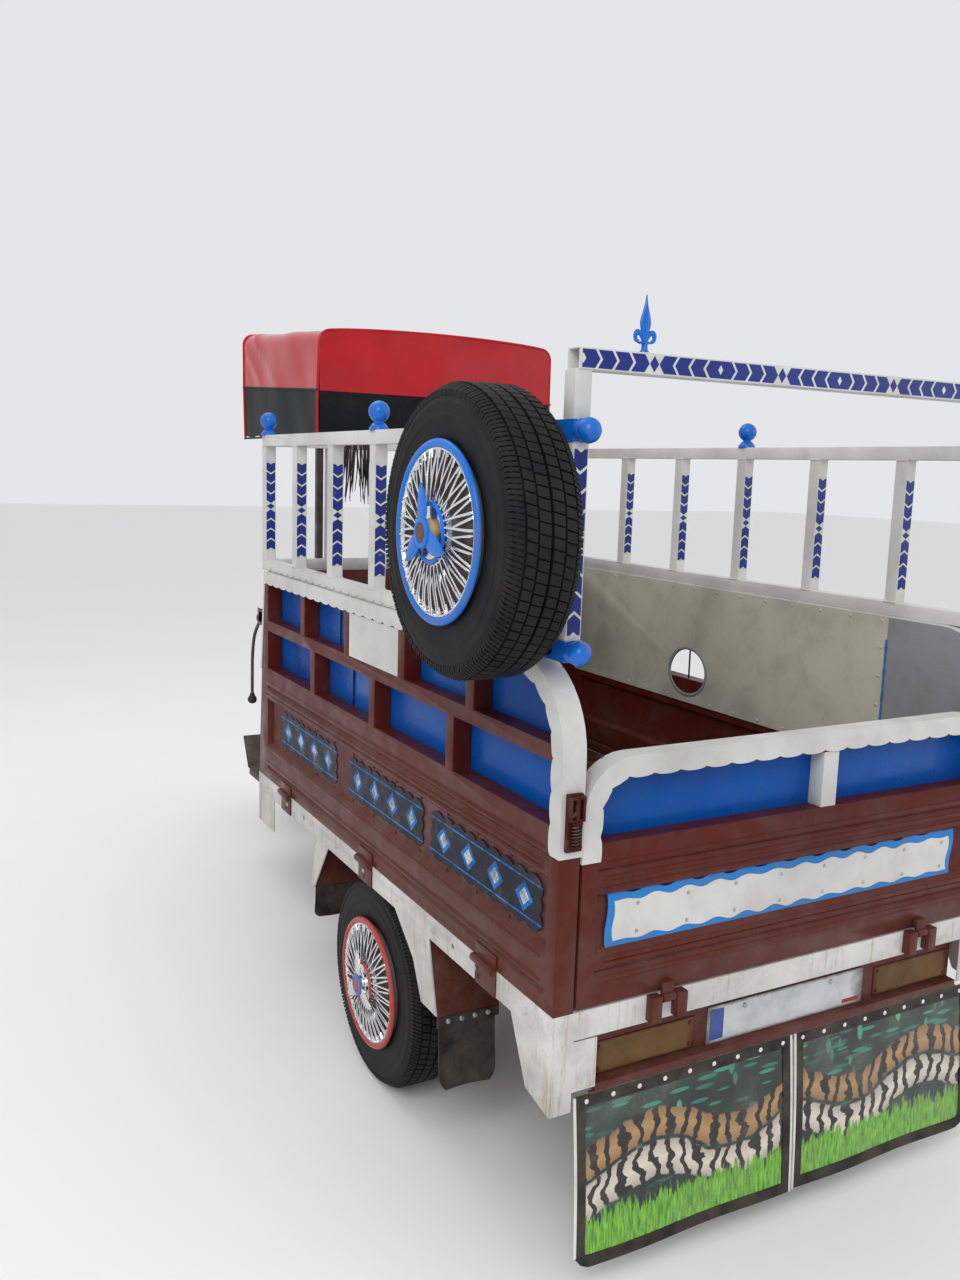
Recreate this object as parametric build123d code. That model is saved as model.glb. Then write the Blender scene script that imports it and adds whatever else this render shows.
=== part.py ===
from build123d import *
import math
import os

# Cargo motor tricycle: a high-sided steel load bed with railings, a rear arch and a spare wheel on its
# left side, a driver's seat under a canopy, a raked fork and one front wheel. Millimetres. X runs
# forward from the tailgate's outer face, Y to the left from the centre plane and Z up from the ground.
# The last function moves the whole machine so that its footprint is centred on the origin.

# Load bed and its gates
BED_LENGTH = 1913
BED_WIDTH = 1300
GATE_THICKNESS = 48
GATE_BOTTOM = 616
GATE_TOP = 1314
GATE_FRONT_LEAN = 60
GATE_CORNER_RADIUS = 180
GATE_TUBE = 38
GATE_MID_RAIL = 34
LOW_WINDOW_BOTTOM = 380
LOW_WINDOW_HEIGHT = 126
LOW_WINDOWS = 4
HIGH_WINDOWS = 5
TRIM_THICKNESS = 3
TRIM_DEPTH = 35
TRIM_LOW_END = 322
SHEET = 3

# Pressed ribs of the gates: height above the gate's bottom, and depth
CREASES = (40, 315)
CREASE_DEPTH = 7
CREASE_HALF_WIDTH = 7
BAND_BOTTOM = 115
BAND_TOP = 277
BAND_DEPTH = 16
BAND_SLOPE = 12

# Corner lever
LEVER_BLOCK = 60
LEVER_DROP = 124
LEVER_RADIUS = 7

# Round hole through the right gate's blue sheet and lining
HOLE_X = 1165
HOLE_HEIGHT = 394
HOLE_WIDTH = 186
HOLE_TALL = 172
LINING_REAR = 350

# Tailgate
TAILGATE_HEIGHT = 504
TAILGATE_THICKNESS = 40
TAILGATE_GAP = 6
TAILGATE_CORNER_RADIUS = 110
TAILGATE_WINDOW_BOTTOM = 337
TAILGATE_WINDOW_TOP = 462
STANCHION_WIDTH = 44
STANCHION_OFFSET = -50
TAILGATE_RECESS = (103, 233)
TAILGATE_CREASES = (68, 278)
HINGE_RADIUS = 9
HINGE_PIN_RADIUS = 5
HINGE_LEAF = 4
HINGE_LENGTH = 90
TAILGATE_HINGE_Y = (378, -378)
LATCH_HEIGHT = 400

# Bed frame
RAIL_HEIGHT = 59
RAIL_WALL = 4
RAIL_FLANGE = 49
CROSS_WIDTH = 46
TIE_HOLE_RADIUS = 7

# Railings, arch and finials
POST = 36
FIRST_POST_X = 50
POSTS = 7
RAILING_HEIGHT = 446
FRONT_POSTS = 4
FRONT_POST_PITCH = 267
ARCH_TOP = 1894
ARCH_TUBE = 40
ARCH_WALL = 3
BALL_RADIUS = 29
CAP_LENGTH = 66
CAP_WALL = 3
BALL_STAND = 20
SPEAR_HEIGHT = 107
SPEAR_RADIUS = 27
SPEAR_DEPTH = 14

# Wheels
TYRE_RADIUS = 282.5
TYRE_WIDTH = 150
FRONT_TYRE_WIDTH = 124
SPARE_TYRE_WIDTH = 155
RIM_RADIUS = 152
RIM_WALL = 5
RIM_WIDTH = 112
HUBCAP_SEAT = 79
HUBCAP_RADIUS = 176
DISC_FACE = 22
HUBCAP_EDGE = 10
HUBCAP_TOP = 118
SPINNER_RADIUS = 30
SPOKES = 16
SHOULDER = 12
WHEELBASE = 2253
AXLE_CLEARANCE = 0.1
HUB_RADIUS = 34
HUB_INNER = 112
DRUM_RADIUS = 96
AXLE_STUB = 17
FRONT_AXLE_RADIUS = 10
FRONT_DRUM_RADIUS = 58
FRONT_HUB_HALF = 62
AXLE_TUBE = 30
DIFF_RADIUS = 112
NOSE_REACH = 157

# Spare wheel on the left railing
SPARE_STAND = 102
SPARE_X = 187
SPARE_Z = 1549

# Springs and chassis
CHASSIS_Y = 330
CHASSIS_WIDTH = 50
CHASSIS_DEPTH = 80
SPRING_HALF = 400
SPRING_EYE_DROP = 62
LEAF_WIDTH = 49.2
HANGER = 6
SPRING_EYE = 20
LEAF_THICKNESS = 10
LEAVES = 3

# Front frame
CRADLE_Y = 150
CRADLE_Z = 340
CRADLE_RADIUS = 19
BACKBONE_RADIUS = 25
ENGINE_WIDTH = 240
ENGINE_HEIGHT = 330
CAN_RADIUS = 46
FOOTBOARD_Z = 400
BEARER_RADIUS = 16
FOOTBOARD_INNER = 195
FOOTBOARD_OUTER = 452
FOOTBOARD_TOE = 120

# Driver's place
SEAT_WIDTH = 560
SEAT_BASE_HEIGHT = 175
SEAT_CUSHION = 85
SEAT_BACK_HEIGHT = 330
SEAT_BACK_THICKNESS = 60
TANK_WIDTH = 260
TANK_HEIGHT = 175

# Canopy
CANOPY_HALF_WIDTH = 450
CANOPY_BOTTOM = 1768
CANOPY_REAR_TOP = 2130
CANOPY_FRONT_TOP = 2190
CANOPY_WALL = 5
CANOPY_SHOULDER = 85
CANOPY_CROWN = 28
CANOPY_FRONT_VALANCE = 190
CANOPY_TUBE = 11
BOW_GAP = 12

# Steering
RAKE = 27
FORK_OFFSET = 45
FORK_Y = 105
STANCHION_RADIUS = 20
SLIDER_RADIUS = 26
SLIDER_TOP = 330
HEAD_TUBE_BOTTOM = 604
HEAD_TUBE_TOP = 776
HEAD_TUBE_RADIUS = 31
HEAD_BORE = 24.3
STEM_RADIUS = 24
YOKE_THICKNESS = 22
YOKE_GAP = 6
FENDER_RADIUS = 306
FENDER_WALL = 4
FENDER_HALF_WIDTH = 72
LAMP_RADIUS = 88
LAMP_LENGTH = 120
LAMP_FORWARD = 165
LAMP_UP = 690
BAR_RADIUS = 11
GRIP_RADIUS = 16
GRIP_LENGTH = 115

# Light board, plates and flaps below the bed
MUDGUARD_WIDTH = 170
BOARD_X = 26
BOARD_BOTTOM = 432
NUMBER_PLATE_Z = (462, 548)
PLATE_BOLT_PITCH = 115
PLATE_BOLT_RADIUS = 3.5
FLAP_TOP = 430
FLAP_BOTTOM = 62
FLAP_GAP = 10
FLAP_THICKNESS = 5
FLAP_FLARE = 5.5

# Worked out from the sizes above
HALF = BED_WIDTH / 2
LAST_POST_X = BED_LENGTH - 18
SIDE_HINGE_X = (268, 946, BED_LENGTH - 300)
TIE_HOLE_X = (430, BED_LENGTH - 463)
SPEAR_Y = HALF - 175
SPARE_Y = HALF + SPARE_STAND
BOARD_HALF_WIDTH = HALF - 110
FLAP_WIDTH = HALF - 65
INNER = HALF - GATE_THICKNESS
WINDOW_SILL = GATE_BOTTOM + LOW_WINDOW_BOTTOM
HIGH_SILL = WINDOW_SILL + LOW_WINDOW_HEIGHT + GATE_MID_RAIL
HIGH_HEAD = GATE_TOP - GATE_TUBE
RAIL_BOTTOM = GATE_BOTTOM - RAIL_HEIGHT
CHASSIS_TOP = RAIL_BOTTOM
CHASSIS_BOTTOM = CHASSIS_TOP - CHASSIS_DEPTH
HEADBOARD_X = BED_LENGTH - GATE_THICKNESS
TAILGATE_BOTTOM = GATE_BOTTOM + TAILGATE_GAP
TAILGATE_HALF = INNER - TAILGATE_GAP
RAILING_BASE = GATE_TOP + TRIM_THICKNESS
RAILING_TOP = RAILING_BASE + RAILING_HEIGHT
RAILING_Y = INNER + POST / 2
POST_PITCH = (LAST_POST_X - FIRST_POST_X) / (POSTS - 1)
REAR_AXLE_X = BED_LENGTH / 2 - 40
REAR_TRACK = BED_WIDTH - 160
FRONT_AXLE_X = REAR_AXLE_X + WHEELBASE
REAR_WHEEL_Y = REAR_TRACK / 2
FRONT_ROOM = FRONT_AXLE_X - BED_LENGTH
CHASSIS_FRONT = BED_LENGTH + round(0.332 * FRONT_ROOM)
CRADLE_REAR_X = CHASSIS_FRONT + 15
CRADLE_FRONT_X = BED_LENGTH + round(0.5866 * FRONT_ROOM)
ENGINE_LENGTH = CRADLE_FRONT_X - CRADLE_REAR_X - 40
CAN_REAR = BED_LENGTH - 393
CAN_FRONT = BED_LENGTH + 77
FOOTBOARD_REAR = BED_LENGTH + 157
FOOTBOARD_FRONT = CRADLE_FRONT_X + 70
CANOPY_REAR = BED_LENGTH - 33
CANOPY_FRONT = CRADLE_FRONT_X + 100
CANOPY_FRONT_POST_X = CANOPY_FRONT - 300
CANOPY_FRONT_BOW_X = CANOPY_FRONT - 60
ARCH_REAR = REAR_AXLE_X - 411.5
ARCH_FRONT = REAR_AXLE_X + 439.5
CROSS_X = (60, 330, REAR_AXLE_X - 276.5, REAR_AXLE_X + 276.5, BED_LENGTH - 383, BED_LENGTH - 63)
CHASSIS_CROSS_X = (
    100,
    REAR_AXLE_X - 356.5,
    REAR_AXLE_X + 353.5,
    BED_LENGTH - 13,
    CHASSIS_FRONT - 130,
    CHASSIS_FRONT - 20,
)
SEAT_REAR = BED_LENGTH + SEAT_BACK_THICKNESS + 10
SEAT_LENGTH = CHASSIS_FRONT - SEAT_REAR - 47
TANK_LENGTH = round(0.2507 * FRONT_ROOM)
SEAT_BASE_TOP = CHASSIS_TOP + SEAT_BASE_HEIGHT
SOFT_GAP = 0.4
TAILGATE_PIVOT_X = -(HINGE_RADIUS + 4)
TAILGATE_PIVOT_Z = GATE_BOTTOM - TAILGATE_GAP
CANOPY_POST_Y = CANOPY_HALF_WIDTH - CANOPY_WALL - CANOPY_TUBE - SOFT_GAP
rake = math.radians(RAKE)
STEER_X = FRONT_AXLE_X - FORK_OFFSET * math.cos(rake)
STEER_Z = TYRE_RADIUS - FORK_OFFSET * math.sin(rake)
STEER = Plane(
    origin=(STEER_X, 0, STEER_Z),
    x_dir=(math.cos(rake), 0, math.sin(rake)),
    z_dir=(-math.sin(rake), 0, math.cos(rake)),
)


def steer_point(forward, left, up):
    """A point given along the raked steering axis, from the axis's foot beside the front axle."""
    return STEER.from_local_coords(Vector(forward, left, up))


def block(x, y, z):
    """A box from its low and high edge along X, Y and Z."""
    spans = (x, y, z)
    centre = [(low + high) / 2 for low, high in spans]
    size = [abs(high - low) for low, high in spans]
    return Pos(*centre) * Box(*size)


def side_plane(y):
    """A sketch plane seen from the left: sketch X is forward, sketch Y is up, extrusions run inboard."""
    return Plane(origin=(0, y, 0), x_dir=(1, 0, 0), z_dir=(0, -1, 0))


def end_plane(x):
    """A sketch plane across the machine: sketch X is left, sketch Y is up, extrusions run forward."""
    return Plane(origin=(x, 0, 0), x_dir=(0, 1, 0), z_dir=(1, 0, 0))


def plate(plane, points, thickness):
    """A flat plate from the corners of its outline on a plane."""
    return extrude(plane * make_face(Polyline(*points, close=True)), thickness)


def rod(start, end, radius):
    """A round bar between two points."""
    run = Vector(*end) - Vector(*start)
    seat = Plane(origin=start, z_dir=run)
    return seat * Cylinder(radius, run.length, align=(Align.CENTER, Align.CENTER, Align.MIN))


def mitred_rod(points, radius):
    """A round tube along straight runs that meet at mitres."""
    path = Polyline(*points)
    section = Plane(origin=path @ 0, z_dir=path % 0) * Circle(radius)
    return sweep(section, path=path, transition=Transition.RIGHT)


def square_tube(start, end, width):
    """A square bar between two points."""
    run = Vector(*end) - Vector(*start)
    side = Vector(1, 0, 0) if abs(run.X) < abs(run.Y) + abs(run.Z) else Vector(0, 1, 0)
    seat = Plane(origin=start, x_dir=side, z_dir=run)
    return seat * Box(width, width, run.length, align=(Align.CENTER, Align.CENTER, Align.MIN))


def ball(radius):
    """A knob as a cube bevelled along every edge to near a ball."""
    return chamfer(Box(2 * radius, 2 * radius, 2 * radius).edges(), radius * (2 - math.sqrt(2)))


def mirrored(shape):
    """The same shape on the other side of the centre plane."""
    return mirror(shape, about=Plane.XZ)


def fused(shapes):
    """One shape from several that meet."""
    shapes = list(shapes)
    whole = shapes[0]
    for shape in shapes[1:]:
        whole = whole + shape
    return whole


def placed(shape, x, y, z):
    """A wheel piece, made about the Y axis, set with its centre at a point."""
    return Pos(x, y, z) * shape


def turned(outline):
    """A ring or disc about the Y axis, from an outline of (distance along Y, radius) points."""
    face = make_face(Polyline(*[(radius, along) for along, radius in outline], close=True))
    return revolve(face, Axis.Y)


def side_gate_outline(inset=0):
    """A side gate's outline with its rounded upper rear corner, drawn in by an inset."""
    rise = GATE_TOP - GATE_BOTTOM
    lean = GATE_FRONT_LEAN * (rise - inset) / rise
    radius = GATE_CORNER_RADIUS - inset
    rear = inset
    top = GATE_TOP - inset
    bottom = GATE_BOTTOM + inset
    middle = radius * (1 - math.sqrt(0.5))
    edge = Polyline(
        (rear, top - radius),
        (rear, bottom),
        (BED_LENGTH - inset, bottom),
        (BED_LENGTH - lean - inset, top),
        (rear + radius, top),
    )
    corner = ThreePointArc((rear + radius, top), (rear + middle, top - middle), (rear, top - radius))
    return make_face(edge.edges() + corner.edges())


def tailgate_outline(inset=0):
    """The tailgate's outline with two rounded upper corners, drawn in by an inset."""
    half = TAILGATE_HALF - inset
    top = TAILGATE_BOTTOM + TAILGATE_HEIGHT - inset
    bottom = TAILGATE_BOTTOM + inset
    radius = TAILGATE_CORNER_RADIUS - inset
    body = Pos(0, (top + bottom) / 2) * Rectangle(2 * half, top - bottom)
    upper = body.vertices().group_by(Axis.Y)[-1]
    return fillet(upper, radius)


def ribs(heights, band, base, depth):
    """The pressed creases and the sunk band as (depth inward, height) outlines to be cut away."""
    outlines = []
    for height in heights:
        z = base + height
        outlines.append(((0, z - CREASE_HALF_WIDTH), (depth, z), (0, z + CREASE_HALF_WIDTH)))
    low = base + band[0]
    high = base + band[1]
    sunk = BAND_DEPTH
    outlines.append(((0, low), (sunk, low + BAND_SLOPE), (sunk, high - BAND_SLOPE), (0, high)))
    return outlines


def window_columns(count, rear, front):
    """The (rear, front) edges of evenly spaced windows between tubes."""
    pitch = (front - rear + GATE_TUBE) / count
    return [(rear + i * pitch, rear + (i + 1) * pitch - GATE_TUBE) for i in range(count)]


def side_gate():
    """The left gate: pressed lower panel with creases and a sunk band, and a grid of tubes above."""
    panel = extrude(side_plane(HALF) * side_gate_outline(), GATE_THICKNESS)
    pressings = []
    for outline in ribs(CREASES, (BAND_BOTTOM, BAND_TOP), GATE_BOTTOM, CREASE_DEPTH):
        for face, inward in ((HALF, -1), (INNER, 1)):
            points = [(face + inward * depth, z) for depth, z in outline]
            pressings.append(plate(end_plane(GATE_TUBE), points, BED_LENGTH - GATE_FRONT_LEAN - 2 * GATE_TUBE))
    bays = []
    rows = ((LOW_WINDOWS, WINDOW_SILL, LOW_WINDOW_HEIGHT), (HIGH_WINDOWS, HIGH_SILL, HIGH_HEAD - HIGH_SILL))
    for count, sill, height in rows:
        for rear, front in window_columns(count, GATE_TUBE, BED_LENGTH - GATE_FRONT_LEAN - GATE_TUBE):
            bays.append(Pos((rear + front) / 2, sill + height / 2) * Rectangle(front - rear, height))
    opening = fused(bays) & side_gate_outline(GATE_TUBE)
    windows = extrude(side_plane(HALF) * opening, GATE_THICKNESS)
    for tool in pressings + [windows]:
        panel = panel - tool
    return panel


def gate_trim():
    """The white channel over the side gate's top edge, round corner and upper rear end."""
    cut = side_gate_outline()
    outer = side_gate_outline(-TRIM_THICKNESS)
    low = GATE_BOTTOM + TRIM_LOW_END
    keep = Pos(BED_LENGTH / 2 - GATE_FRONT_LEAN, (low + GATE_TOP) / 2 + TRIM_THICKNESS)
    region = keep * Rectangle(BED_LENGTH + 2 * GATE_TUBE, GATE_TOP - low + TRIM_THICKNESS)
    front = BED_LENGTH - GATE_FRONT_LEAN - TRIM_THICKNESS
    region = region - Pos(front + BED_LENGTH / 2, GATE_TOP) * Rectangle(BED_LENGTH, 2 * GATE_TOP)
    edge = (outer - cut) & region
    face = (outer - side_gate_outline(TRIM_DEPTH)) & region
    wrap = extrude(side_plane(HALF) * edge, GATE_THICKNESS)
    front_strip = extrude(side_plane(HALF + TRIM_THICKNESS) * face, TRIM_THICKNESS)
    return wrap + front_strip


def flush_panel():
    """The plate that fills the middle upper window of the left gate, flush with its outer face."""
    rear, front = window_columns(HIGH_WINDOWS, GATE_TUBE, BED_LENGTH - GATE_FRONT_LEAN - GATE_TUBE)[HIGH_WINDOWS // 2]
    return block((rear, front), (HALF - RAIL_WALL, HALF), (HIGH_SILL, HIGH_HEAD))


def gate_sheet(hole=False):
    """The flat sheet behind the gate's windows, on the gate's inner face."""
    sheet = block(
        (GATE_CORNER_RADIUS / 2, BED_LENGTH - GATE_FRONT_LEAN),
        (INNER - SHEET, INNER),
        (WINDOW_SILL - GATE_TUBE / 2, HIGH_HEAD + GATE_TUBE / 2),
    )
    if hole:
        sheet = sheet - sheet_hole()
    return sheet


def gate_lining(hole=False):
    """The riveted sheet that lines the gate inside the bed, over the window sheet."""
    bottom = WINDOW_SILL - GATE_TUBE / 2 - 60
    front = BED_LENGTH - GATE_THICKNESS - 20
    lining = block((LINING_REAR, front), (INNER - 2 * SHEET, INNER - SHEET), (bottom, GATE_TOP))
    if hole:
        lining = lining - sheet_hole()
    return lining


def sheet_hole():
    """The oval hole's tool through the sheets inside a gate."""
    oval = Pos(HOLE_X, GATE_BOTTOM + HOLE_HEIGHT) * Ellipse(HOLE_WIDTH / 2, HOLE_TALL / 2)
    return extrude(side_plane(INNER) * oval, 4 * SHEET)


def headboard():
    """The bed's front wall with the same pressings as the gates."""
    wall = block((HEADBOARD_X, BED_LENGTH), (-INNER, INNER), (GATE_BOTTOM, GATE_TOP))
    for outline in ribs(CREASES, (BAND_BOTTOM, BAND_TOP), GATE_BOTTOM, CREASE_DEPTH):
        points = [(BED_LENGTH - depth, z) for depth, z in outline]
        plane = Plane(origin=(0, INNER - GATE_TUBE, 0), x_dir=(1, 0, 0), z_dir=(0, -1, 0))
        wall = wall - plate(plane, points, 2 * (INNER - GATE_TUBE))
    high = GATE_TOP - GATE_TUBE
    for low_y, high_y in window_columns(3, -INNER + GATE_TUBE, INNER - GATE_TUBE):
        wall = wall - block((HEADBOARD_X + SHEET, BED_LENGTH), (low_y, high_y), (WINDOW_SILL, high))
    return wall


def bed_frame():
    """The perimeter rail with its top flange, the cross channels and the rear corner brackets."""
    outer = Pos(BED_LENGTH / 2, 0) * Rectangle(BED_LENGTH, BED_WIDTH)
    skin = outer - Pos(BED_LENGTH / 2, 0) * Rectangle(BED_LENGTH - 2 * RAIL_WALL, BED_WIDTH - 2 * RAIL_WALL)
    inside = Rectangle(BED_LENGTH - 2 * RAIL_FLANGE, BED_WIDTH - 2 * RAIL_FLANGE)
    flange = outer - Pos(BED_LENGTH / 2, 0) * inside
    parts = [extrude(Plane.XY.offset(RAIL_BOTTOM) * skin, RAIL_HEIGHT)]
    parts.append(extrude(Plane.XY.offset(GATE_BOTTOM - RAIL_WALL) * flange, RAIL_WALL))
    for x in CROSS_X:
        parts.append(cross_channel(x, HALF - RAIL_WALL))
    parts.append(cross_channel(REAR_AXLE_X, REAR_WHEEL_Y - TYRE_WIDTH / 2 - 25))
    for y in (-CHASSIS_Y, CHASSIS_Y):
        parts.append(block((CROSS_X[0], CROSS_X[-1]), (y - 20, y + 20), (RAIL_BOTTOM, RAIL_BOTTOM + RAIL_WALL)))
    frame = fused(parts)
    for x in TIE_HOLE_X:
        z = RAIL_BOTTOM + RAIL_HEIGHT / 2
        frame = frame - rod((x, -HALF - 1, z), (x, -HALF + RAIL_WALL + 1, z), TIE_HOLE_RADIUS)
        frame = frame - rod((x, HALF - RAIL_WALL - 1, z), (x, HALF + 1, z), TIE_HOLE_RADIUS)
    return frame


def cross_channel(x, half_length):
    """One cross member: a channel open downward, from side to side."""
    half = CROSS_WIDTH / 2
    top = GATE_BOTTOM - RAIL_WALL
    outer = block((x - half, x + half), (-half_length, half_length), (RAIL_BOTTOM, top))
    hollow = block(
        (x - half + RAIL_WALL, x + half - RAIL_WALL),
        (-half_length, half_length),
        (RAIL_BOTTOM, top - RAIL_WALL),
    )
    return outer - hollow


def bed_floor():
    """The floor sheet inside the perimeter flange, with shallow pressed flutes."""
    edge = RAIL_FLANGE
    inner = HALF - edge
    floor = block((edge, BED_LENGTH - edge), (-inner, inner), (GATE_BOTTOM - RAIL_WALL, GATE_BOTTOM))
    for y in range(-480, 481, 120):
        floor = floor - block((edge + 60, BED_LENGTH - edge - 60), (y - 15, y + 15), (GATE_BOTTOM - 1.5, GATE_BOTTOM))
    return floor


def skirt_plates():
    """The white plates below the side rail: rear corner, behind and ahead of the wheel, and front."""
    low = RAIL_BOTTOM
    rear = ARCH_REAR
    front = ARCH_FRONT
    end = BED_LENGTH
    outlines = (
        ((0, low), (160, low), (92, 422), (0, 404)),
        ((rear + 50, low), (rear + 249, low), (rear + 135, 470), (rear + 83, 378), (rear, 378), (rear + 25, 470)),
        ((front - 118, low), (front - 20, low), (front + 26, 396), (front - 4, 396)),
        ((end - 163, low), (end, low), (end, 446), (end - 163, 446)),
    )
    left = [plate(side_plane(HALF), outline, RAIL_WALL) for outline in outlines]
    left.append(block((0, RAIL_WALL), (HALF - 52, HALF - RAIL_WALL), (404, low)))
    corner = fused([left[0], left[4]])
    solids = [corner, left[1], left[2], left[3]]
    return solids + [mirrored(solid) for solid in solids]


def side_hinges():
    """The strap hinges at the foot of both side gates: a leaf with its rolled edge, as one section."""
    r = HINGE_RADIUS
    y = HALF + r
    z = GATE_BOTTOM
    t = HALF + HINGE_LEAF
    section = (
        (HALF, RAIL_BOTTOM),
        (t, RAIL_BOTTOM),
        (t, z - r),
        (y + r / 2, z - r),
        (y + r, z - r / 2),
        (y + r, z + r / 2),
        (y + r / 2, z + r),
        (t, z + r),
        (t, z + 34),
        (HALF, z + 34),
    )
    solids = [plate(end_plane(x - HINGE_LENGTH / 2), section, HINGE_LENGTH) for x in SIDE_HINGE_X]
    return solids + [mirrored(solid) for solid in solids]


def tailgate_hinges():
    """The fixed halves of the tailgate hinges on the rear rail: two outer lugs joined by a round pin."""
    solids = []
    x = (TAILGATE_PIVOT_X - HINGE_RADIUS, 0)
    z = (RAIL_BOTTOM + 6, TAILGATE_PIVOT_Z + HINGE_RADIUS - 1)
    third = HINGE_LENGTH / 3
    for y in TAILGATE_HINGE_Y:
        pieces = [rod_y(y - third / 2 - 5, y + third / 2 + 5, HINGE_PIN_RADIUS)]
        for low in (y - HINGE_LENGTH / 2, y + third / 2 + 5):
            pieces.append(block(x, (low, low + third - 5), z))
        solids.append(fused(pieces))
    return solids


def rod_y(low, high, radius):
    """A bar on the tailgate's hinge line."""
    return rod((TAILGATE_PIVOT_X, low, TAILGATE_PIVOT_Z), (TAILGATE_PIVOT_X, high, TAILGATE_PIVOT_Z), radius)


def tailgate_hinge_leaves():
    """The moving halves: an eight-sided knuckle on the pin and a strap up the tailgate's outer face."""
    solids = []
    for y in TAILGATE_HINGE_Y:
        half = HINGE_LENGTH / 6
        seat = Plane(origin=(TAILGATE_PIVOT_X, y + half, TAILGATE_PIVOT_Z), x_dir=(1, 0, 0), z_dir=(0, -1, 0))
        knuckle = extrude(seat * RegularPolygon(HINGE_RADIUS, 8, major_radius=False, rotation=22.5), 2 * half)
        strap_x = (TAILGATE_PIVOT_X, TAILGATE_PIVOT_X + 6)
        strap = block(strap_x, (y - half, y + half), (TAILGATE_PIVOT_Z, TAILGATE_BOTTOM + 20))
        foot = block((TAILGATE_PIVOT_X, 0), (y - half, y + half), (TAILGATE_BOTTOM + 6, TAILGATE_BOTTOM + 20))
        bore = rod_y(y - half, y + half, HINGE_PIN_RADIUS + AXLE_CLEARANCE)
        solids.append(fused([knuckle, strap, foot]) - bore)
    return solids


def tailgate():
    """The tailgate: pressed lower panel, a framed window above and rounded upper corners."""
    panel = extrude(end_plane(0) * tailgate_outline(), TAILGATE_THICKNESS)
    long_way = 2 * (TAILGATE_HALF - GATE_TUBE)
    for outline in ribs(TAILGATE_CREASES, TAILGATE_RECESS, TAILGATE_BOTTOM, CREASE_DEPTH):
        plane = Plane(origin=(0, long_way / 2, 0), x_dir=(1, 0, 0), z_dir=(0, -1, 0))
        panel = panel - plate(plane, outline, long_way)
    low = TAILGATE_BOTTOM + TAILGATE_WINDOW_BOTTOM
    high = TAILGATE_BOTTOM + TAILGATE_WINDOW_TOP
    bay = Pos(0, (low + high) / 2) * Rectangle(long_way, high - low)
    opening = bay & tailgate_outline(GATE_TUBE)
    return panel - extrude(end_plane(0) * opening, TAILGATE_THICKNESS)


def tailgate_sheet():
    """The flat sheet behind the tailgate's window, on its inner face."""
    low = TAILGATE_BOTTOM + TAILGATE_WINDOW_BOTTOM - GATE_TUBE / 2
    high = TAILGATE_BOTTOM + TAILGATE_HEIGHT - 5
    half = TAILGATE_HALF - 60
    return block((TAILGATE_THICKNESS, TAILGATE_THICKNESS + SHEET), (-half, half), (low, high))


def tailgate_stanchion():
    """The short upright in the tailgate's window."""
    low = TAILGATE_BOTTOM + TAILGATE_WINDOW_BOTTOM
    high = TAILGATE_BOTTOM + TAILGATE_WINDOW_TOP
    half = STANCHION_WIDTH / 2
    return block((0, TAILGATE_THICKNESS), (STANCHION_OFFSET - half, STANCHION_OFFSET + half), (low, high))


def tailgate_trim():
    """The white channel over the tailgate's top edge and upper corners."""
    low = TAILGATE_BOTTOM + 300
    top = TAILGATE_BOTTOM + TAILGATE_HEIGHT
    region = Pos(0, (low + top + TRIM_THICKNESS) / 2) * Rectangle(BED_WIDTH, top - low + TRIM_THICKNESS)
    outline = tailgate_outline()
    outer = tailgate_outline(-TRIM_THICKNESS)
    edge = (outer - outline) & region
    face = (outer - tailgate_outline(TRIM_DEPTH)) & region
    wrap = extrude(end_plane(0) * edge, TAILGATE_THICKNESS)
    strip = extrude(end_plane(-TRIM_THICKNESS) * face, TRIM_THICKNESS)
    return wrap + strip


def latches():
    """The spring latches on the rear ends of the side gates, beside the tailgate's corners."""
    z = GATE_BOTTOM + LATCH_HEIGHT
    y = (HALF + INNER) / 2
    back = TRIM_THICKNESS + SOFT_GAP
    base = block((-back - 5, -back), (y - 18, y + 18), (z - 48, z + 48))
    body = block((-back - 22, -back), (y - 9, y + 9), (z - 40, z + 40))
    bolt = block((-back - 19, -back - 9), (y - 5, y + 5), (z - 62, z + 56))
    latch = fused([base, body, bolt])
    return [latch, mirrored(latch)]


def corner_lever():
    """The bent rod with a ball at the front left corner, on a block at the gate's front edge."""
    slope = GATE_FRONT_LEAN / (GATE_TOP - GATE_BOTTOM)
    top = GATE_TOP - LEVER_DROP
    bottom = top - LEVER_BLOCK
    low = BED_LENGTH - slope * (bottom - GATE_BOTTOM) + SOFT_GAP
    high = BED_LENGTH - slope * (top - GATE_BOTTOM) + SOFT_GAP
    front = BED_LENGTH + 19
    y = (HALF + INNER) / 2 + 8
    bracket = plate(side_plane(y + 12), ((low, bottom), (front, bottom), (front, top), (high, top)), 24)
    knob = (front + 108, y, bottom - 287)
    route = ((front - 6, y, bottom + 20), (front + 82, y, bottom - 52), (front + 110, y, bottom - 170), knob)
    return fused([bracket, mitred_rod(route, LEVER_RADIUS), Pos(*knob) * ball(16)])


def post_positions():
    """X of each side railing post."""
    return [FIRST_POST_X + i * POST_PITCH for i in range(POSTS)]


def side_railing():
    """The left railing: two rails and evenly spaced posts of square tube."""
    y = (RAILING_Y - POST / 2, RAILING_Y + POST / 2)
    rear = FIRST_POST_X - POST / 2
    front = LAST_POST_X + POST / 2
    pieces = [block((rear, front), y, (RAILING_BASE, RAILING_BASE + POST))]
    pieces.append(block((rear, front), y, (RAILING_TOP - POST, RAILING_TOP)))
    for x in post_positions():
        span = (RAILING_BASE + POST, RAILING_TOP - POST)
        pieces.append(block((x - POST / 2, x + POST / 2), y, span))
    return fused(pieces)


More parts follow.
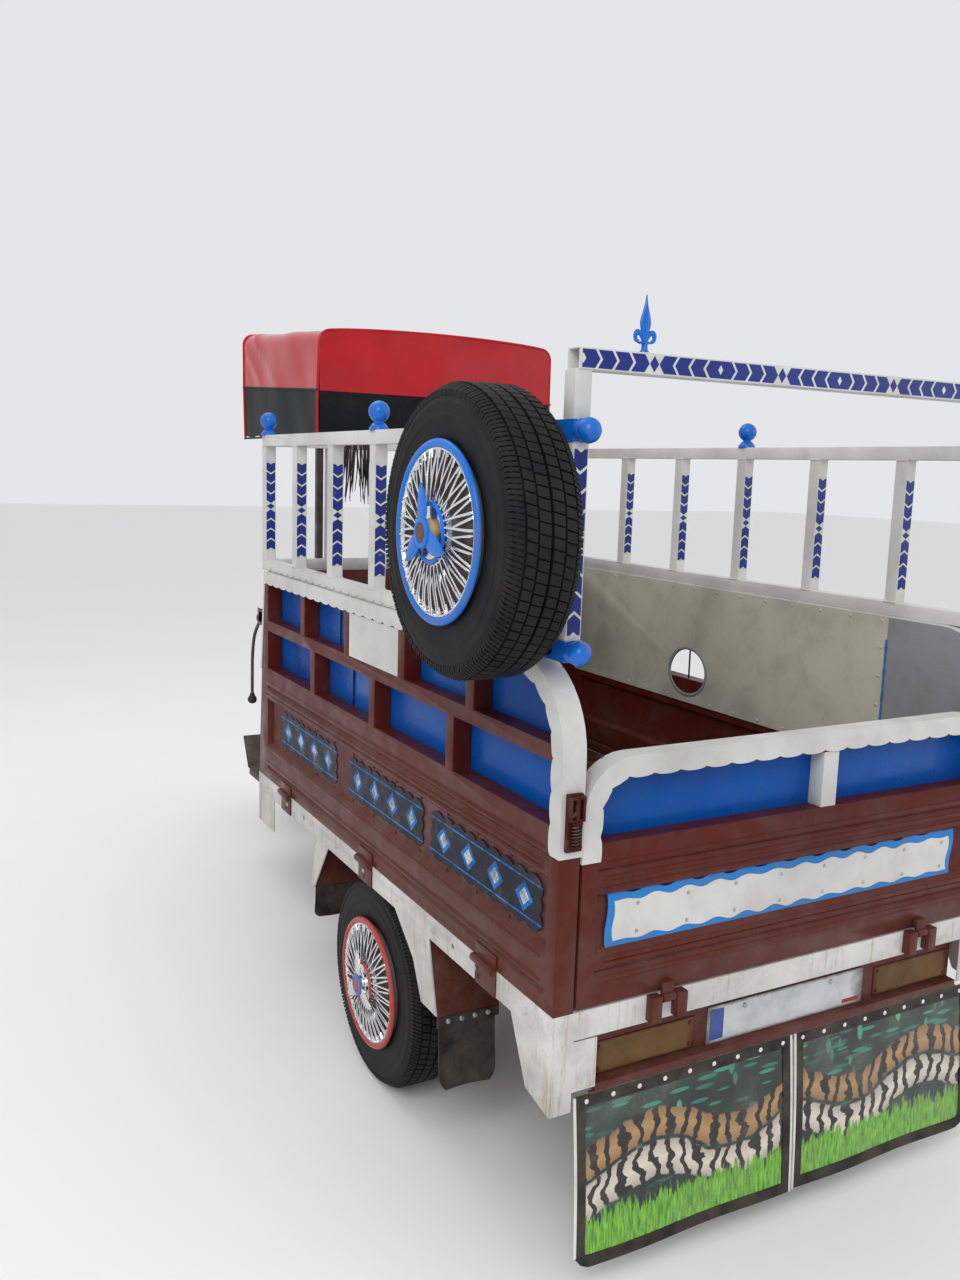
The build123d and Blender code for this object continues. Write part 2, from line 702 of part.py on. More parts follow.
def front_railing():
    """The railing on the headboard, between the side railings."""
    x = (LAST_POST_X - POST / 2, LAST_POST_X + POST / 2)
    half = RAILING_Y - POST / 2
    pieces = [block(x, (-half, half), (RAILING_BASE - TRIM_THICKNESS, RAILING_BASE + POST))]
    pieces.append(block(x, (-half, half), (RAILING_TOP - POST, RAILING_TOP)))
    for i in range(FRONT_POSTS):
        y = (i - (FRONT_POSTS - 1) / 2) * FRONT_POST_PITCH
        pieces.append(block(x, (y - POST / 2, y + POST / 2), (RAILING_BASE + POST, RAILING_TOP - POST)))
    return fused(pieces)


def rear_arch():
    """The tube across the rear on two short posts, open at its ends."""
    x = (FIRST_POST_X - ARCH_TUBE / 2, FIRST_POST_X + ARCH_TUBE / 2)
    bottom = ARCH_TOP - ARCH_TUBE
    half = RAILING_Y + POST / 2 - 6
    beam = block(x, (-half, half), (bottom, ARCH_TOP))
    bore = block((x[0] + ARCH_WALL, x[1] - ARCH_WALL), (-half, half), (bottom + ARCH_WALL, ARCH_TOP - ARCH_WALL))
    pieces = [beam - bore]
    for y in (-RAILING_Y, RAILING_Y):
        post_x = (FIRST_POST_X - POST / 2, FIRST_POST_X + POST / 2)
        pieces.append(block(post_x, (y - POST / 2, y + POST / 2), (RAILING_TOP, bottom)))
    return fused(pieces)


def ball_finial(x):
    """A flared square cap with a ball, on a railing post."""
    lower = Plane.XY.offset(RAILING_TOP) * Rectangle(POST + 10, POST + 10)
    upper = Plane.XY.offset(RAILING_TOP + 22) * Rectangle(POST - 8, POST - 8)
    cap = loft([lower, upper])
    return Pos(x, RAILING_Y, 0) * (cap + Pos(0, 0, RAILING_TOP + 22 + BALL_RADIUS * 0.8) * ball(BALL_RADIUS))


def rail_end_cap(z):
    """A square sleeve over a rail's rear end with a ball pointing rearward."""
    half = POST / 2 + CAP_WALL
    rear = FIRST_POST_X - POST / 2
    low = max(z - half, RAILING_BASE)
    sleeve = block((rear - CAP_WALL, rear + CAP_LENGTH), (RAILING_Y - half, RAILING_Y + half), (low, z + half))
    hollow = block((rear, rear + 2 * CAP_LENGTH), (INNER, INNER + POST), (z - POST / 2, z + POST / 2))
    post = block((rear, rear + POST), (INNER, INNER + POST), (z - POST, z + POST))
    behind = block((rear - CAP_WALL / 2, rear + POST), (0, HALF), (low - POST, z + POST))
    knob = Pos(rear - BALL_STAND, RAILING_Y, z) * (Rot(0, 90, 0) * ball(BALL_RADIUS)) - behind
    if low > z - BALL_RADIUS:
        knob = knob - block((rear - POST - 2 * BALL_RADIUS, rear), (0, HALF), (low - POST, low))
    return (sleeve - hollow - post) + knob


def spear_finial():
    """A cast fleur-shaped spear on the arch: a leaf blade over two curled arms and a foot."""
    h = SPEAR_HEIGHT
    w = SPEAR_RADIUS
    right = (
        (w * 0.55, 0),
        (w * 0.3, h * 0.08),
        (w * 0.3, h * 0.2),
        (w * 0.7, h * 0.16),
        (w, h * 0.28),
        (w * 0.7, h * 0.38),
        (w * 0.45, h * 0.38),
        (w * 0.65, h * 0.52),
    )
    outline = right + ((0, h),) + tuple((-y, z) for y, z in reversed(right))
    blade = plate(end_plane(FIRST_POST_X - SPEAR_DEPTH / 2), outline, SPEAR_DEPTH)
    return Pos(0, SPEAR_Y, ARCH_TOP) * blade


def finials():
    """All the blue caps and finials."""
    solids = [ball_finial(x) for x in (post_positions()[3], LAST_POST_X)]
    solids.append(rail_end_cap(RAILING_BASE + POST / 2))
    solids.append(rail_end_cap(RAILING_TOP - POST / 2))
    solids.append(spear_finial())
    return solids + [mirrored(solid) for solid in solids]


def tyre(width):
    """A tyre about the Y axis: bead seat, upright walls, bevelled shoulders and a flat tread."""
    half = width / 2
    side = [(half, RIM_RADIUS), (half, TYRE_RADIUS - SHOULDER), (half - SHOULDER, TYRE_RADIUS)]
    return turned(side + [(-along, radius) for along, radius in reversed(side)])


def rim(face, drum, depth, shaft):
    """A steel disc wheel about the Y axis: its disc outboard, its barrel and drum open inboard."""
    seat = RIM_RADIUS - SOFT_GAP
    barrel = seat - RIM_WALL
    inboard = -RIM_WIDTH / 2
    bore = shaft + AXLE_CLEARANCE
    return turned(
        (
            (face, bore),
            (face, seat),
            (inboard, seat),
            (inboard, barrel),
            (DISC_FACE, barrel),
            (DISC_FACE, drum),
            (-depth, drum),
            (-depth, bore),
        )
    )


def plain_rim(face, shaft):
    """The spare's disc wheel, its disc outboard and its barrel open inboard."""
    seat = RIM_RADIUS - SOFT_GAP
    barrel = seat - RIM_WALL
    inboard = -RIM_WIDTH / 2
    bore = shaft + AXLE_CLEARANCE
    return turned(((face, bore), (face, seat), (inboard, seat), (inboard, barrel), (0, barrel), (0, bore)))


def hubcap():
    """The wire-spoke cover: a disc with raised spokes, a tall centre and a three-eared spinner."""
    seat = HUBCAP_SEAT + SOFT_GAP
    face = seat + HUBCAP_EDGE
    disc = turned(
        (
            (seat, 0),
            (seat, HUBCAP_RADIUS),
            (face, HUBCAP_RADIUS),
            (face, SPINNER_RADIUS),
            (HUBCAP_TOP, SPINNER_RADIUS),
            (HUBCAP_TOP, 0),
        )
    )
    centre = SPINNER_RADIUS - 4
    rise = (HUBCAP_TOP - face) * 0.55
    spoke = plate(
        Plane(origin=(0, 0, -2.5), x_dir=(1, 0, 0), z_dir=(0, 0, 1)),
        ((centre, face - 1), (HUBCAP_RADIUS - 8, face - 1), (HUBCAP_RADIUS - 8, face + 3), (centre, face + rise)),
        5,
    )
    ear = plate(
        Plane(origin=(0, HUBCAP_TOP - 12, 0), x_dir=(1, 0, 0), z_dir=(0, 1, 0)),
        ((centre, -10), (56, -14), (62, 0), (56, 14), (centre, 10)),
        9,
    )
    pieces = [disc] + [Rot(0, 360 * i / SPOKES, 0) * spoke for i in range(SPOKES)]
    pieces += [Rot(0, 120 * i + 90, 0) * ear for i in range(3)]
    return fused(pieces)


def rear_axle():
    """The axle tube with its differential housing, spring seats, back plates and stub shafts."""
    z = TYRE_RADIUS
    x = REAR_AXLE_X
    back = REAR_WHEEL_Y - HUB_INNER - 6
    stub_end = REAR_WHEEL_Y + 40
    half = DIFF_RADIUS * 0.4
    left = [
        (half, DIFF_RADIUS),
        (half, AXLE_TUBE),
        (back - 6, AXLE_TUBE),
        (back - 6, DRUM_RADIUS + 4),
        (back, DRUM_RADIUS + 4),
        (back, AXLE_STUB),
        (stub_end, AXLE_STUB),
        (stub_end, 0),
    ]
    axle = turned([(-along, radius) for along, radius in reversed(left)] + left)
    pieces = [Pos(x, 0, z) * axle]
    pieces.append(block((x, x + NOSE_REACH), (-40, 40), (z - 40, z + 40)))
    for seat_y in (-CHASSIS_Y, CHASSIS_Y):
        pieces.append(block((x - 55, x + 55), (seat_y - 32, seat_y + 32), (z, z + AXLE_TUBE + 6)))
    return fused(pieces)


def leaf_spring():
    """The left spring: stacked leaves bowed down to the axle, clamped, with eyes between hangers."""
    x = REAR_AXLE_X
    seat = TYRE_RADIUS + AXLE_TUBE + 6
    eye = CHASSIS_BOTTOM - SPRING_EYE_DROP
    drop = eye - (seat + LEAVES * LEAF_THICKNESS)
    y = (CHASSIS_Y - LEAF_WIDTH / 2, CHASSIS_Y + LEAF_WIDTH / 2)
    pieces = []
    for i in range(LEAVES):
        half = SPRING_HALF - 110 * (LEAVES - 1 - i)
        rise = drop * (half / SPRING_HALF) ** 2
        low = seat + i * LEAF_THICKNESS
        high = low + LEAF_THICKNESS
        under = ThreePointArc((x - half, low + rise), (x, low), (x + half, low + rise))
        over = ThreePointArc((x + half, high + rise), (x, high), (x - half, high + rise))
        ends = [
            Line((x + half, low + rise), (x + half, high + rise)),
            Line((x - half, high + rise), (x - half, low + rise)),
        ]
        face = make_face([edge for piece in [under, over] + ends for edge in piece.edges()])
        pieces.append(extrude(side_plane(y[1]) * face, LEAF_WIDTH))
    for side in (-1, 1):
        seat_plane = Plane(origin=(x + side * SPRING_HALF, y[1], eye), x_dir=(1, 0, 0), z_dir=(0, -1, 0))
        eyelet = RegularPolygon(SPRING_EYE, 8, major_radius=False, rotation=22.5)
        pieces.append(extrude(seat_plane * eyelet, LEAF_WIDTH))
    clamp_top = seat + LEAVES * LEAF_THICKNESS
    for step in (-34, 34):
        span = (x + step - 6, x + step + 6)
        pieces.append(block(span, (y[0] - 7, y[1] + 7), (clamp_top - 4, clamp_top + 10)))
        for edge in (y[0] - 7, y[1]):
            pieces.append(block(span, (edge, edge + 7), (seat, clamp_top + 10)))
    return fused(pieces)


def spring_hangers():
    """The brackets that hold the spring eyes under the chassis rails, one plate on each side."""
    solids = []
    eye = CHASSIS_BOTTOM - SPRING_EYE_DROP
    top = CHASSIS_BOTTOM + 30
    for side in (-1, 1):
        x = REAR_AXLE_X + side * SPRING_HALF
        outline = ((x - 38, top), (x + 38, top), (x + 22, eye - 22), (x - 22, eye - 22))
        for outer in (CHASSIS_Y - CHASSIS_WIDTH / 2, CHASSIS_Y + CHASSIS_WIDTH / 2 + HANGER):
            solids.append(plate(side_plane(outer), outline, HANGER))
    return solids


def chassis():
    """Two main rails with cross members, spring hangers, and the tubular front frame to the steering head."""
    half = CHASSIS_WIDTH / 2
    pieces = []
    for y in (-CHASSIS_Y, CHASSIS_Y):
        pieces.append(block((40, CHASSIS_FRONT), (y - half, y + half), (CHASSIS_BOTTOM, CHASSIS_TOP)))
    for x in CHASSIS_CROSS_X:
        pieces.append(block((x - 20, x + 20), (-CHASSIS_Y, CHASSIS_Y), (CHASSIS_BOTTOM + 15, CHASSIS_TOP - 5)))
    for hanger in spring_hangers():
        pieces += [hanger, mirrored(hanger)]
    for side in (-1, 1):
        y = side * CRADLE_Y
        route = (
            (CHASSIS_FRONT - 20, y, CHASSIS_BOTTOM + 40),
            (CRADLE_REAR_X, y, CRADLE_Z),
            (CRADLE_FRONT_X, y, CRADLE_Z),
            tuple(steer_point(-105, side * 60, HEAD_TUBE_BOTTOM - 15)),
            tuple(steer_point(-18, side * 16, HEAD_TUBE_BOTTOM + 62)),
        )
        for start, end in zip(route, route[1:]):
            pieces.append(square_tube(start, end, 2 * CRADLE_RADIUS))
    post_top = CHASSIS_TOP + SEAT_BASE_HEIGHT + 40
    pieces.append(block((CHASSIS_FRONT - 40, CHASSIS_FRONT), (-25, 25), (CHASSIS_TOP - 10, post_top)))
    pieces.append(square_tube(*backbone_ends(), 2 * BACKBONE_RADIUS))
    for x in (CRADLE_REAR_X + 55, CRADLE_FRONT_X - 50):
        top = CRADLE_Z + CRADLE_RADIUS
        pieces.append(block((x - 20, x + 20), (-CRADLE_Y - 5, CRADLE_Y + 5), (top - 6, top)))
    tube = STEER * (Pos(0, 0, HEAD_TUBE_BOTTOM) * Cylinder(
        HEAD_TUBE_RADIUS, HEAD_TUBE_TOP - HEAD_TUBE_BOTTOM, align=(Align.CENTER, Align.CENTER, Align.MIN)
    ))
    pieces.append(tube)
    bore = STEER * (Pos(0, 0, HEAD_TUBE_BOTTOM - 40) * Cylinder(
        HEAD_BORE, HEAD_TUBE_TOP - HEAD_TUBE_BOTTOM + 80, align=(Align.CENTER, Align.CENTER, Align.MIN)
    ))
    z = FOOTBOARD_Z - BEARER_RADIUS
    x = CHASSIS_CROSS_X[4]
    for side in (-1, 1):
        reach = (side * 160, side * (FOOTBOARD_OUTER - 10))
        pieces.append(block((x - 16, x + 16), reach, (z - BEARER_RADIUS, z + BEARER_RADIUS)))
        drop = (side * 160 - 8, side * 160 + 8)
        pieces.append(block((x - 15, x + 15), drop, (z - BEARER_RADIUS, CHASSIS_BOTTOM + 20)))
    x = CRADLE_FRONT_X + 20
    reach = (-FOOTBOARD_OUTER + 10, FOOTBOARD_OUTER - 10)
    pieces.append(block((x - 16, x + 16), reach, (z - BEARER_RADIUS, z + BEARER_RADIUS)))
    return fused(pieces) - bore


def engine():
    """The engine and gearbox as one block on the cradle."""
    bottom = CRADLE_Z + CRADLE_RADIUS
    rear = CRADLE_REAR_X + 25
    half = ENGINE_WIDTH / 2
    body = block((rear, rear + ENGINE_LENGTH), (-half, half), (bottom, bottom + ENGINE_HEIGHT))
    return chamfer(body.edges().filter_by(Axis.Y), 30)


def prop_shaft():
    """The shaft from the gearbox to the differential, with a square joint yoke at each end."""
    rear = (REAR_AXLE_X + NOSE_REACH, 0, TYRE_RADIUS)
    front = (CRADLE_REAR_X + 25, 0, CRADLE_Z + CRADLE_RADIUS + 60)
    run = (Vector(*front) - Vector(*rear)).normalized()
    pieces = [rod(rear, front, 22)]
    for start, step in ((Vector(*rear), 70), (Vector(*front), -70)):
        pieces.append(square_tube(tuple(start - run * 10), tuple(start + run * step), 56))
    return fused(pieces) - axle_nose_and_engine()


def axle_nose_and_engine():
    """What the shaft's two ends butt against, to trim them flush."""
    nose = block((REAR_AXLE_X, REAR_AXLE_X + NOSE_REACH), (-60, 60), (150, 420))
    return nose + block((CRADLE_REAR_X + 25, CRADLE_FRONT_X), (-60, 60), (300, 600))


def exhaust():
    """The pipe from the engine's right side to a silencer under the bed, on a strap."""
    z = FOOTBOARD_Z + 28
    port = CRADLE_REAR_X + 155
    lane = -CRADLE_Y - CRADLE_RADIUS - 18
    can_y = -250
    strap = CHASSIS_CROSS_X[3]
    pipe = mitred_rod(((port, -ENGINE_WIDTH / 2, 480), (port, lane, 480), (port - 120, lane, z), (CAN_FRONT, can_y, z)), 16)
    can = rod((CAN_FRONT, can_y, z - 6), (CAN_REAR, can_y, z - 6), CAN_RADIUS)
    tail = rod((CAN_REAR, can_y, z - 10), (CAN_REAR - 80, can_y, z - 20), 14)
    hanger = block((strap - 12, strap + 12), (can_y - 6, can_y + 6), (z, CHASSIS_BOTTOM + 15))
    return fused([pipe, can, tail, hanger])


def seat_base():
    """The sheet steel box under the seat, open at the rear, on the chassis rails."""
    front = SEAT_REAR + SEAT_LENGTH - 25
    half = CHASSIS_Y + CHASSIS_WIDTH / 2
    box = block((SEAT_REAR, front), (-half, half), (CHASSIS_TOP, SEAT_BASE_TOP))
    inner = half - RAIL_WALL
    hollow = block((SEAT_REAR, front - RAIL_WALL), (-inner, inner), (CHASSIS_TOP, SEAT_BASE_TOP - RAIL_WALL))
    return box - hollow


def seat_cushion():
    """The bench cushion as a plain pad with a sloped upper edge."""
    front = SEAT_REAR + SEAT_LENGTH
    low = SEAT_BASE_TOP + SOFT_GAP
    pad = block((SEAT_REAR, front), (-SEAT_WIDTH / 2, SEAT_WIDTH / 2), (low, low + SEAT_CUSHION))
    pad = chamfer(pad.edges().filter_by(Axis.Z), 30)
    return chamfer(pad.faces().sort_by(Axis.Z)[-1].edges(), 16)


def seat_back():
    """The backrest pad on the headboard's front face."""
    low = SEAT_BASE_TOP + SEAT_CUSHION + 40
    rear = BED_LENGTH + SOFT_GAP
    pad = block((rear, rear + SEAT_BACK_THICKNESS), (-SEAT_WIDTH / 2, SEAT_WIDTH / 2), (low, low + SEAT_BACK_HEIGHT))
    pad = chamfer(pad.edges().filter_by(Axis.X), 30)
    return chamfer(pad.faces().sort_by(Axis.X)[-1].edges(), 16)


def mirrored_outline(points, axis):
    """Half an outline's points, then the same points with one coordinate turned about."""
    other = [(-u, v) if axis == 0 else (u, -v) for u, v in reversed(points)]
    return list(points) + other


def fuel_tank():
    """The tank over the backbone: a side profile cut to a tapered plan, with bevelled edges and a cap."""
    rear = CHASSIS_FRONT + 15
    front = rear + TANK_LENGTH
    low = CHASSIS_TOP + SEAT_BASE_HEIGHT + 30
    high = low + TANK_HEIGHT
    half = TANK_WIDTH / 2
    side = (
        (rear, low),
        (front, low + 40),
        (front, high - 20),
        (front - TANK_LENGTH * 0.35, high + 14),
        (rear + TANK_LENGTH * 0.25, high - 30),
        (rear, low + TANK_HEIGHT * 0.45),
    )
    plan = (
        (rear, half * 0.55),
        (rear + TANK_LENGTH * 0.3, half * 0.95),
        (rear + TANK_LENGTH * 0.65, half),
        (front, half * 0.6),
    )
    across = (
        (half * 0.7, low),
        (half, low + 30),
        (half, high - 55),
        (half * 0.8, high - 18),
        (half * 0.35, high + 14),
    )
    body = plate(side_plane(half), side, TANK_WIDTH)
    body = body & plate(Plane.XY.offset(low), mirrored_outline(plan, 1), 2 * TANK_HEIGHT)
    body = body & plate(end_plane(rear), mirrored_outline(across, 0), TANK_LENGTH)
    x = rear + TANK_LENGTH * 0.62
    cap = block((x - 26, x + 26), (-26, 26), (low + TANK_HEIGHT * 0.9, high + 30))
    cap = chamfer(cap.edges().filter_by(Axis.Z), 15)
    tunnel_half = BACKBONE_RADIUS + SOFT_GAP
    start = Vector(*backbone_ends()[0])
    end = Vector(*backbone_ends()[1])
    lift = (end - start).cross(Vector(0, 1, 0)).normalized() * -tunnel_half
    if lift.Z < 0:
        lift = lift * -1
    reach = (end - start) * 0.3
    corners = [start + lift - reach, end + lift + reach, end - 6 * lift + reach, start - 6 * lift - reach]
    tunnel = plate(side_plane(tunnel_half), [(point.X, point.Z) for point in corners], 2 * tunnel_half)
    tank = body + cap - tunnel
    return tank.solids().sort_by(SortBy.VOLUME)[-1]


def backbone_ends():
    """The backbone tube's rear and front end, on its centre line."""
    rear = (CHASSIS_FRONT - 30, 0, CHASSIS_TOP + SEAT_BASE_HEIGHT + 15)
    return rear, tuple(steer_point(-10, 0, HEAD_TUBE_TOP - 70))


def footboards():
    """The left and right footboards with a turned-up toe and a rib below the outer edge."""
    z = FOOTBOARD_Z
    t = RAIL_WALL
    toe = FOOTBOARD_TOE
    outline = (
        (FOOTBOARD_REAR, z),
        (FOOTBOARD_FRONT, z),
        (FOOTBOARD_FRONT + 70, z + toe),
        (FOOTBOARD_FRONT + 66, z + toe + 2),
        (FOOTBOARD_FRONT - 2, z + t),
        (FOOTBOARD_REAR, z + t),
    )
    board = plate(side_plane(FOOTBOARD_OUTER), outline, FOOTBOARD_OUTER - FOOTBOARD_INNER)
    lip = block((FOOTBOARD_REAR, FOOTBOARD_FRONT - 20), (FOOTBOARD_OUTER - t, FOOTBOARD_OUTER), (z - 24, z))
    board = board + lip
    return [board, mirrored(board)]


def canopy_section(x, top, inset=0):
    """The canopy's cross-section at one place along its length, drawn in by an inset."""
    half = CANOPY_HALF_WIDTH - inset
    crown = top - inset
    edge = crown - CANOPY_CROWN
    shoulder = CANOPY_SHOULDER - inset
    cut = shoulder * (1 - math.sqrt(0.5))
    low = CANOPY_BOTTOM - (1 if inset else 0)
    lines = [
        Line((-half, low), (half, low)),
        Line((half, low), (half, edge - shoulder)),
        ThreePointArc((half, edge - shoulder), (half - cut, edge - cut), (half - shoulder, edge)),
        ThreePointArc((half - shoulder, edge), (0, crown), (-half + shoulder, edge)),
        ThreePointArc((-half + shoulder, edge), (-half + cut, edge - cut), (-half, edge - shoulder)),
        Line((-half, edge - shoulder), (-half, low)),
    ]
    face = make_face([piece for line in lines for piece in line.edges()])
    return end_plane(x) * face


def canopy_top_at(x):
    """Height of the canopy's crown at a place along its length."""
    share = (x - CANOPY_REAR) / (CANOPY_FRONT - CANOPY_REAR)
    return CANOPY_REAR_TOP + share * (CANOPY_FRONT_TOP - CANOPY_REAR_TOP)


def canopy_cover():
    """The canopy: an arched roof with hanging sides, open below and at the front."""
    ends = (CANOPY_REAR, CANOPY_FRONT)
    outer = loft([canopy_section(x, canopy_top_at(x)) for x in ends], ruled=True)
    wall = CANOPY_WALL
    inner_ends = (CANOPY_REAR + wall, CANOPY_FRONT - wall)
    inner = loft([canopy_section(x, canopy_top_at(x), wall) for x in inner_ends], ruled=True)
    sight = block(
        (CANOPY_FRONT - 2 * wall, CANOPY_FRONT + wall),
        (-CANOPY_HALF_WIDTH + wall, CANOPY_HALF_WIDTH - wall),
        (CANOPY_BOTTOM - 1, CANOPY_FRONT_TOP - CANOPY_FRONT_VALANCE),
    )
    return outer - inner - sight


def canopy_frame():
    """The canopy's square tubes: four posts, side rails and three roof bows."""
    half = CANOPY_TUBE
    y = CANOPY_POST_Y
    rear_x = BED_LENGTH + half + SOFT_GAP
    front_x = CANOPY_FRONT_POST_X
    shoulder_drop = CANOPY_CROWN + CANOPY_SHOULDER + CANOPY_TUBE
    foot = FOOTBOARD_Z + RAIL_WALL + SOFT_GAP
    rail = (CANOPY_REAR + 30, CANOPY_FRONT - 25)
    pieces = []
    for side in (-y, y):
        ends = [(x, side, canopy_top_at(x) - shoulder_drop) for x in rail]
        pieces.append(square_tube(*ends, 2 * half))
        for x, base in ((rear_x, GATE_BOTTOM + 4), (front_x, foot)):
            head = canopy_top_at(x) - shoulder_drop
            pieces.append(block((x - half, x + half), (side - half, side + half), (base, head)))
        pieces.append(block((front_x - 25, front_x + 25), (side - 18, side + 18), (foot, foot + 6)))
        for z in (GATE_BOTTOM + 60, GATE_TOP - 30):
            pieces.append(block((BED_LENGTH + SOFT_GAP, rear_x), (side - 30, side + 30), (z - 20, z + 20)))
    for x in (rear_x, front_x, CANOPY_FRONT_BOW_X):
        top = canopy_top_at(x) - CANOPY_WALL - BOW_GAP
        low = canopy_top_at(x) - shoulder_drop - half
        knee = y - 60
        edge = y + half
        outer = [(-edge, low), (-edge, low + 8), (-knee, top - 22), (0, top), (knee, top - 22), (edge, low + 8)]
        inner = [(edge, low), (knee, top - 44), (0, top - 22), (-knee, top - 44)]
        pieces.append(plate(end_plane(x - half), outer + inner, 2 * half))
    return fused(pieces)


def fork():
    """Both fork legs between two yokes, the stem through the steering head and the front axle."""
    u = FORK_OFFSET
    lower = HEAD_TUBE_BOTTOM - YOKE_GAP - YOKE_THICKNESS
    upper = HEAD_TUBE_TOP + YOKE_GAP
    side = FORK_Y + 30
    pieces = []
    for y in (-FORK_Y, FORK_Y):
        pieces.append(rod((u, y, SLIDER_TOP - 20), (u, y, upper + 4), STANCHION_RADIUS))
        pieces.append(rod((u, y, 30), (u, y, SLIDER_TOP), SLIDER_RADIUS))
        pieces.append(block((u - 26, u + 26), (y - 12, y + 12), (-34, 36)))
    outline = ((-34, 30), (-34, -30), (u - 30, -side), (u + 30, -side), (u + 30, side), (u - 30, side))
    for t in (lower, upper):
        pieces.append(plate(Plane.XY.offset(t), outline, YOKE_THICKNESS))
    pieces.append(rod((0, 0, lower + 4), (0, 0, upper + 4), STEM_RADIUS))
    body = STEER * fused(pieces)
    return body + rod((FRONT_AXLE_X, -FORK_Y, TYRE_RADIUS), (FRONT_AXLE_X, FORK_Y, TYRE_RADIUS), FRONT_AXLE_RADIUS)


def front_fender():
    """The front mudguard: an arched band over the wheel, on a stay to each fork leg."""
    r = FENDER_RADIUS
    half = FENDER_HALF_WIDTH
    ring = turned(((-half, r), (half, r), (half, r - FENDER_WALL), (-half, r - FENDER_WALL)))
    wedge = make_face(Polyline((0, 0), (900, 60), (900, 900), (-900, 900), (-900, -160), close=True))
    keep = extrude(Plane.XZ * wedge, half + 5, both=True)
    pieces = [Pos(FRONT_AXLE_X, 0, TYRE_RADIUS) * (ring & keep)]
    for side in (-1, 1):
        start = steer_point(FORK_OFFSET, side * (FORK_Y - SLIDER_RADIUS - SOFT_GAP), r - 3)
        end = Vector(start.X, side * (half - 12), start.Z)
        pieces.append(square_tube(tuple(start), tuple(end), 12))
    return fused(pieces)


def headlamp():
    """The headlamp: a round glass rim, a bowl tapering back and two ears to the fork legs."""
    centre = steer_point(LAMP_FORWARD, 0, LAMP_UP)
    r = LAMP_RADIUS
    seat = end_plane(centre.X + 20)
    lens = extrude(seat * (Pos(0, centre.Z) * Circle(r)), 22)
    back = Plane(origin=(centre.X + 20, 0, centre.Z), x_dir=(0, 1, 0), z_dir=(-1, 0, 0))
    bowl = extrude(back * RegularPolygon(r * 0.97, 12), LAMP_LENGTH * 0.7)
    bowl = chamfer(bowl.faces().sort_by(Axis.X)[0].edges(), 34)
    ears = []
    for side in (-1, 1):
        inner = FORK_Y - STANCHION_RADIUS - SOFT_GAP
        leg = steer_point(FORK_OFFSET, side * inner, LAMP_UP)
        ears.append(block((leg.X - 8, centre.X - 10), (side * (inner - 6), side * inner), (leg.Z - 20, leg.Z + 20)))
        ears.append(block((centre.X - 30, centre.X), (side * 40, side * inner), (leg.Z - 8, leg.Z + 8)))
    return fused([lens, bowl] + ears)


def bar_route():
    """The handlebar's corners from the right grip's inner end to the left one's."""
    seat = steer_point(10, 0, HEAD_TUBE_TOP + YOKE_GAP + YOKE_THICKNESS + 18)
    run = Vector(-70, 125, -8).normalized() * (143 - GRIP_LENGTH)
    left = [
        (seat.X, 100, seat.Z),
        (seat.X - 95, 225, seat.Z + 100),
        (seat.X - 95 + run.X, 225 + run.Y, seat.Z + 100 + run.Z),
    ]
    return [(x, -y, z) for x, y, z in reversed(left)] + left


def handlebar():
    """The bar from its two clamps on the upper yoke up and back to the grips."""
    pieces = [mitred_rod(bar_route(), BAR_RADIUS)]
    x = steer_point(10, 0, HEAD_TUBE_TOP + YOKE_GAP + YOKE_THICKNESS + 18).X
    for side in (-1, 1):
        foot = steer_point(10, side * 40, HEAD_TUBE_TOP + YOKE_GAP + YOKE_THICKNESS)
        head = steer_point(10, side * 40, HEAD_TUBE_TOP + YOKE_GAP + YOKE_THICKNESS + 34)
        pieces.append(square_tube(tuple(foot), tuple(head), 30))
    return fused(pieces)


def grips():
    """The rubber grips on the bar's ends."""
    solids = []
    for side in (-1, 1):
        end = Vector(*bar_route()[-1])
        bend = Vector(*bar_route()[-2])
        run = (end - bend).normalized()
        start = end + run * SOFT_GAP
        far = end + run * (GRIP_LENGTH + 4)
        solids.append(rod((start.X, side * start.Y, start.Z), (far.X, side * far.Y, far.Z), GRIP_RADIUS))
    return solids


def light_board():
    """The bar and sheet below the rear rail that carry the plates and the flaps."""
    half = BOARD_HALF_WIDTH
    sheet = block((BOARD_X, BOARD_X + RAIL_WALL), (-half, half), (BOARD_BOTTOM, RAIL_BOTTOM + 20))
    bar = block((2, BOARD_X), (-half, half), (BOARD_BOTTOM, BOARD_BOTTOM + 18))
    holes = []
    z = sum(NUMBER_PLATE_Z) / 2
    for side in (-1, 1):
        y = side * PLATE_BOLT_PITCH / 2
        holes.append(rod((BOARD_X - 10, y, z), (BOARD_X + 10, y, z), PLATE_BOLT_RADIUS))
    board = sheet + bar
    channel = CROSS_X[0] - CROSS_WIDTH / 2
    for y in (-450, -150, 150, 450):
        board = board + block((BOARD_X, channel), (y - 25, y + 25), (RAIL_BOTTOM + 4, RAIL_BOTTOM + 20))
    for hole in holes:
        board = board - hole
    return board


def rear_flap():
    """The left flap under the light board: a rounded panel flared rearward."""
    y_in = FLAP_GAP / 2
    y_out = y_in + FLAP_WIDTH
    outline = (
        (y_in, FLAP_TOP),
        (y_in, FLAP_BOTTOM + 42),
        (y_in + 60, FLAP_BOTTOM + 22),
        (y_in + 330, FLAP_BOTTOM),
        (y_out - 90, FLAP_BOTTOM + 14),
        (y_out - 20, FLAP_BOTTOM + 60),
        (y_out, FLAP_BOTTOM + 130),
        (y_out, FLAP_TOP),
    )
    panel = plate(end_plane(2), outline, FLAP_THICKNESS)
    hinge = Axis((2, 0, FLAP_TOP), (0, 1, 0))
    return panel.rotate(hinge, FLAP_FLARE)


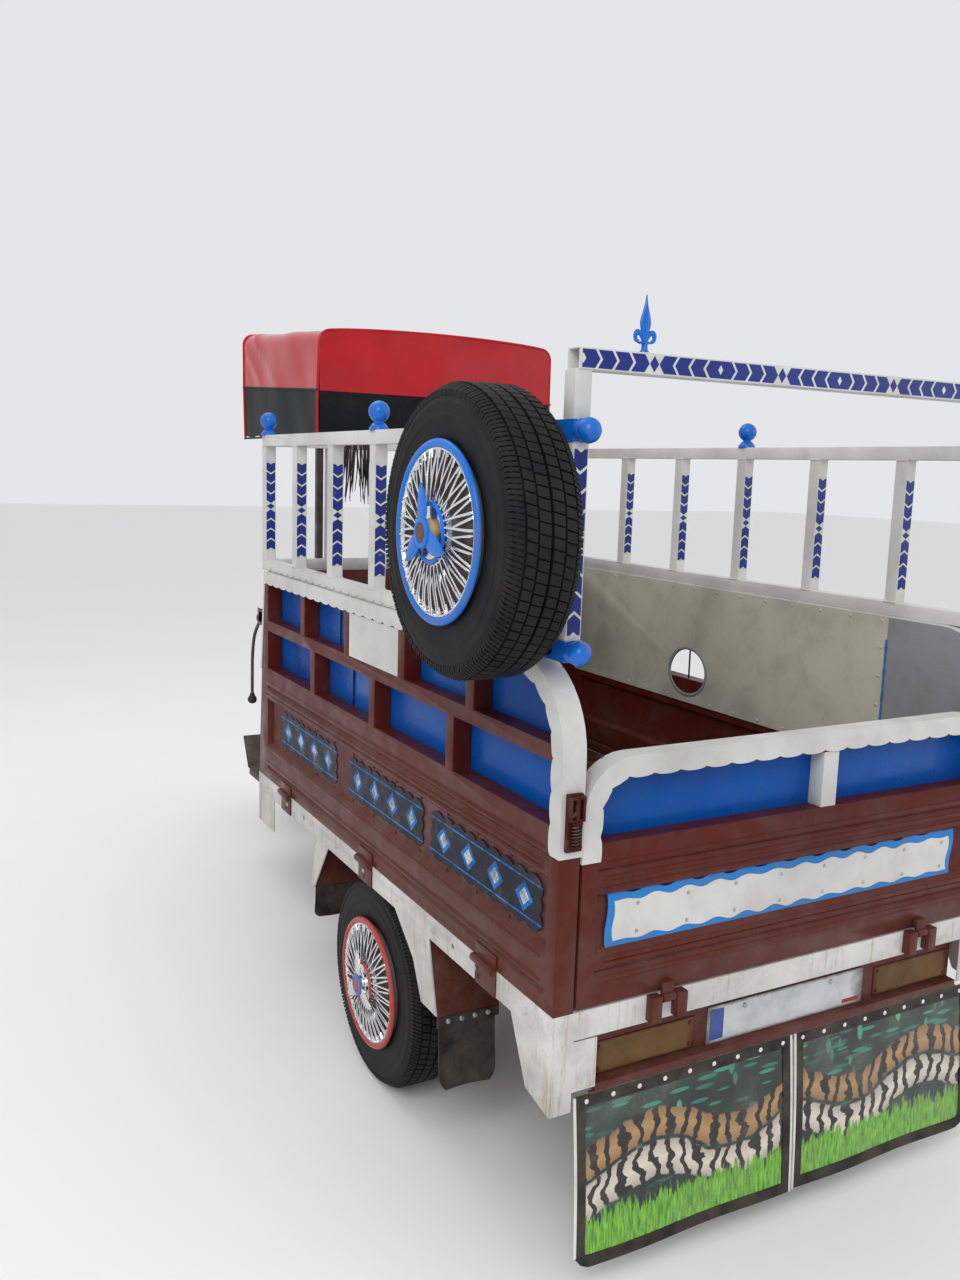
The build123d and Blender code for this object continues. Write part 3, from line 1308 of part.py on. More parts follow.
def rear_flaps():
    """Both rear flaps, on a strip under the light board."""
    left = rear_flap()
    strip = block((2, 12), (-BOARD_HALF_WIDTH, BOARD_HALF_WIDTH), (FLAP_TOP + 0.2, BOARD_BOTTOM))
    return [left, mirrored(left), strip]


def mudguards():
    """The sloped sheets between the skirt plates and the chassis, behind and ahead of each rear wheel."""
    t = SHEET
    rear = ARCH_REAR
    front = ARCH_FRONT
    top = RAIL_BOTTOM
    outlines = (
        ((rear + 55, top), (rear, 385), (rear, 345), (rear + t, 345), (rear + t, 384), (rear + 55 + t, top)),
        ((front - 26, top), (front, 395), (front + t, 395), (front - 26 + t, top)),
    )
    solids = [plate(side_plane(HALF - RAIL_WALL), outline, MUDGUARD_WIDTH) for outline in outlines]
    return solids + [mirrored(solid) for solid in solids]


def wheel_flaps():
    """The black rubber flaps hung on the mudguards' lower edges."""
    out = HALF - RAIL_WALL - 4
    inner = HALF - RAIL_WALL - MUDGUARD_WIDTH + 6
    rear_outline = ((inner, 372), (inner, 215), (inner + 18, 190), (out - 18, 190), (out, 215), (out, 372))
    behind = plate(end_plane(ARCH_REAR - 4), rear_outline, 4)
    ahead = plate(end_plane(ARCH_FRONT + SHEET), ((inner, 400), (inner, 290), (out, 290), (out, 400)), 4)
    solids = [behind, ahead]
    return solids + [mirrored(solid) for solid in solids]


def spare_bracket():
    """The bracket that holds the spare wheel: a bar across two railing posts, a block and a stud."""
    out = RAILING_Y + POST / 2
    posts = post_positions()
    z = (SPARE_Z - 30, SPARE_Z + 30)
    bar = block((posts[0] - POST / 2, posts[1] + POST / 2), (out, out + 6), z)
    stand = block((SPARE_X - 30, SPARE_X + 30), (out, SPARE_Y - SOFT_GAP), z)
    stud = rod((SPARE_X, SPARE_Y - 1, SPARE_Z), (SPARE_X, SPARE_Y + 30, SPARE_Z), 12)
    return fused([bar, stand, stud])


def build():
    """Every node by name."""
    left_gate = side_gate()
    left_trim = gate_trim()
    railing = side_railing()
    rear_rim = rim(HUBCAP_SEAT, DRUM_RADIUS, HUB_INNER, AXLE_STUB)
    front_rim = rim(FRONT_TYRE_WIDTH / 2, FRONT_DRUM_RADIUS, FRONT_HUB_HALF, FRONT_AXLE_RADIUS)
    cap = hubcap()
    rear = (REAR_AXLE_X, REAR_WHEEL_Y, TYRE_RADIUS)
    front = (FRONT_AXLE_X, 0, TYRE_RADIUS)
    spare = (SPARE_X, SPARE_Y, SPARE_Z)
    spring = leaf_spring()
    nodes = {
        "chassis_frame": chassis(),
        "bed_frame": bed_frame(),
        "bed_floor": bed_floor(),
        "skirt_plates": skirt_plates(),
        "side_gate_left": left_gate,
        "side_gate_right": mirrored(left_gate),
        "gate_trims": [left_trim, mirrored(left_trim), flush_panel()],
        "gate_sheets": [gate_sheet(), mirrored(gate_sheet(hole=True))],
        "gate_linings": [gate_lining(), mirrored(gate_lining(hole=True))],
        "headboard": headboard(),
        "gate_hinges": side_hinges() + tailgate_hinges(),
        "latches": latches(),
        "corner_lever": corner_lever(),
        "side_railing_left": railing,
        "side_railing_right": mirrored(railing),
        "front_railing": front_railing(),
        "rear_arch": rear_arch(),
        "finials": finials(),
        "spare_bracket": spare_bracket(),
        "spare_tyre": placed(tyre(SPARE_TYRE_WIDTH), *spare),
        "spare_rim": placed(plain_rim(HUBCAP_SEAT, HUB_RADIUS), *spare),
        "spare_hubcap": placed(cap, *spare),
        "rear_axle": rear_axle(),
        "leaf_springs": [spring, mirrored(spring)],
        "prop_shaft": prop_shaft(),
        "engine": engine(),
        "exhaust": exhaust(),
        "fuel_tank": fuel_tank(),
        "seat_base": seat_base(),
        "seat_cushion": seat_cushion(),
        "seat_back": seat_back(),
        "footboards": footboards(),
        "canopy_frame": canopy_frame(),
        "canopy_cover": canopy_cover(),
        "light_board": light_board(),
        "rear_flaps": rear_flaps(),
        "mudguards": mudguards(),
        "wheel_flaps": wheel_flaps(),
        "tailgate": tailgate(),
        "tailgate_sheet": tailgate_sheet(),
        "tailgate_stanchion": tailgate_stanchion(),
        "tailgate_trim": tailgate_trim(),
        "tailgate_hinge_leaves": tailgate_hinge_leaves(),
        "rear_tyre_left": placed(tyre(TYRE_WIDTH), *rear),
        "rear_rim_left": placed(rear_rim, *rear),
        "rear_hubcap_left": placed(cap, *rear),
        "rear_tyre_right": mirrored(placed(tyre(TYRE_WIDTH), *rear)),
        "rear_rim_right": mirrored(placed(rear_rim, *rear)),
        "rear_hubcap_right": mirrored(placed(cap, *rear)),
        "fork": fork(),
        "front_fender": front_fender(),
        "headlamp": headlamp(),
        "handlebar": handlebar(),
        "grips": grips(),
        "front_tyre": placed(tyre(FRONT_TYRE_WIDTH), *front),
        "front_rim": placed(front_rim, *front),
    }
    return nodes


def solids_of(shape):
    """The separate solids in a shape or a list of shapes."""
    if isinstance(shape, (list, tuple)):
        return [solid for item in shape for solid in solids_of(item)]
    return list(shape.solids())


def export(nodes):
    """Centre the machine's footprint on the origin and write one STEP file for each node."""
    os.makedirs("parts", exist_ok=True)
    rear_reach = SPARE_X - TYRE_RADIUS
    left_reach = SPARE_Y + HUBCAP_TOP
    right_reach = -(REAR_WHEEL_Y + HUBCAP_TOP)
    front_reach = FRONT_AXLE_X + FENDER_RADIUS
    place = Pos(-(rear_reach + front_reach) / 2, -(left_reach + right_reach) / 2, 0)
    for name, shape in nodes.items():
        solids = [place * solid for solid in solids_of(shape)]
        whole = solids[0] if len(solids) == 1 else Compound(solids)
        export_step(whole, f"parts/{name}.step")


export(build())
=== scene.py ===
"""Cargo motor tricycle: finishes and detail pieces around the packed model."""

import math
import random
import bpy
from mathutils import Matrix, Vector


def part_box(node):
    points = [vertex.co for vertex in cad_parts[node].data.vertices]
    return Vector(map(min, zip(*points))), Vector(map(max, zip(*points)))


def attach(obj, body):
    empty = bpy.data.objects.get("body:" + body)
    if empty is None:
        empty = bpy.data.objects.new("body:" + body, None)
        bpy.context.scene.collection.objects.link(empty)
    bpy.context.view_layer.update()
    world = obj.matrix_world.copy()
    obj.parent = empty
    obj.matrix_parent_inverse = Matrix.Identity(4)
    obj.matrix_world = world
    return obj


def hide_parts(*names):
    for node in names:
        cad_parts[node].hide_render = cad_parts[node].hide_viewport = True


bl_info = {
    "name": "Cargo Motor Tricycle",
    "version": (1, 0, 0),
    "blender": (4, 5, 0),
    "location": "View3D > Sidebar > Tricycle",
    "description": "Dresses a cargo motor tricycle: pressed gates, wire hubcaps, canopy, flaps and trim",
    "category": "Object",
}

import bmesh
import bpy
from bpy.props import FloatProperty, FloatVectorProperty, IntProperty, PointerProperty
from mathutils import Matrix, Vector

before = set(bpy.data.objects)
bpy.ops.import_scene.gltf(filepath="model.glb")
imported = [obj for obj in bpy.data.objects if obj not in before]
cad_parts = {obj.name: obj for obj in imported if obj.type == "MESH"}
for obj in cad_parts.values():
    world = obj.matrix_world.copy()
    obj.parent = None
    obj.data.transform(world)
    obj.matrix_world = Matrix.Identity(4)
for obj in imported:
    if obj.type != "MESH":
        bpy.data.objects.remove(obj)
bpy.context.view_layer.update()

# Machine coordinates: X forward from the tailgate's outer face, Y left from the middle, Z up
LEFT_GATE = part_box("side_gate_left")
RIGHT_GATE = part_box("side_gate_right")
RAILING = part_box("side_railing_left")
ORIGIN = Vector((LEFT_GATE[0].x, (LEFT_GATE[1].y + RIGHT_GATE[0].y) / 2, 0))
HALF = (LEFT_GATE[1].y - RIGHT_GATE[0].y) / 2
INNER = HALF - (LEFT_GATE[1].y - LEFT_GATE[0].y)
BED_LENGTH = LEFT_GATE[1].x - LEFT_GATE[0].x
ALONG = BED_LENGTH / 1.913  # places along the bed keep their share of its length
GATE_BOTTOM, GATE_TOP = LEFT_GATE[0].z, LEFT_GATE[1].z
GATE_LEAN = 0.060
GATE_ROUND = 0.180
RAILING_LOW, RAILING_HIGH = RAILING[0].z, RAILING[1].z
POST = RAILING[1].y - RAILING[0].y
POST_Y = INNER + POST / 2
POSTS = 7
FIRST_POST = RAILING[0].x - ORIGIN.x + POST / 2
LAST_POST = RAILING[1].x - ORIGIN.x - POST / 2
POST_STEP = (LAST_POST - FIRST_POST) / (POSTS - 1)
BAND_FLOOR = HALF - 0.016
WINDOW_SILLS = (0.996, 1.156)
WINDOW_HEADS = (1.122, 1.276)
SIDES = (1, -1)
LABELS = {1: "left", -1: "right"}
BOXES = {}


def node_box(node):
    """A CAD node's lowest and highest corners in machine coordinates."""
    if node not in BOXES:
        BOXES[node] = [Vector(corner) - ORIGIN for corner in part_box(node)]
    low, high = BOXES[node]
    return low.copy(), high.copy()


def node_centre(node):
    low, high = node_box(node)
    return (low + high) / 2


def settings():
    return bpy.context.scene.tricycle


# Curves and outlines


def turns(count, first=0.0):
    """Even turns round a circle, in radians."""
    return [2 * math.pi * (i + first) / count for i in range(count)]


def round_point(turn, power=1.0):
    """Cosine and sine of a turn; a power under 1 squares the circle off."""
    c, s = math.cos(turn), math.sin(turn)
    return math.copysign(abs(c) ** power, c), math.copysign(abs(s) ** power, s)


def arc(x, y, radius, start, end, steps, first=0):
    """Points on an arc about x, y between two turns in degrees, from the first step on."""
    angles = [math.radians(start + (end - start) * i / steps) for i in range(first, steps + 1)]
    return [Vector((x + radius * math.cos(t), y + radius * math.sin(t))) for t in angles]


def rectangle(x, y):
    """The four corners of a rectangle from its low and high edge each way."""
    return [(x[0], y[0]), (x[1], y[0]), (x[1], y[1]), (x[0], y[1])]


def waved_outline(x, y, pitch, least, steps, wave):
    """A rectangle's outline; wave(count) gives a function of how far out each share of a side lies."""
    corners = rectangle(x, y)
    outline = []
    for (ax, ay), (bx, by) in zip(corners, corners[1:] + corners[:1]):
        long = math.hypot(bx - ax, by - ay)
        count = max(least, round(long / pitch))
        lift = wave(count)
        for i in range(count * steps):
            t = i / (count * steps)
            out = lift(t) / long
            outline.append((ax + (bx - ax) * t + (by - ay) * out, ay + (by - ay) * t + (ax - bx) * out))
    return outline


def smooth_path(points, steps=8):
    """A curve through the given points, by Catmull and Rom's formula."""
    points = [Vector(point) for point in points]
    padded = [points[0] * 2 - points[1]] + points + [points[-1] * 2 - points[-2]]
    path = []
    for a, b, c, d in zip(padded, padded[1:], padded[2:], padded[3:]):
        for t in (i / steps for i in range(steps)):
            bend = (2 * a - 5 * b + 4 * c - d) * t * t + (3 * b - a - 3 * c + d) * t**3
            path.append(0.5 * (2 * b + (c - a) * t + bend))
    return path + [points[-1]]


def even_path(points, step):
    """Points at even steps along a broken line, with the length at each."""
    lengths = [0.0]
    for a, b in zip(points, points[1:]):
        lengths.append(lengths[-1] + (b - a).length)
    count = max(2, round(lengths[-1] / step))
    result = []
    k = 0
    for i in range(count + 1):
        want = lengths[-1] * i / count
        while k < len(points) - 2 and lengths[k + 1] < want:
            k += 1
        share = (want - lengths[k]) / max(lengths[k + 1] - lengths[k], 1e-9)
        result.append((points[k].lerp(points[k + 1], share), want))
    return result


# Meshes


def on_axis(axis, w, u, v):
    """A point from its place w along an axis and u, v across it."""
    return {"x": (w, u, v), "y": (u, w, v), "z": (u, v, w)}[axis]


def add_rings(mesh, rings, around=True, along=False, caps=True, material=0):
    """Skins a list of rings of points; around closes each ring, along joins the last to the first."""
    rows = [[mesh.verts.new(point) for point in ring] for ring in rings]
    count = len(rows[0])
    for i in range(len(rows) if along else len(rows) - 1):
        for j in range(count if around else count - 1):
            corners = ((i, j), (i, j + 1), (i + 1, j + 1), (i + 1, j))
            face = mesh.faces.new([rows[a % len(rows)][b % count] for a, b in corners])
            face.material_index = material
    if caps and around and not along:
        for row in (rows[0], rows[-1]):
            mesh.faces.new(row).material_index = material


def add_box(mesh, x, y, z):
    """A box from its two edges along X, Y and Z."""
    add_rings(mesh, [[(w, u, v) for u, v in rectangle(sorted(y), sorted(z))] for w in sorted(x)])


def add_prism(mesh, outline, axis, low, high):
    """An outline of two coordinates, extruded along the axis that it leaves out."""
    add_rings(mesh, [[on_axis(axis, w, u, v) for u, v in outline] for w in (low, high)])


def add_lathe(mesh, profile, centre=(0, 0, 0), axis="y", segments=48, closed=False):
    """Turns a profile of (distance along the axis, radius) about an axis through a centre."""
    spokes = [round_point(turn) for turn in turns(segments)]
    centre = Vector(centre)
    rings = [[centre + Vector(on_axis(axis, along, r * c, r * s)) for c, s in spokes] for along, r in profile]
    add_rings(mesh, rings, along=closed)


def lathe_along(mesh, start, end, profile, segments=24):
    """A lathe about the line from start to end; its profile is (distance, radius)."""
    ahead = (end - start).normalized()
    side = ahead.cross(Vector((0, 1, 0)) if abs(ahead.y) < 0.9 else Vector((1, 0, 0))).normalized()
    spokes = [side * c + side.cross(ahead) * s for c, s in map(round_point, turns(segments))]
    add_rings(mesh, [[start + ahead * along + spoke * r for spoke in spokes] for along, r in profile])


def path_frames(points):
    """The side and up direction of a path at each of its points, without twist."""
    frames = []
    side = None
    for i in range(len(points)):
        ahead = points[min(i + 1, len(points) - 1)] - points[max(i - 1, 0)]
        ahead.normalize()
        if side is None:
            seed = Vector((0, 0, 1)) if abs(ahead.z) < 0.9 else Vector((1, 0, 0))
            side = ahead.cross(seed).normalized()
        side = (side - ahead * side.dot(ahead)).normalized()
        frames.append((side, ahead.cross(side).normalized()))
    return frames


def add_tube(mesh, points, radius, sides=12, material=0, flat=1.0):
    """A round or flattened tube along a path; the radius may be a list with one value for each point."""
    points = [Vector(point) for point in points]
    radii = radius if isinstance(radius, list) else [radius] * len(points)
    spokes = [round_point(turn) for turn in turns(sides)]
    rings = []
    for point, (side, up), reach in zip(points, path_frames(points), radii):
        rings.append([point + side * reach * c + up * reach * flat * s for c, s in spokes])
    add_rings(mesh, rings, material=material)


def add_ball(mesh, centre, radius, segments, rows=6):
    arcs = [math.pi * i / rows for i in range(rows + 1)]
    profile = [(-radius * math.cos(t), max(radius * math.sin(t), 1e-5)) for t in arcs]
    add_lathe(mesh, profile, centre, "z", segments)


def dome(radius, height, axis, sides=10):
    """A rivet or screw head about the origin, its foot at zero along the axis."""
    mesh = bmesh.new()
    sign = -1 if axis.startswith("-") else 1
    profile = [(0, radius), (height * 0.6, radius * 0.85), (height, radius * 0.35), (height, 1e-5)]
    add_lathe(mesh, [(sign * along, r) for along, r in profile], axis=axis[-1], segments=sides)
    return mesh


def outward(side):
    """The name of the axis that points out of the machine on a side."""
    return "y" if side > 0 else "-y"


def nut(radius, height, side=1):
    """A hexagonal nut with a washer and a bolt end along Y about the origin."""
    mesh = bmesh.new()
    for segments, profile in (
        (14, [(0, radius * 1.35), (0.0015, radius * 1.3)]),
        (6, [(0.0015, radius), (height * 0.85, radius), (height, radius * 0.86)]),
        (8, [(height, radius * 0.5), (height * 1.45, radius * 0.45)]),
    ):
        add_lathe(mesh, [(side * along, r) for along, r in profile], segments=segments)
    return mesh


def raised(mesh, height):
    bmesh.ops.translate(mesh, verts=mesh.verts, vec=(0, 0, height))
    return mesh


def set_uv(mesh, faces, uv):
    """UV on the given faces from a function of a corner's place."""
    layer = mesh.loops.layers.uv.verify()
    for face in faces:
        for loop in face.loops:
            loop[layer].uv = uv(loop.vert.co)


def faces_since(mesh, start):
    mesh.faces.ensure_lookup_table()
    return mesh.faces[start:]


# Objects


def link_object(name, mesh, materials):
    """An object from a bmesh, which it frees, with the given materials."""
    data = bpy.data.meshes.new(name)
    mesh.to_mesh(data)
    mesh.free()
    for material in materials:
        data.materials.append(material)
    obj = bpy.data.objects.new(name, data)
    bpy.context.scene.collection.objects.link(obj)
    return obj


def new_object(name, mesh, materials, move=True, merge=1e-6):
    """An object at the origin from a bmesh in machine coordinates, its faces turned outward."""
    bmesh.ops.remove_doubles(mesh, verts=mesh.verts, dist=merge)
    bmesh.ops.dissolve_degenerate(mesh, dist=1e-7, edges=mesh.edges)
    bmesh.ops.recalc_face_normals(mesh, faces=mesh.faces)
    if move:
        bmesh.ops.translate(mesh, verts=mesh.verts, vec=ORIGIN)
    names = [materials] if isinstance(materials, str) else materials
    return link_object(name, mesh, [finish(material) for material in names])


def bake(obj):
    """Applies an object's modifiers by taking its evaluated mesh."""
    graph = bpy.context.evaluated_depsgraph_get()
    shown = obj.evaluated_get(graph)
    mesh = bpy.data.meshes.new_from_object(shown, preserve_all_data_layers=True, depsgraph=graph)
    obj.modifiers.clear()
    old, obj.data = obj.data, mesh
    bpy.data.meshes.remove(old)
    return obj


def bevel(obj, width, segments=2, angle=32):
    """Rounds an object's edges and bakes the result."""
    modifier = obj.modifiers.new("Bevel", "BEVEL")
    modifier.width = width
    modifier.segments = segments
    modifier.limit_method = "ANGLE"
    modifier.angle_limit = math.radians(angle)
    return bake(obj)


def soften(obj, thickness=0.0, smooth=True, offset=-1.0):
    """Subdivides an object once, gives a sheet its thickness and bakes the result."""
    if smooth:
        soft = obj.modifiers.new("Soft", "SUBSURF")
        soft.levels = soft.render_levels = 1
    if thickness:
        thick = obj.modifiers.new("Thick", "SOLIDIFY")
        thick.thickness, thick.offset = thickness, offset
    return bake(obj)


def settle(obj, body="chassis", replaces=(), angle=38):
    """Shades a finished piece and names its body, its slot and the nodes that it stands for."""
    obj.data.shade_smooth()
    obj.data.set_sharp_from_angle(angle=math.radians(angle))
    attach(obj, body)
    if replaces:
        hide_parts(*replaces)
    return obj


def piece(name, mesh, materials, body="chassis", replaces=(), rounding=0, angle=38, segments=2):
    """A finished piece from a bmesh in machine coordinates."""
    obj = new_object(name, mesh, materials)
    if rounding:
        bevel(obj, rounding, segments)
    return settle(obj, body, replaces, angle)


def part(name, mesh, material, rounding=0, segments=2, angle=32):
    """One object of a piece that is joined later."""
    obj = new_object(name, mesh, material)
    return bevel(obj, rounding, segments, angle) if rounding else obj


def joined(name, objects, body="chassis", replaces=(), angle=38):
    """A finished piece from several objects, which it takes up."""
    mesh = bmesh.new()
    materials = []
    for obj in objects:
        start = len(mesh.faces)
        mesh.from_mesh(obj.data)
        places = []
        for material in obj.data.materials:
            if material not in materials:
                materials.append(material)
            places.append(materials.index(material))
        for face in faces_since(mesh, start):
            face.material_index = places[min(face.material_index, len(places) - 1)]
        bpy.data.objects.remove(obj)
    return settle(link_object(name, mesh, materials), body, replaces, angle)


def dressed_copy(node, material, body="chassis", rounding=0.0015, angle=38, segments=2):
    """A CAD node's mesh merged, its flat faces joined and its edges rounded; it stands for the node."""
    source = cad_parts[node]
    mesh = bmesh.new()
    mesh.from_mesh(source.data)
    bmesh.ops.remove_doubles(mesh, verts=mesh.verts, dist=2e-5)
    flat = math.radians(1.5)
    bmesh.ops.dissolve_limit(mesh, angle_limit=flat, verts=mesh.verts, edges=mesh.edges, delimit={"NORMAL"})
    obj = bevel(link_object(node + "_dressed", mesh, [finish(material)]), rounding, segments, 25)
    return settle(obj, body, (node,), angle)


# Node trees


def sum_of(operation, swapped=False):
    """A method that joins a value and another by a Math node."""
    return lambda self, other: self.nodes.math(operation, *((other, self) if swapped else (self, other)))


class Value:
    """A node's output, whose sums add Math nodes to its tree."""

    def __init__(self, nodes, socket):
        self.nodes, self.socket = nodes, socket

    __add__, __radd__ = sum_of("ADD"), sum_of("ADD", True)
    __sub__, __rsub__ = sum_of("SUBTRACT"), sum_of("SUBTRACT", True)
    __mul__, __rtruediv__ = sum_of("MULTIPLY"), sum_of("DIVIDE", True)

    def __abs__(self):
        return self.nodes.math("ABSOLUTE", self)

    def fract(self):
        return self.nodes.math("FRACT", self)

    def ramp(self, low, high, least=0.0, most=1.0):
        """The value mapped from low..high to least..most and clamped."""
        inputs = {"Value": self, "From Min": low, "From Max": high, "To Min": least, "To Max": most}
        return self.nodes.node("ShaderNodeMapRange", inputs)


class Nodes:
    """A node tree that is built by short calls."""

    def __init__(self, tree):
        self.tree = tree

    def set(self, socket, value):
        if isinstance(value, Value):
            self.tree.links.new(value.socket, socket)
        elif socket.type == "RGBA" and len(value) == 3:
            socket.default_value = (*value, 1)
        else:
            socket.default_value = value

    def node(self, kind, inputs=None, output=0, **options):
        """Adds a node and returns one of its outputs, or the outputs of a tuple of names."""
        made = self.tree.nodes.new(kind)
        for key, value in options.items():
            setattr(made, key, value)
        for key, value in (inputs or {}).items():
            self.set(made.inputs[key], value)
        if isinstance(output, tuple):
            return [Value(self, made.outputs[key]) for key in output]
        return Value(self, made.outputs[output])

    def math(self, operation, a, b=0.0):
        return self.node("ShaderNodeMath", {0: a, 1: b}, operation=operation)


class Repeater(Nodes):
    """A Geometry Nodes tree with named inputs that repeats a piece and paints the copies."""

    def __init__(self, name, **inputs):
        super().__init__(bpy.data.node_groups.new(name, "GeometryNodeTree"))
        kinds = {"Geometry": "Geometry", **inputs, "Material": "Material"}
        for label, kind in kinds.items():
            label = label.replace("_", " ")
            self.tree.interface.new_socket(label, in_out="INPUT", socket_type="NodeSocket" + kind)
        self.tree.interface.new_socket("Geometry", in_out="OUTPUT", socket_type="NodeSocketGeometry")
        source = self.tree.nodes.new("NodeGroupInput")
        self.inputs = {socket.name: Value(self, socket) for socket in source.outputs}

    def end(self, points, **instances):
        """Instances on the points, realized and painted."""
        inputs = {"Points": points, "Instance": self.inputs["Geometry"], **instances}
        copies = self.node("GeometryNodeInstanceOnPoints", inputs)
        real = self.node("GeometryNodeRealizeInstances", {"Geometry": copies})
        inputs = {"Geometry": real, "Material": self.inputs["Material"]}
        dressed = self.node("GeometryNodeSetMaterial", inputs)
        self.set(self.tree.nodes.new("NodeGroupOutput").inputs[0], dressed)
        return self.tree


def ring_tree():
    """Repeats a piece about the Y axis at even turns, from a first turn."""
    tree = Repeater("Ring of pieces", Count="Int", First_Turn="Float")
    count = tree.inputs["Count"]
    points = tree.node("GeometryNodeMeshLine", {"Count": count, "Offset": (0, 0, 0)})
    index = tree.node("GeometryNodeInputIndex")
    turn = index * (2 * math.pi / count) + tree.inputs["First Turn"]
    return tree.end(points, Rotation=tree.node("ShaderNodeCombineXYZ", {"Y": turn}))


def row_tree():
    """Repeats a piece along a straight step, each copy turned and sized a little by chance."""
    kinds = {"Count": "Int", "Step": "Vector", "Turn_Chance": "Vector", "Size_Chance": "Float", "Seed": "Int"}
    tree = Repeater("Row of pieces", **kinds)
    most, seed = tree.inputs["Turn Chance"], tree.inputs["Seed"]
    points = tree.node("GeometryNodeMeshLine", {"Count": tree.inputs["Count"], "Offset": tree.inputs["Step"]})
    least = tree.node("ShaderNodeVectorMath", {0: most, 1: (-1, -1, -1)}, operation="MULTIPLY")
    chance = {0: least, 1: most, "Seed": seed}
    turn = tree.node("FunctionNodeRandomValue", chance, data_type="FLOAT_VECTOR")
    chance = {2: 1.0 - tree.inputs["Size Chance"], 3: 1.0, "Seed": seed}
    size = tree.node("FunctionNodeRandomValue", chance, 1, data_type="FLOAT")
    return tree.end(points, Rotation=turn, Scale=size)


TREES = {}


def repeat(name, mesh, material, kind, place, values):
    """A unit piece made about the origin, repeated by one of the trees and moved to a place."""
    unit = new_object(name, mesh, material, move=False)
    if kind not in TREES:
        TREES[kind] = kind()
    modifier = unit.modifiers.new("Repeat", "NODES")
    modifier.node_group = TREES[kind]
    values["Material"] = finish(material)
    for item in TREES[kind].interface.items_tree:
        if item.in_out == "INPUT" and item.name in values:
            modifier[item.identifier] = values[item.name]
    bake(unit).data.transform(Matrix.Translation(Vector(place) + ORIGIN))
    return unit


def ring_of(name, mesh, material, count, centre, turn=0.0):
    return repeat(name, mesh, material, ring_tree, centre, {"Count": count, "First Turn": turn})


def row_of(mesh, material, count, start, step, turn=(0, 0, 0), size=0.0, seed=1):
    values = {"Count": count, "Step": Vector(step), "Turn Chance": Vector(turn), "Size Chance": size}
    return repeat("row", mesh, material, row_tree, start, {**values, "Seed": seed})


# Materials

DUST = (0.20, 0.17, 0.135)
RUST = (0.16, 0.05, 0.018)
GRIME = (0.05, 0.04, 0.03)


class Graph(Nodes):
    """A material's nodes on Object coordinates."""

    def __init__(self, name, metallic=0.0, coat=0.0, specular=0.3):
        self.material = bpy.data.materials.new(name)
        self.material.use_nodes = True
        super().__init__(self.material.node_tree)
        self.place, self.uv = self.node("ShaderNodeTexCoord", output=("Object", "UV"))
        self.shade(Metallic=metallic, Coat_Weight=coat, Specular_IOR_Level=specular)

    def shade(self, **inputs):
        shader = self.tree.nodes["Principled BSDF"]
        for key, value in inputs.items():
            self.set(shader.inputs[key.replace("_", " ")], value)

    def end(self, colour, roughness, normal, **others):
        self.shade(Base_Color=colour, Roughness=roughness, Normal=normal, **others)
        return self.material

    def noise(self, scale, detail=4.0, rough=0.55, stretch=None, source=None, warp=0.0):
        vector = source or self.place
        if stretch:
            vector = self.node("ShaderNodeVectorMath", {0: vector, 1: stretch}, operation="MULTIPLY")
        inputs = {"Vector": vector, "Scale": scale, "Detail": detail, "Roughness": rough, "Distortion": warp}
        return self.node("ShaderNodeTexNoise", inputs, "Fac")

    def mix(self, factor, a, b):
        return self.node("ShaderNodeMix", {0: factor, 6: a, 7: b}, 2, data_type="RGBA")

    def axis(self, name, source=None):
        return self.node("ShaderNodeSeparateXYZ", {0: source or self.place}, name)

    def bump(self, height, strength=0.3, distance=0.001, normal=None):
        inputs = {"Height": height, "Strength": strength, "Distance": distance}
        return self.node("ShaderNodeBump", {**inputs, "Normal": normal} if normal else inputs)


def tint(colour, share):
    return tuple(min(1.0, c * share) for c in colour)


def weathered(g, colour, dirt=0.35, chips=0.3, low_dust=0.5):
    """Paint that is uneven, dusty near the ground and chipped to rust in small spots."""
    uneven = g.mix(g.noise(2.3, 5).ramp(0.35, 0.68), colour, tint(colour, 0.74))
    dirty = g.mix(g.noise(9.0, 8, 0.65, warp=0.6).ramp(0.46, 0.74) * dirt, uneven, DUST)
    splash = g.axis("Z").ramp(0.95, 0.25) * g.noise(24.0, 6, 0.7).ramp(0.3, 0.7) * low_dust
    spots = g.noise(48.0, 5, 0.7).ramp(0.705, 0.74) * chips
    return g.mix(spots, g.mix(splash, dirty, DUST), RUST), spots


def paint(
    name, colour, roughness=0.35, coat=0.2, dirt=0.35, chips=0.3, brush=0.15, low_dust=0.5, metallic=0.0
):
    """Sprayed or brushed enamel on steel."""
    g = Graph(name, coat=coat * 0.3, metallic=metallic, specular=0.15)
    final, spots = weathered(g, colour, dirt, chips, low_dust)
    gloss = g.noise(14.0, 6).ramp(0.3, 0.7, roughness * 0.75, min(1, roughness * 1.5))
    wave = g.bump(g.noise(30.0, 3) + g.noise(6.0, 4, stretch=(1, 1, 14)), brush, 0.0012)
    return g.end(final, gloss, g.bump(spots, -0.35, 0.0006, wave))


def streaked(name, colour, roughness=0.45):
    """White enamel with rust and yellow grime that runs down from its edges."""
    g = Graph(name, coat=0.05)
    final, spots = weathered(g, colour, 0.45, 0.7, 0.4)
    runs = g.noise(3.0, 6, 0.7, stretch=(16, 16, 1.2))
    final = g.mix(runs.ramp(0.56, 0.72) * 0.85, final, (0.33, 0.19, 0.06))
    final = g.mix(g.noise(7.0, 8, 0.75).ramp(0.60, 0.76) * 0.8, final, GRIME)
    normal = g.bump(spots, -0.4, 0.0008, g.bump(g.noise(40.0, 6), 0.25, 0.001))
    return g.end(final, runs.ramp(0.3, 0.7, roughness, roughness * 1.5), normal)


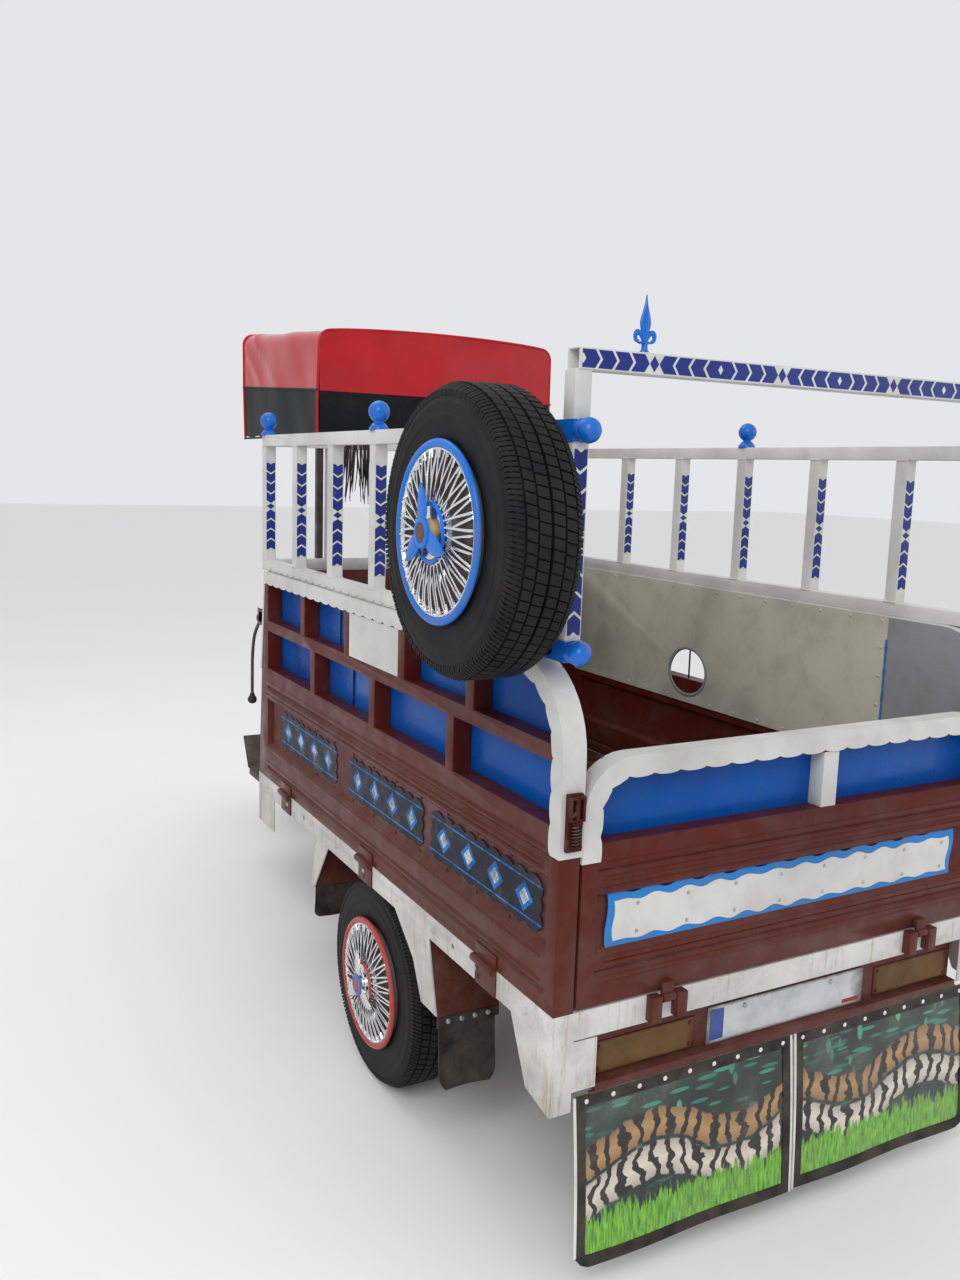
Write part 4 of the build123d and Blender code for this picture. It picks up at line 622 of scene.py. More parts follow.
def plastic(name, colour, roughness=0.22, grain=120.0):
    g = Graph(name, coat=0.15)
    final = g.mix(g.noise(7.0, 4).ramp(0.4, 0.7), colour, tint(colour, 0.8))
    final = g.mix(g.noise(26.0, 7, 0.7).ramp(0.55, 0.75) * 0.35, final, DUST)
    gloss = g.noise(18.0, 5).ramp(0.3, 0.7, roughness * 0.7, roughness * 1.8)
    return g.end(final, gloss, g.bump(g.noise(grain, 2), 0.08, 0.0004))


def metal(name, colour, roughness=0.15, grime=0.4, brushed=(1, 1, 1), bumps=0.06):
    """Chrome, alloy or bare steel with fingerprints, pits and dust."""
    g = Graph(name)
    final = g.mix(g.noise(11.0, 7, 0.6).ramp(0.42, 0.75) * grime, colour, tint(colour, 0.45))
    spots = g.noise(70.0, 5, 0.7).ramp(0.68, 0.74)
    final = g.mix(spots * grime, final, RUST)
    gloss = g.noise(16.0, 6).ramp(0.3, 0.75, roughness, min(1, roughness * 2.4))
    normal = g.bump(g.noise(60.0, 3, stretch=brushed), bumps, 0.0005)
    return g.end(final, gloss, normal, Metallic=spots.ramp(0, 1, 1.0, 1 - grime))


def cast(name, colour, roughness=0.6, metallic=0.3):
    g = Graph(name, metallic=metallic)
    final, _ = weathered(g, colour, 0.5, 0.6, 0.7)
    skin = g.bump(g.noise(160.0, 3) + g.noise(25.0, 6) * 1.5, 0.45, 0.0008)
    return g.end(final, g.noise(12.0, 5).ramp(0.3, 0.7, roughness * 0.8, roughness * 1.2), skin)


def rubber(name, colour, dust=0.5, roughness=0.72, grain=70.0):
    g = Graph(name, specular=0.2)
    worn = g.mix(g.noise(6.0, 6).ramp(0.35, 0.7), colour, tint(colour, 1.7))
    film = g.noise(13.0, 8, 0.7, warp=0.4).ramp(0.38, 0.72) * dust
    skin = g.bump(g.noise(grain, 5) + g.noise(10.0, 4) * 0.7, 0.3, 0.001)
    return g.end(g.mix(film, worn, (0.17, 0.145, 0.115)), film.ramp(0, 0.5, roughness, 0.95), skin)


def vinyl(name, colour, roughness, grain, dust, gloss):
    """Coated cloth with a fine pebbled grain, soft creases and a shine."""
    g = Graph(name, coat=gloss * 0.3, specular=gloss)
    faded = g.mix(g.noise(2.6, 5).ramp(0.35, 0.7), colour, tint(colour, 0.7))
    film = g.noise(6.0, 8, 0.68, warp=0.5).ramp(0.48, 0.75) * dust
    cells = g.node("ShaderNodeTexVoronoi", {"Vector": g.place, "Scale": grain}, "Distance")
    creases = g.bump(g.noise(5.0, 5, 0.6, stretch=(1, 1, 2.2), warp=0.9), 0.1, 0.012)
    normal = g.bump(cells, 0.12, 0.0005, creases)
    return g.end(g.mix(film, faded, DUST), film.ramp(0, 0.4, roughness, 0.6), normal)


def glass(name, colour, roughness=0.08):
    g = Graph(name, coat=0.5)
    inputs = {"Vector": g.place, "Scale": 55.0, "Distortion": 0.3}
    ribs = g.node("ShaderNodeTexWave", inputs, "Fac", bands_direction="Y")
    final = g.mix(g.noise(30.0, 6).ramp(0.5, 0.8, 0, 0.4), colour, DUST)
    return g.end(final, roughness, g.bump(ribs, 0.4, 0.002), Metallic=0.35)


def plate(name, colour, edge, roughness=0.35, metallic=0.0):
    """A blank pressed plate: uneven ground, worn patches and dark marks near its edges by UV."""
    g = Graph(name, metallic=metallic)
    # rim grows towards the plate's edges, where the edge colour paints shade
    rim = g.math("MAXIMUM", abs(g.axis("X", g.uv) - 0.5), abs(g.axis("Y", g.uv) - 0.5))
    rim = rim + (g.noise(22.0, 6, 0.7) - 0.5) * 0.14
    final = g.mix(g.noise(15.0, 8, 0.7).ramp(0.45, 0.72) * 0.6, colour, tint(colour, 0.55))
    gloss = g.noise(20.0, 5).ramp(0.3, 0.7, roughness * 0.8, roughness * 1.7)
    return g.end(g.mix(rim.ramp(0.42, 0.5), final, edge), gloss, g.bump(g.noise(35.0, 5), 0.25, 0.001))


def chevrons(name, ground, mark):
    """Tape with broad bars that point at a diamond from both sides; U crosses it, V counts repeats."""
    g = Graph(name, coat=0.12)
    across = abs(g.axis("X", g.uv))
    reach = abs(g.axis("Y", g.uv).fract() - 0.5) * 2.0
    level = reach - across * 0.075
    cell = ((level - 0.07) * 4.32).fract()
    bar = cell.ramp(0.865, 0.845) * cell.ramp(0.0, 0.015) * level.ramp(0.065, 0.075)
    gem = (reach * 12.5 + across).ramp(0.86, 0.80)
    wear = g.noise(60.0, 6, 0.7).ramp(0.66, 0.74) * 0.6
    mask = g.math("MAXIMUM", bar, gem) * across.ramp(0.92, 0.88) * (1.0 - wear)
    base = g.mix(g.noise(12.0, 6).ramp(0.4, 0.75, 0, 0.4), ground, DUST)
    ink = g.mix(g.noise(18.0, 5).ramp(0.35, 0.7), mark, tint(mark, 0.7))
    gloss = g.noise(22.0, 5).ramp(0.3, 0.7, 0.2, 0.4)
    return g.end(g.mix(mask, base, ink), gloss, g.bump(mask, 0.1, 0.0003))


def gate_panel(name, ground, mark, line):
    """A dark painted panel with a row of diamonds between stripes; U runs along it, V up it."""
    g = Graph(name, specular=0.12)
    cell = abs((g.axis("X", g.uv) * 4.0).fract() - 0.5)
    rise = abs(g.axis("Y", g.uv) - 0.5)
    away = cell * 1.15 + rise
    wear = g.noise(34.0, 8, 0.75).ramp(0.42, 0.60, 0.25, 1.0)
    final = g.mix(g.noise(8.0, 6).ramp(0.4, 0.7), ground, tint(ground, 0.5))
    final = g.mix(away.ramp(0.34, 0.325) * wear, final, mark)
    final = g.mix(away.ramp(0.20, 0.185) * wear, final, line)
    final = g.mix(abs(rise - 0.40).ramp(0.022, 0.016) * wear, final, mark)
    final = g.mix(g.noise(16.0, 8, 0.7).ramp(0.55, 0.8, 0, 0.5), final, DUST)
    gloss = g.noise(20.0, 5).ramp(0.3, 0.7, 0.25, 0.5)
    return g.end(final, gloss, g.bump(g.noise(45.0, 5), 0.2, 0.0008))


def flap_print(name):
    """A glossy printed mud flap: dark leaves above, striped bands between, bright grass below."""
    g = Graph(name, coat=0.6)
    u, v = g.axis("X", g.uv), g.axis("Y", g.uv)
    colour = g.mix(g.noise(9.0, 6).ramp(0.4, 0.65), (0.008, 0.014, 0.012), (0.02, 0.05, 0.035))
    for scale, stretch, turn, low, high, area, dark, bright in (
        (7.0, (1.0, 3.4, 1), 0.6, 0.28, 0.36, v.ramp(0.28, 0.5), (0.01, 0.07, 0.055), (0.03, 0.26, 0.17)),
        (
            5.0, (3.6, 1.0, 1), 0.5, 0.22, 0.30,
            v.ramp(0.55, 0.72) * u.ramp(0.35, 0.75), (0.02, 0.12, 0.10), (0.10, 0.42, 0.24),
        ),
    ):
        inputs = {"Vector": g.uv, "Rotation": (0, 0, turn), "Scale": stretch}
        inputs = {"Vector": g.node("ShaderNodeMapping", inputs), "Scale": scale, "Randomness": 0.9}
        shape, chance = g.node("ShaderNodeTexVoronoi", inputs, ("Distance", "Color"))
        leaf = g.mix(g.axis("X", chance), dark, bright)
        colour = g.mix(shape.ramp(high, low) * area, colour, leaf)
    sway = g.math("SINE", u * 7.5) * 0.09
    lane = v - 0.50 - sway + (g.noise(3.0, 4, source=g.uv) - 0.5) * 0.16
    inputs = {"Vector": g.uv, "Scale": 4.6, "Distortion": 7.0, "Detail": 3.0, "Detail Scale": 1.4}
    for centre, width, pale in ((0.13, 0.095, (0.42, 0.24, 0.10)), (-0.085, 0.105, (0.70, 0.62, 0.52))):
        away = abs(lane - centre)
        wave = g.node("ShaderNodeTexWave", inputs, "Fac", bands_direction="X")
        skin = g.mix(away.ramp(0.0, width), pale, tint(pale, 0.55))
        skin = g.mix(wave.ramp(0.30, 0.42), (0.012, 0.01, 0.01), skin)
        colour = g.mix(away.ramp(width, width - 0.012), colour, skin)
    blades = g.noise(5.0, 5, 0.6, stretch=(11, 1.1, 1), source=g.uv, warp=0.3)
    grass = (0.08 + blades * 0.42 - v).ramp(-0.015, 0.02)
    tone = g.noise(4.0, 5, 0.7, stretch=(22, 2, 1), source=g.uv)
    colour = g.mix(grass, colour, g.mix(tone.ramp(0.35, 0.65), (0.02, 0.16, 0.015), (0.24, 0.58, 0.04)))
    film = g.noise(9.0, 8, 0.7, warp=0.5).ramp(0.50, 0.78) * 0.45
    normal = g.bump(g.noise(6.0, 4), 0.3, 0.01)
    return g.end(g.mix(film, colour, DUST), film.ramp(0, 0.45, 0.16, 0.5), normal)


def floor_finish(name):
    g = Graph(name)
    final = g.mix(g.noise(1.5, 4), (0.87, 0.87, 0.87), (0.90, 0.90, 0.90))
    return g.end(final, g.noise(5.0, 4).ramp(0.3, 0.7, 0.7, 0.85), g.bump(g.noise(30.0, 3), 0.04, 0.001))


# Each finish: what makes it, its colour or the setting that holds it, and the maker's other values
RECIPES = {
    "maroon": (paint, "body_colour", 0.34, 0.15, 0.13, 0.35, 0.3, 0.28),
    # maroon_inside: a darker, dirtier copy of the gate paint; its darkness is painted shade on the bed floor
    # and the latch plates
    "maroon_inside": (paint, ("body_colour", 0.7), 0.5, 0.05, 0.5, 0.4, 0.3),
    "white": (paint, "trim_colour", 0.36, 0.15, 0.22, 0.35, 0.5, 0.3),
    "white_rusty": (streaked, "trim_colour"),
    "blue_sheet": (paint, "sheet_colour", 0.26, 0.15, 0.05, 0.10, 0.2, 0.1),
    "blue_plastic": (plastic, "finial_colour"),
    "blue_border": (paint, (0.01, 0.22, 0.62), 0.3, 0.3, 0.3, 0.2),
    "navy": (paint, (0.008, 0.014, 0.06), 0.32, 0.3, 0.3, 0.2),
    "cream": (paint, (0.50, 0.50, 0.41), 0.5, 0.05, 0.42, 0.75, 0.25, 0.3),
    "grey_sheet": (paint, (0.27, 0.28, 0.29), 0.5, 0.0, 0.5, 0.55, 0.4),
    "sealant": (plastic, (0.03, 0.16, 0.42), 0.5),
    "chassis": (paint, (0.022, 0.02, 0.02), 0.5, 0.05, 0.5, 0.5, 0.3, 0.9),
    "tank": (paint, (0.34, 0.016, 0.018), 0.2, 0.6, 0.25, 0.1, 0.1, 0.3),
    "red_ring": (paint, (0.50, 0.02, 0.018), 0.25, 0.4, 0.35, 0.2, 0.1),
    "blue_ring": (paint, (0.01, 0.16, 0.62), 0.25, 0.4, 0.35, 0.2, 0.1),
    "tan_ring": (plastic, (0.42, 0.27, 0.12), 0.4),
    "brown_cap": (plastic, (0.12, 0.045, 0.025), 0.45),
    "rim": (paint, (0.28, 0.28, 0.29), 0.42, 0.1, 0.5, 0.5, 0.2, 0.6, 0.3),
    "plate_band": (paint, (0.02, 0.10, 0.42), 0.35, 0.1, 0.3, 0.1),
    "plate_red": (paint, (0.42, 0.03, 0.02), 0.35, 0.1, 0.3, 0.1),
    # each plate's second colour is painted shade near its edges
    "brass_plate": (plate, (0.15, 0.085, 0.030), (0.10, 0.025, 0.02), 0.34, 0.6),
    "number_plate": (plate, (0.55, 0.57, 0.58), (0.16, 0.15, 0.15), 0.4),
    "chrome": (metal, (0.78, 0.78, 0.80), 0.09, 0.35),
    "steel": (metal, (0.52, 0.51, 0.49), 0.3, 0.6, (1, 14, 1), 0.15),
    "hot_steel": (metal, (0.36, 0.31, 0.27), 0.36, 0.75, (12, 1, 1), 0.2),
    "dark_steel": (metal, (0.13, 0.11, 0.10), 0.4, 0.8, (1, 1, 1), 0.25),
    "alloy": (cast, (0.34, 0.34, 0.35), 0.45, 0.75),
    "iron": (cast, (0.045, 0.04, 0.036), 0.62, 0.3),
    "tyre": (rubber, (0.004, 0.004, 0.005), 0.08, 0.62, 60.0),
    "black_rubber": (rubber, (0.012, 0.011, 0.011), 0.45, 0.55, 30.0),
    "grip": (rubber, (0.018, 0.018, 0.018), 0.2, 0.6, 300.0),
    "fringe": (rubber, (0.015, 0.014, 0.016), 0.3, 0.8, 400.0),
    "canopy": (vinyl, "canopy_colour", 0.17, 240.0, 0.06, 0.26),
    "canopy_black": (vinyl, (0.006, 0.007, 0.009), 0.5, 240.0, 0.06, 0.12),
    "seat": (vinyl, (0.014, 0.013, 0.014), 0.36, 420.0, 0.22, 0.3),
    "piping": (plastic, (0.72, 0.71, 0.68), 0.4),
    "lens": (glass, (0.62, 0.66, 0.68)),
    "tape": (chevrons, (0.62, 0.63, 0.62), (0.004, 0.022, 0.20)),
    "panel": (gate_panel, (0.012, 0.015, 0.028), (0.004, 0.20, 0.62), (0.55, 0.56, 0.54)),
    "flap_print": (flap_print,),
    "studio_floor": (floor_finish,),
}
FINISHES = {}


def colour_of(value):
    """A colour as it is, by its setting's name, or by that name with a share to darken it."""
    if isinstance(value, str):
        return tuple(getattr(settings(), value))
    if isinstance(value, tuple) and isinstance(value[0], str):
        return tint(colour_of(value[0]), value[1])
    return value


def finish(name):
    """The material of that name, made the first time that it is asked for."""
    if name not in FINISHES:
        maker, *values = RECIPES[name]
        FINISHES[name] = maker(name, *map(colour_of, values))
    return FINISHES[name]


# Wheels

TREAD_DEPTH = 0.0055
TREAD_ROWS = (  # share of the half width from and to, share of the pitch, shift along it, drop
    (0.04, 0.33, 0.90, 0.0, 0.0),
    (0.38, 0.64, 0.88, 0.45, 0.0008),
    (0.69, 0.93, 0.36, 0.05, 0.0035),
    (0.69, 0.93, 0.36, 0.55, 0.0035),
)
WHEELS = (
    ("left", "rear_{}_left", "rear_wheel_left", 1),
    ("right", "rear_{}_right", "rear_wheel_right", -1),
    ("steered", "front_{}", "front_wheel", 1),
    ("spare_wheel", "spare_{}", "chassis", 1),
)


def tread_unit(reach, half, crown, pitch):
    """One pitch of the tread's blocks and shoulder ribs, at the top of a wheel about the origin."""
    mesh = bmesh.new()
    for side in SIDES:
        for inner, outer, share, shift, drop in TREAD_ROWS:
            a, b, lean = half * inner * side, half * outer * side, pitch * 0.25 * side
            top, base, along = reach - drop, crown - 0.006 - drop * 2, pitch * shift * side
            edge = top - (0.012 if inner > 0.6 else 0.0006)
            rings = []
            for inset, tuck, z, outer_z in (
                (0, 0, base, base - 0.01),
                (0.0003, 0, top - 0.0008, edge - 0.0008),
                (0.0013, 0.0012, top, edge),
            ):
                w, tuck = pitch * share / 2 - inset, tuck * side
                ring = [(along - w, a + tuck, z), (along + w, a + tuck, z)]
                rings.append(ring + [(x + lean, b - tuck, outer_z) for x in (along + w, along - w)])
            add_rings(mesh, rings)
        rib = half * 0.945 * side
        foot = rectangle((-0.003, 0.003), (rib - 0.006 * side, rib))
        head = rectangle((-0.004, 0.004), (rib - 0.010 * side, rib - 0.004 * side))
        add_rings(mesh, [[(x, y, reach * 0.875) for x, y in foot], [(x, y, reach * 0.912) for x, y in head]])
    return mesh


def tyre(name, node, body):
    """A tyre with ribbed walls and rows of tread blocks, in place of a CAD tyre."""
    low, high = node_box(node)
    centre = (low + high) / 2
    reach, half = (high.z - low.z) / 2, (high.y - low.y) / 2
    bead, crown = reach * 0.545, reach - TREAD_DEPTH
    wall = (
        (0.66, bead - 0.006), (0.80, bead), (0.90, bead + 0.012), (0.91, bead + 0.016),
        (0.955, bead + 0.028), (0.985, (bead + reach) * 0.492), (0.995, (bead + reach) * 0.494),
        (0.995, (bead + reach) * 0.508), (0.985, (bead + reach) * 0.510), (0.97, reach * 0.845),
        (0.975, reach * 0.85), (0.96, reach * 0.87), (0.95, reach * 0.872), (0.90, reach * 0.915),
        (0.83, crown - 0.006), (0.60, crown - 0.001), (0.045, crown), (0.03, crown - 0.004),
    )
    profile = [(half * share, radius) for share, radius in wall]
    profile += [(-along, radius) for along, radius in reversed(profile)]
    mesh = bmesh.new()
    add_lathe(mesh, profile, centre, "y", 120, closed=True)
    blocks = settings().tread_blocks
    unit = tread_unit(reach, half, crown, 2 * math.pi * reach / blocks)
    parts = [part(name, mesh, "tyre"), ring_of("tread", unit, "tyre", blocks, centre)]
    joined(name, parts, body, (node,), 35)


def wheels():
    """The treaded tyres of all four wheels."""
    for name, node, body, _ in WHEELS:
        tyre(name + "_tyre", node.format("tyre"), body)


def rims():
    """The pressed wheels from their CAD copies, and the steered wheel's nuts."""
    for name, node, body, _ in WHEELS:
        dressed_copy(node.format("rim"), "rim", body, 0.0012, 35, 1)
        if name == "steered":
            middle, face = node_centre("front_rim"), node_box("front_rim")[1].y
            unit = raised(nut(0.0085, 0.010), 0.042)
            studs = ring_of("steered_rim_studs", unit, "steel", 5, (middle.x, face, middle.z))
            settle(studs, body)


def wire_hubcap(name, node, body, side, ring):
    """Crossed wire spokes between a rolled ring and a cup, with a three-eared spinner."""
    low, high = node_box(node)
    centre = (low + high) / 2
    reach, height = (high.x - low.x) / 2, high.y - low.y
    hub = Vector((centre.x, low.y if side > 0 else high.y, centre.z))
    blue = ring == "blue_ring"

    def turned(label, material, angle, *lathes, replaces=()):
        mesh = bmesh.new()
        for segments, closed, profile in lathes:
            add_lathe(mesh, [(side * along, radius) for along, radius in profile], hub, "y", segments, closed)
        piece(f"{name}_{label}", mesh, material, body, replaces, angle=angle)

    def shares(profile, along):
        return [(along * a, reach * r) for a, r in profile]

    dish = ((0.0, 0.90), (0.001, 0.91), (0.0065, 0.905), (0.0065, 0.885), (0.002, 0.865))
    dish = shares(dish + ((0.0012, 0.84), (0.0012, 0.30), (0.010, 0.26)), 1) + [(0.014, 0.012)]
    turned("dish", "chrome", 30, (72, False, dish), replaces=(node,))
    shadow = shares(((0.0016, 0.835), (0.0022, 0.83), (0.0022, 0.31), (0.0016, 0.30)), 1)
    turned("shadow", "dark_steel", 38, (60, True, shadow))
    outer = ((0.0, 0.905), (0.001, 0.998), (0.0045, 1.003), (0.0090, 0.985), (0.0108, 0.955))
    outer = shares(outer + ((0.0095, 0.925), (0.0060, 0.905)), 1)
    section = ((-0.004, -0.5), (0, -0.35), (0.0012, 0), (0, 0.35), (-0.004, 0.5))
    inner = [(height * 0.50 + rise, reach * 0.315 + 0.010 * r) for rise, r in section]
    turned("rings", ring, 50, (72, True, outer), (64, True, inner))
    spokes, count = [], 30
    for layer, (skew, inner, rise) in enumerate(((0.13, 0.33, 0.30), (-0.13, 0.35, 0.42))):
        unit = bmesh.new()
        a = Vector((math.sin(skew) * reach * 0.89, side * 0.006, math.cos(skew) * reach * 0.89))
        b = Vector((0, side * height * rise, reach * inner))
        middle = (a + b) / 2 + Vector((0, side * 0.002, 0))
        add_tube(unit, [a, middle, b], [0.0030, 0.0026, 0.0021], 6)
        add_tube(unit, [a, a + (b - a).normalized() * 0.016], 0.0032, 6)
        spokes.append(ring_of("spokes", unit, "chrome", count, hub, layer * math.pi / count))
    joined(name + "_spokes", spokes, body, angle=60)

    def solid(label, material, angle, segments, *profile):
        turned(label, material, angle, (segments, False, shares(profile, height)))

    cup = ((0.002, 0.37), (0.30, 0.355), (0.36, 0.33), (0.38, 0.30), (0.46, 0.285), (0.48, 0.25))
    solid("cup", "chrome", 30, 48, *cup, (0.48, 0.01))
    barrel = ((0.44, 0.165), (0.50, 0.155), (0.68, 0.150), (0.80, 0.165), (0.80, 0.01))
    solid("barrel", "tan_ring" if blue else "chrome", 40, 32, *barrel)
    outline = ((-0.06, 0.08), (-0.115, 0.20), (-0.12, 0.31), (-0.075, 0.43), (-0.012, 0.53), (0.012, 0.53))
    outline += ((0.062, 0.43), (0.090, 0.31), (0.085, 0.20), (0.06, 0.08))
    rings = []
    for lift, share in ((0.78, 0.90), (0.81, 1.0), (0.88, 1.0), (0.91, 0.88)):
        shape = [(u * share, lift - 0.10 * v, 0.28 + (v - 0.28) * share) for u, v in outline]
        rings.append([(reach * u, side * height * w, reach * v) for u, w, v in shape])
    ear = bmesh.new()
    add_rings(ear, rings)
    ears = ring_of(name + "_ears", ear, ring if blue else "chrome", 3, hub, 0.15)
    settle(ears, body, angle=40)
    boss = ((0.78, 0.15), (0.80, 0.17), (0.94, 0.165), (0.99, 0.145), (0.99, 0.115), (0.95, 0.11))
    solid("boss", "blue_ring", 40, 32, *boss)
    cap = ((0.93, 0.112), (0.965, 0.105), (0.985, 0.06), (0.99, 0.005))
    solid("cap", "brown_cap" if blue else "red_ring", 60, 24, *cap)


def hubcaps():
    """The wire hubcaps of the rear wheels and of the spare wheel."""
    for name, node, body, side in WHEELS:
        if name != "steered":
            ring = "blue_ring" if name == "spare_wheel" else "red_ring"
            wire_hubcap(name + "_hubcap", node.format("hubcap"), body, side, ring)


# Load bed


def rows_piece(name, rows, body="chassis"):
    """A piece of rows of heads; each row holds the values of one row_of call."""
    joined(name, [row_of(*row) for row in rows], body)


def gate_path():
    """A side gate's upper edge, from its rear edge over the round corner to its front."""
    low, corner = GATE_BOTTOM + 0.3235, GATE_TOP - GATE_ROUND
    end = BED_LENGTH - GATE_LEAN - 0.003
    path = [Vector((0, low + (corner - low) * i / 3)) for i in range(3)]
    path += arc(GATE_ROUND, corner, GATE_ROUND, 180, 90, 10)
    return path + [Vector((GATE_ROUND + (end - GATE_ROUND) * i / 24, GATE_TOP)) for i in range(1, 25)]


def scallop(length, pitch, depth):
    """The depth of a scalloped edge at a length along it: round lobes with sharp notches."""
    return depth * math.sqrt(max(0.0, 1 - (2 * abs((length / pitch) % 1 - 0.5)) ** 2.2))


def add_trim(mesh, path, outer, inner, width, depth, pitch, axis):
    """Channel trim over a sheet's edge: a scalloped outer flange, a web and a short inner flange."""
    wrap, tail = 0.003, 0.012
    skin = 0.0016 if outer > inner else -0.0016
    evened = even_path(path, 0.0055)
    rings = []
    for i, (point, length) in enumerate(evened):
        ahead = evened[min(i + 1, len(evened) - 1)][0] - evened[max(i - 1, 0)][0]
        ahead.normalize()
        normal = Vector((-ahead.y, ahead.x))
        reach = width + scallop(length, pitch, depth)
        section = ((-reach, outer), (wrap, outer), (wrap, inner), (-tail, inner), (-tail, inner + skin))
        section += ((wrap * 0.3, inner + skin), (wrap * 0.3, outer - skin), (-reach, outer - skin))
        rings.append([on_axis(axis, w, *(point + normal * n)) for n, w in section])
    add_rings(mesh, rings)


def bed_trims():
    """Scalloped white trims on the side gates, the tailgate and under the side railings."""
    sizes = settings()
    width, depth = sizes.trim_width, sizes.scallop_depth
    mesh = bmesh.new()
    for side in SIDES:
        outer, inner = side * (HALF + 0.003), side * (INNER - 0.0025)
        add_trim(mesh, gate_path(), outer, inner, width, depth, sizes.scallop_pitch, "y")
        top, foot = (BED_LENGTH - GATE_LEAN, GATE_TOP), (BED_LENGTH - 0.022, GATE_TOP - 0.33)
        outline = [(top[0] - 0.012, top[1]), top, foot, (foot[0] - 0.012, foot[1])]
        add_prism(mesh, outline, "y", side * (HALF - 0.006), side * (HALF + 0.002))
    pitch = (BED_LENGTH - GATE_LEAN - 0.038) / 5
    x = 0.038 + 2 * pitch
    cell = (x + 0.0005, x + pitch - 0.0385), (WINDOW_SILLS[1] + 0.0005, WINDOW_HEADS[1] - 0.0005)
    add_box(mesh, cell[0], (HALF - 0.005, HALF - 0.0005), cell[1])
    piece("side_trims", mesh, "white", replaces=("gate_trims",), angle=25)
    mesh = bmesh.new()
    ends = [Vector((FIRST_POST + 0.022, 0)), Vector((LAST_POST + POST / 2 - 0.04, 0))]
    top = RAILING_LOW + 0.034
    for side in SIDES:
        y = side * (POST_Y + POST / 2 + 0.0012)
        rings = []
        for point, length in even_path(ends, 0.006):
            foot = RAILING_LOW + 0.014 - scallop(length, 0.058, 0.011)
            outline = ((-0.001, foot), (-0.001, top), (0.001, top), (0.001, foot))
            rings.append([(point.x, y + t, z) for t, z in outline])
        add_rings(mesh, rings, caps=False)
    piece("railing_trims", mesh, "white", angle=25)
    high, radius = node_box("tailgate")[1], 0.110
    path = [Vector((high.y, node_box("tailgate_trim")[0].z + 0.0005))]
    path += arc(high.y - radius, high.z - radius, radius, 0, 90, 8)
    path += [Vector((-p.x, p.y)) for p in reversed(path)]
    mesh = bmesh.new()
    add_trim(mesh, path[::-1], -0.003, 0.0425, width + 0.004, depth, 0.066, "x")
    piece("tailgate_scallops", mesh, "white", "tailgate", ("tailgate_trim",), angle=25)


def uneven_waves(amplitude, seed):
    """For waved_outline: waves of uneven height that die out at the corners."""
    chance = random.Random(seed)

    def wave(count):
        swing = [chance.uniform(0.5, 1.0) for _ in range(count + 1)]
        height = [amplitude * each for each in swing]
        fade = lambda t: min(1, 12 * t, 12 * (1 - t))
        return lambda t: math.sin(t * count * 2 * math.pi) * height[int(t * count)] * fade(t)

    return wave


def recess_plates():
    """The tailgate's white plate inside a blue border with a dark offset edge, in its sunk panel."""
    low, floor_x = node_box("tailgate")[0], 0.0162
    y, z = (-0.474, 0.508), (low.z + 0.1235, low.z + 0.2070)
    for name, material, slot, drop, reach, near, far in (
        # a navy sheet in the border's outline, dropped lower behind it: painted shadow
        ("recess_edge", "navy", "maroon_paint", 0.0035, 0.0165, 0.0022, 0.0),
        ("recess_border", "blue_border", "maroon_paint", 0.0, 0.0165, 0.0040, 0.0020),
        ("recess_plate", "white", "white_paint", 0.0, 0.0, 0.0058, 0.0038),
    ):
        mesh = bmesh.new()
        span = (y[0] - reach, y[1] + reach), (z[0] - drop - reach, z[1] - drop + reach)
        outline = waved_outline(*span, 0.083, 1, 8, uneven_waves(0.0055, 4))
        add_prism(mesh, outline, "x", floor_x - near, floor_x - far)
        piece(name, mesh, material, "tailgate")
    rows = []
    for h in (z[0] + 0.012, z[1] - 0.012):
        start = (floor_x - 0.0058, -0.45, h)
        rows.append((dome(0.0042, 0.0025, "-x"), "steel", 8, start, (0, 0.1286, 0)))
    rows_piece("recess_rivets", rows, "tailgate")


def bead(mesh, start, end):
    """A straight pressed bead, half sunk in its sheet, with tapered ends."""
    start, end = Vector(start), Vector(end)
    ahead = (end - start).normalized() * 0.022
    add_tube(mesh, [start, start + ahead, end - ahead, end], [0.001, 0.0065, 0.0065, 0.001], 14)


def pressed_beads():
    """Raised beads beside the creases and along the sunk bands of the gates and the tailgate."""
    mesh = bmesh.new()
    for side in SIDES:
        y = side * (HALF - 0.0025)
        for height in (0.055, 0.106, 0.286, 0.300, 0.330):
            z = GATE_BOTTOM + height
            bead(mesh, (0.045, y, z), (BED_LENGTH - 0.050, y, z))
    piece("gate_beads", mesh, "maroon", angle=60)
    low, high = node_box("tailgate")
    mesh = bmesh.new()
    for height in (0.053, 0.083, 0.095, 0.241, 0.263, 0.293):
        x, z = low.x + 0.0025, low.z + height
        bead(mesh, (x, low.y + 0.045, z), (x, high.y - 0.045, z))
    piece("tailgate_beads", mesh, "maroon", "tailgate", angle=60)


def even_lobes(count):
    """For waved_outline: equal round lobes with sharp notches."""
    return lambda t: 0.0095 * abs(math.sin(math.pi * t * count)) ** 0.7


def shares_of(u, v, place):
    """For set_uv: how far a corner lies along two spans."""

    def uv(point):
        return [(w - low) / (high - low) for w, (low, high) in zip(place(point), (u, v))]

    return uv


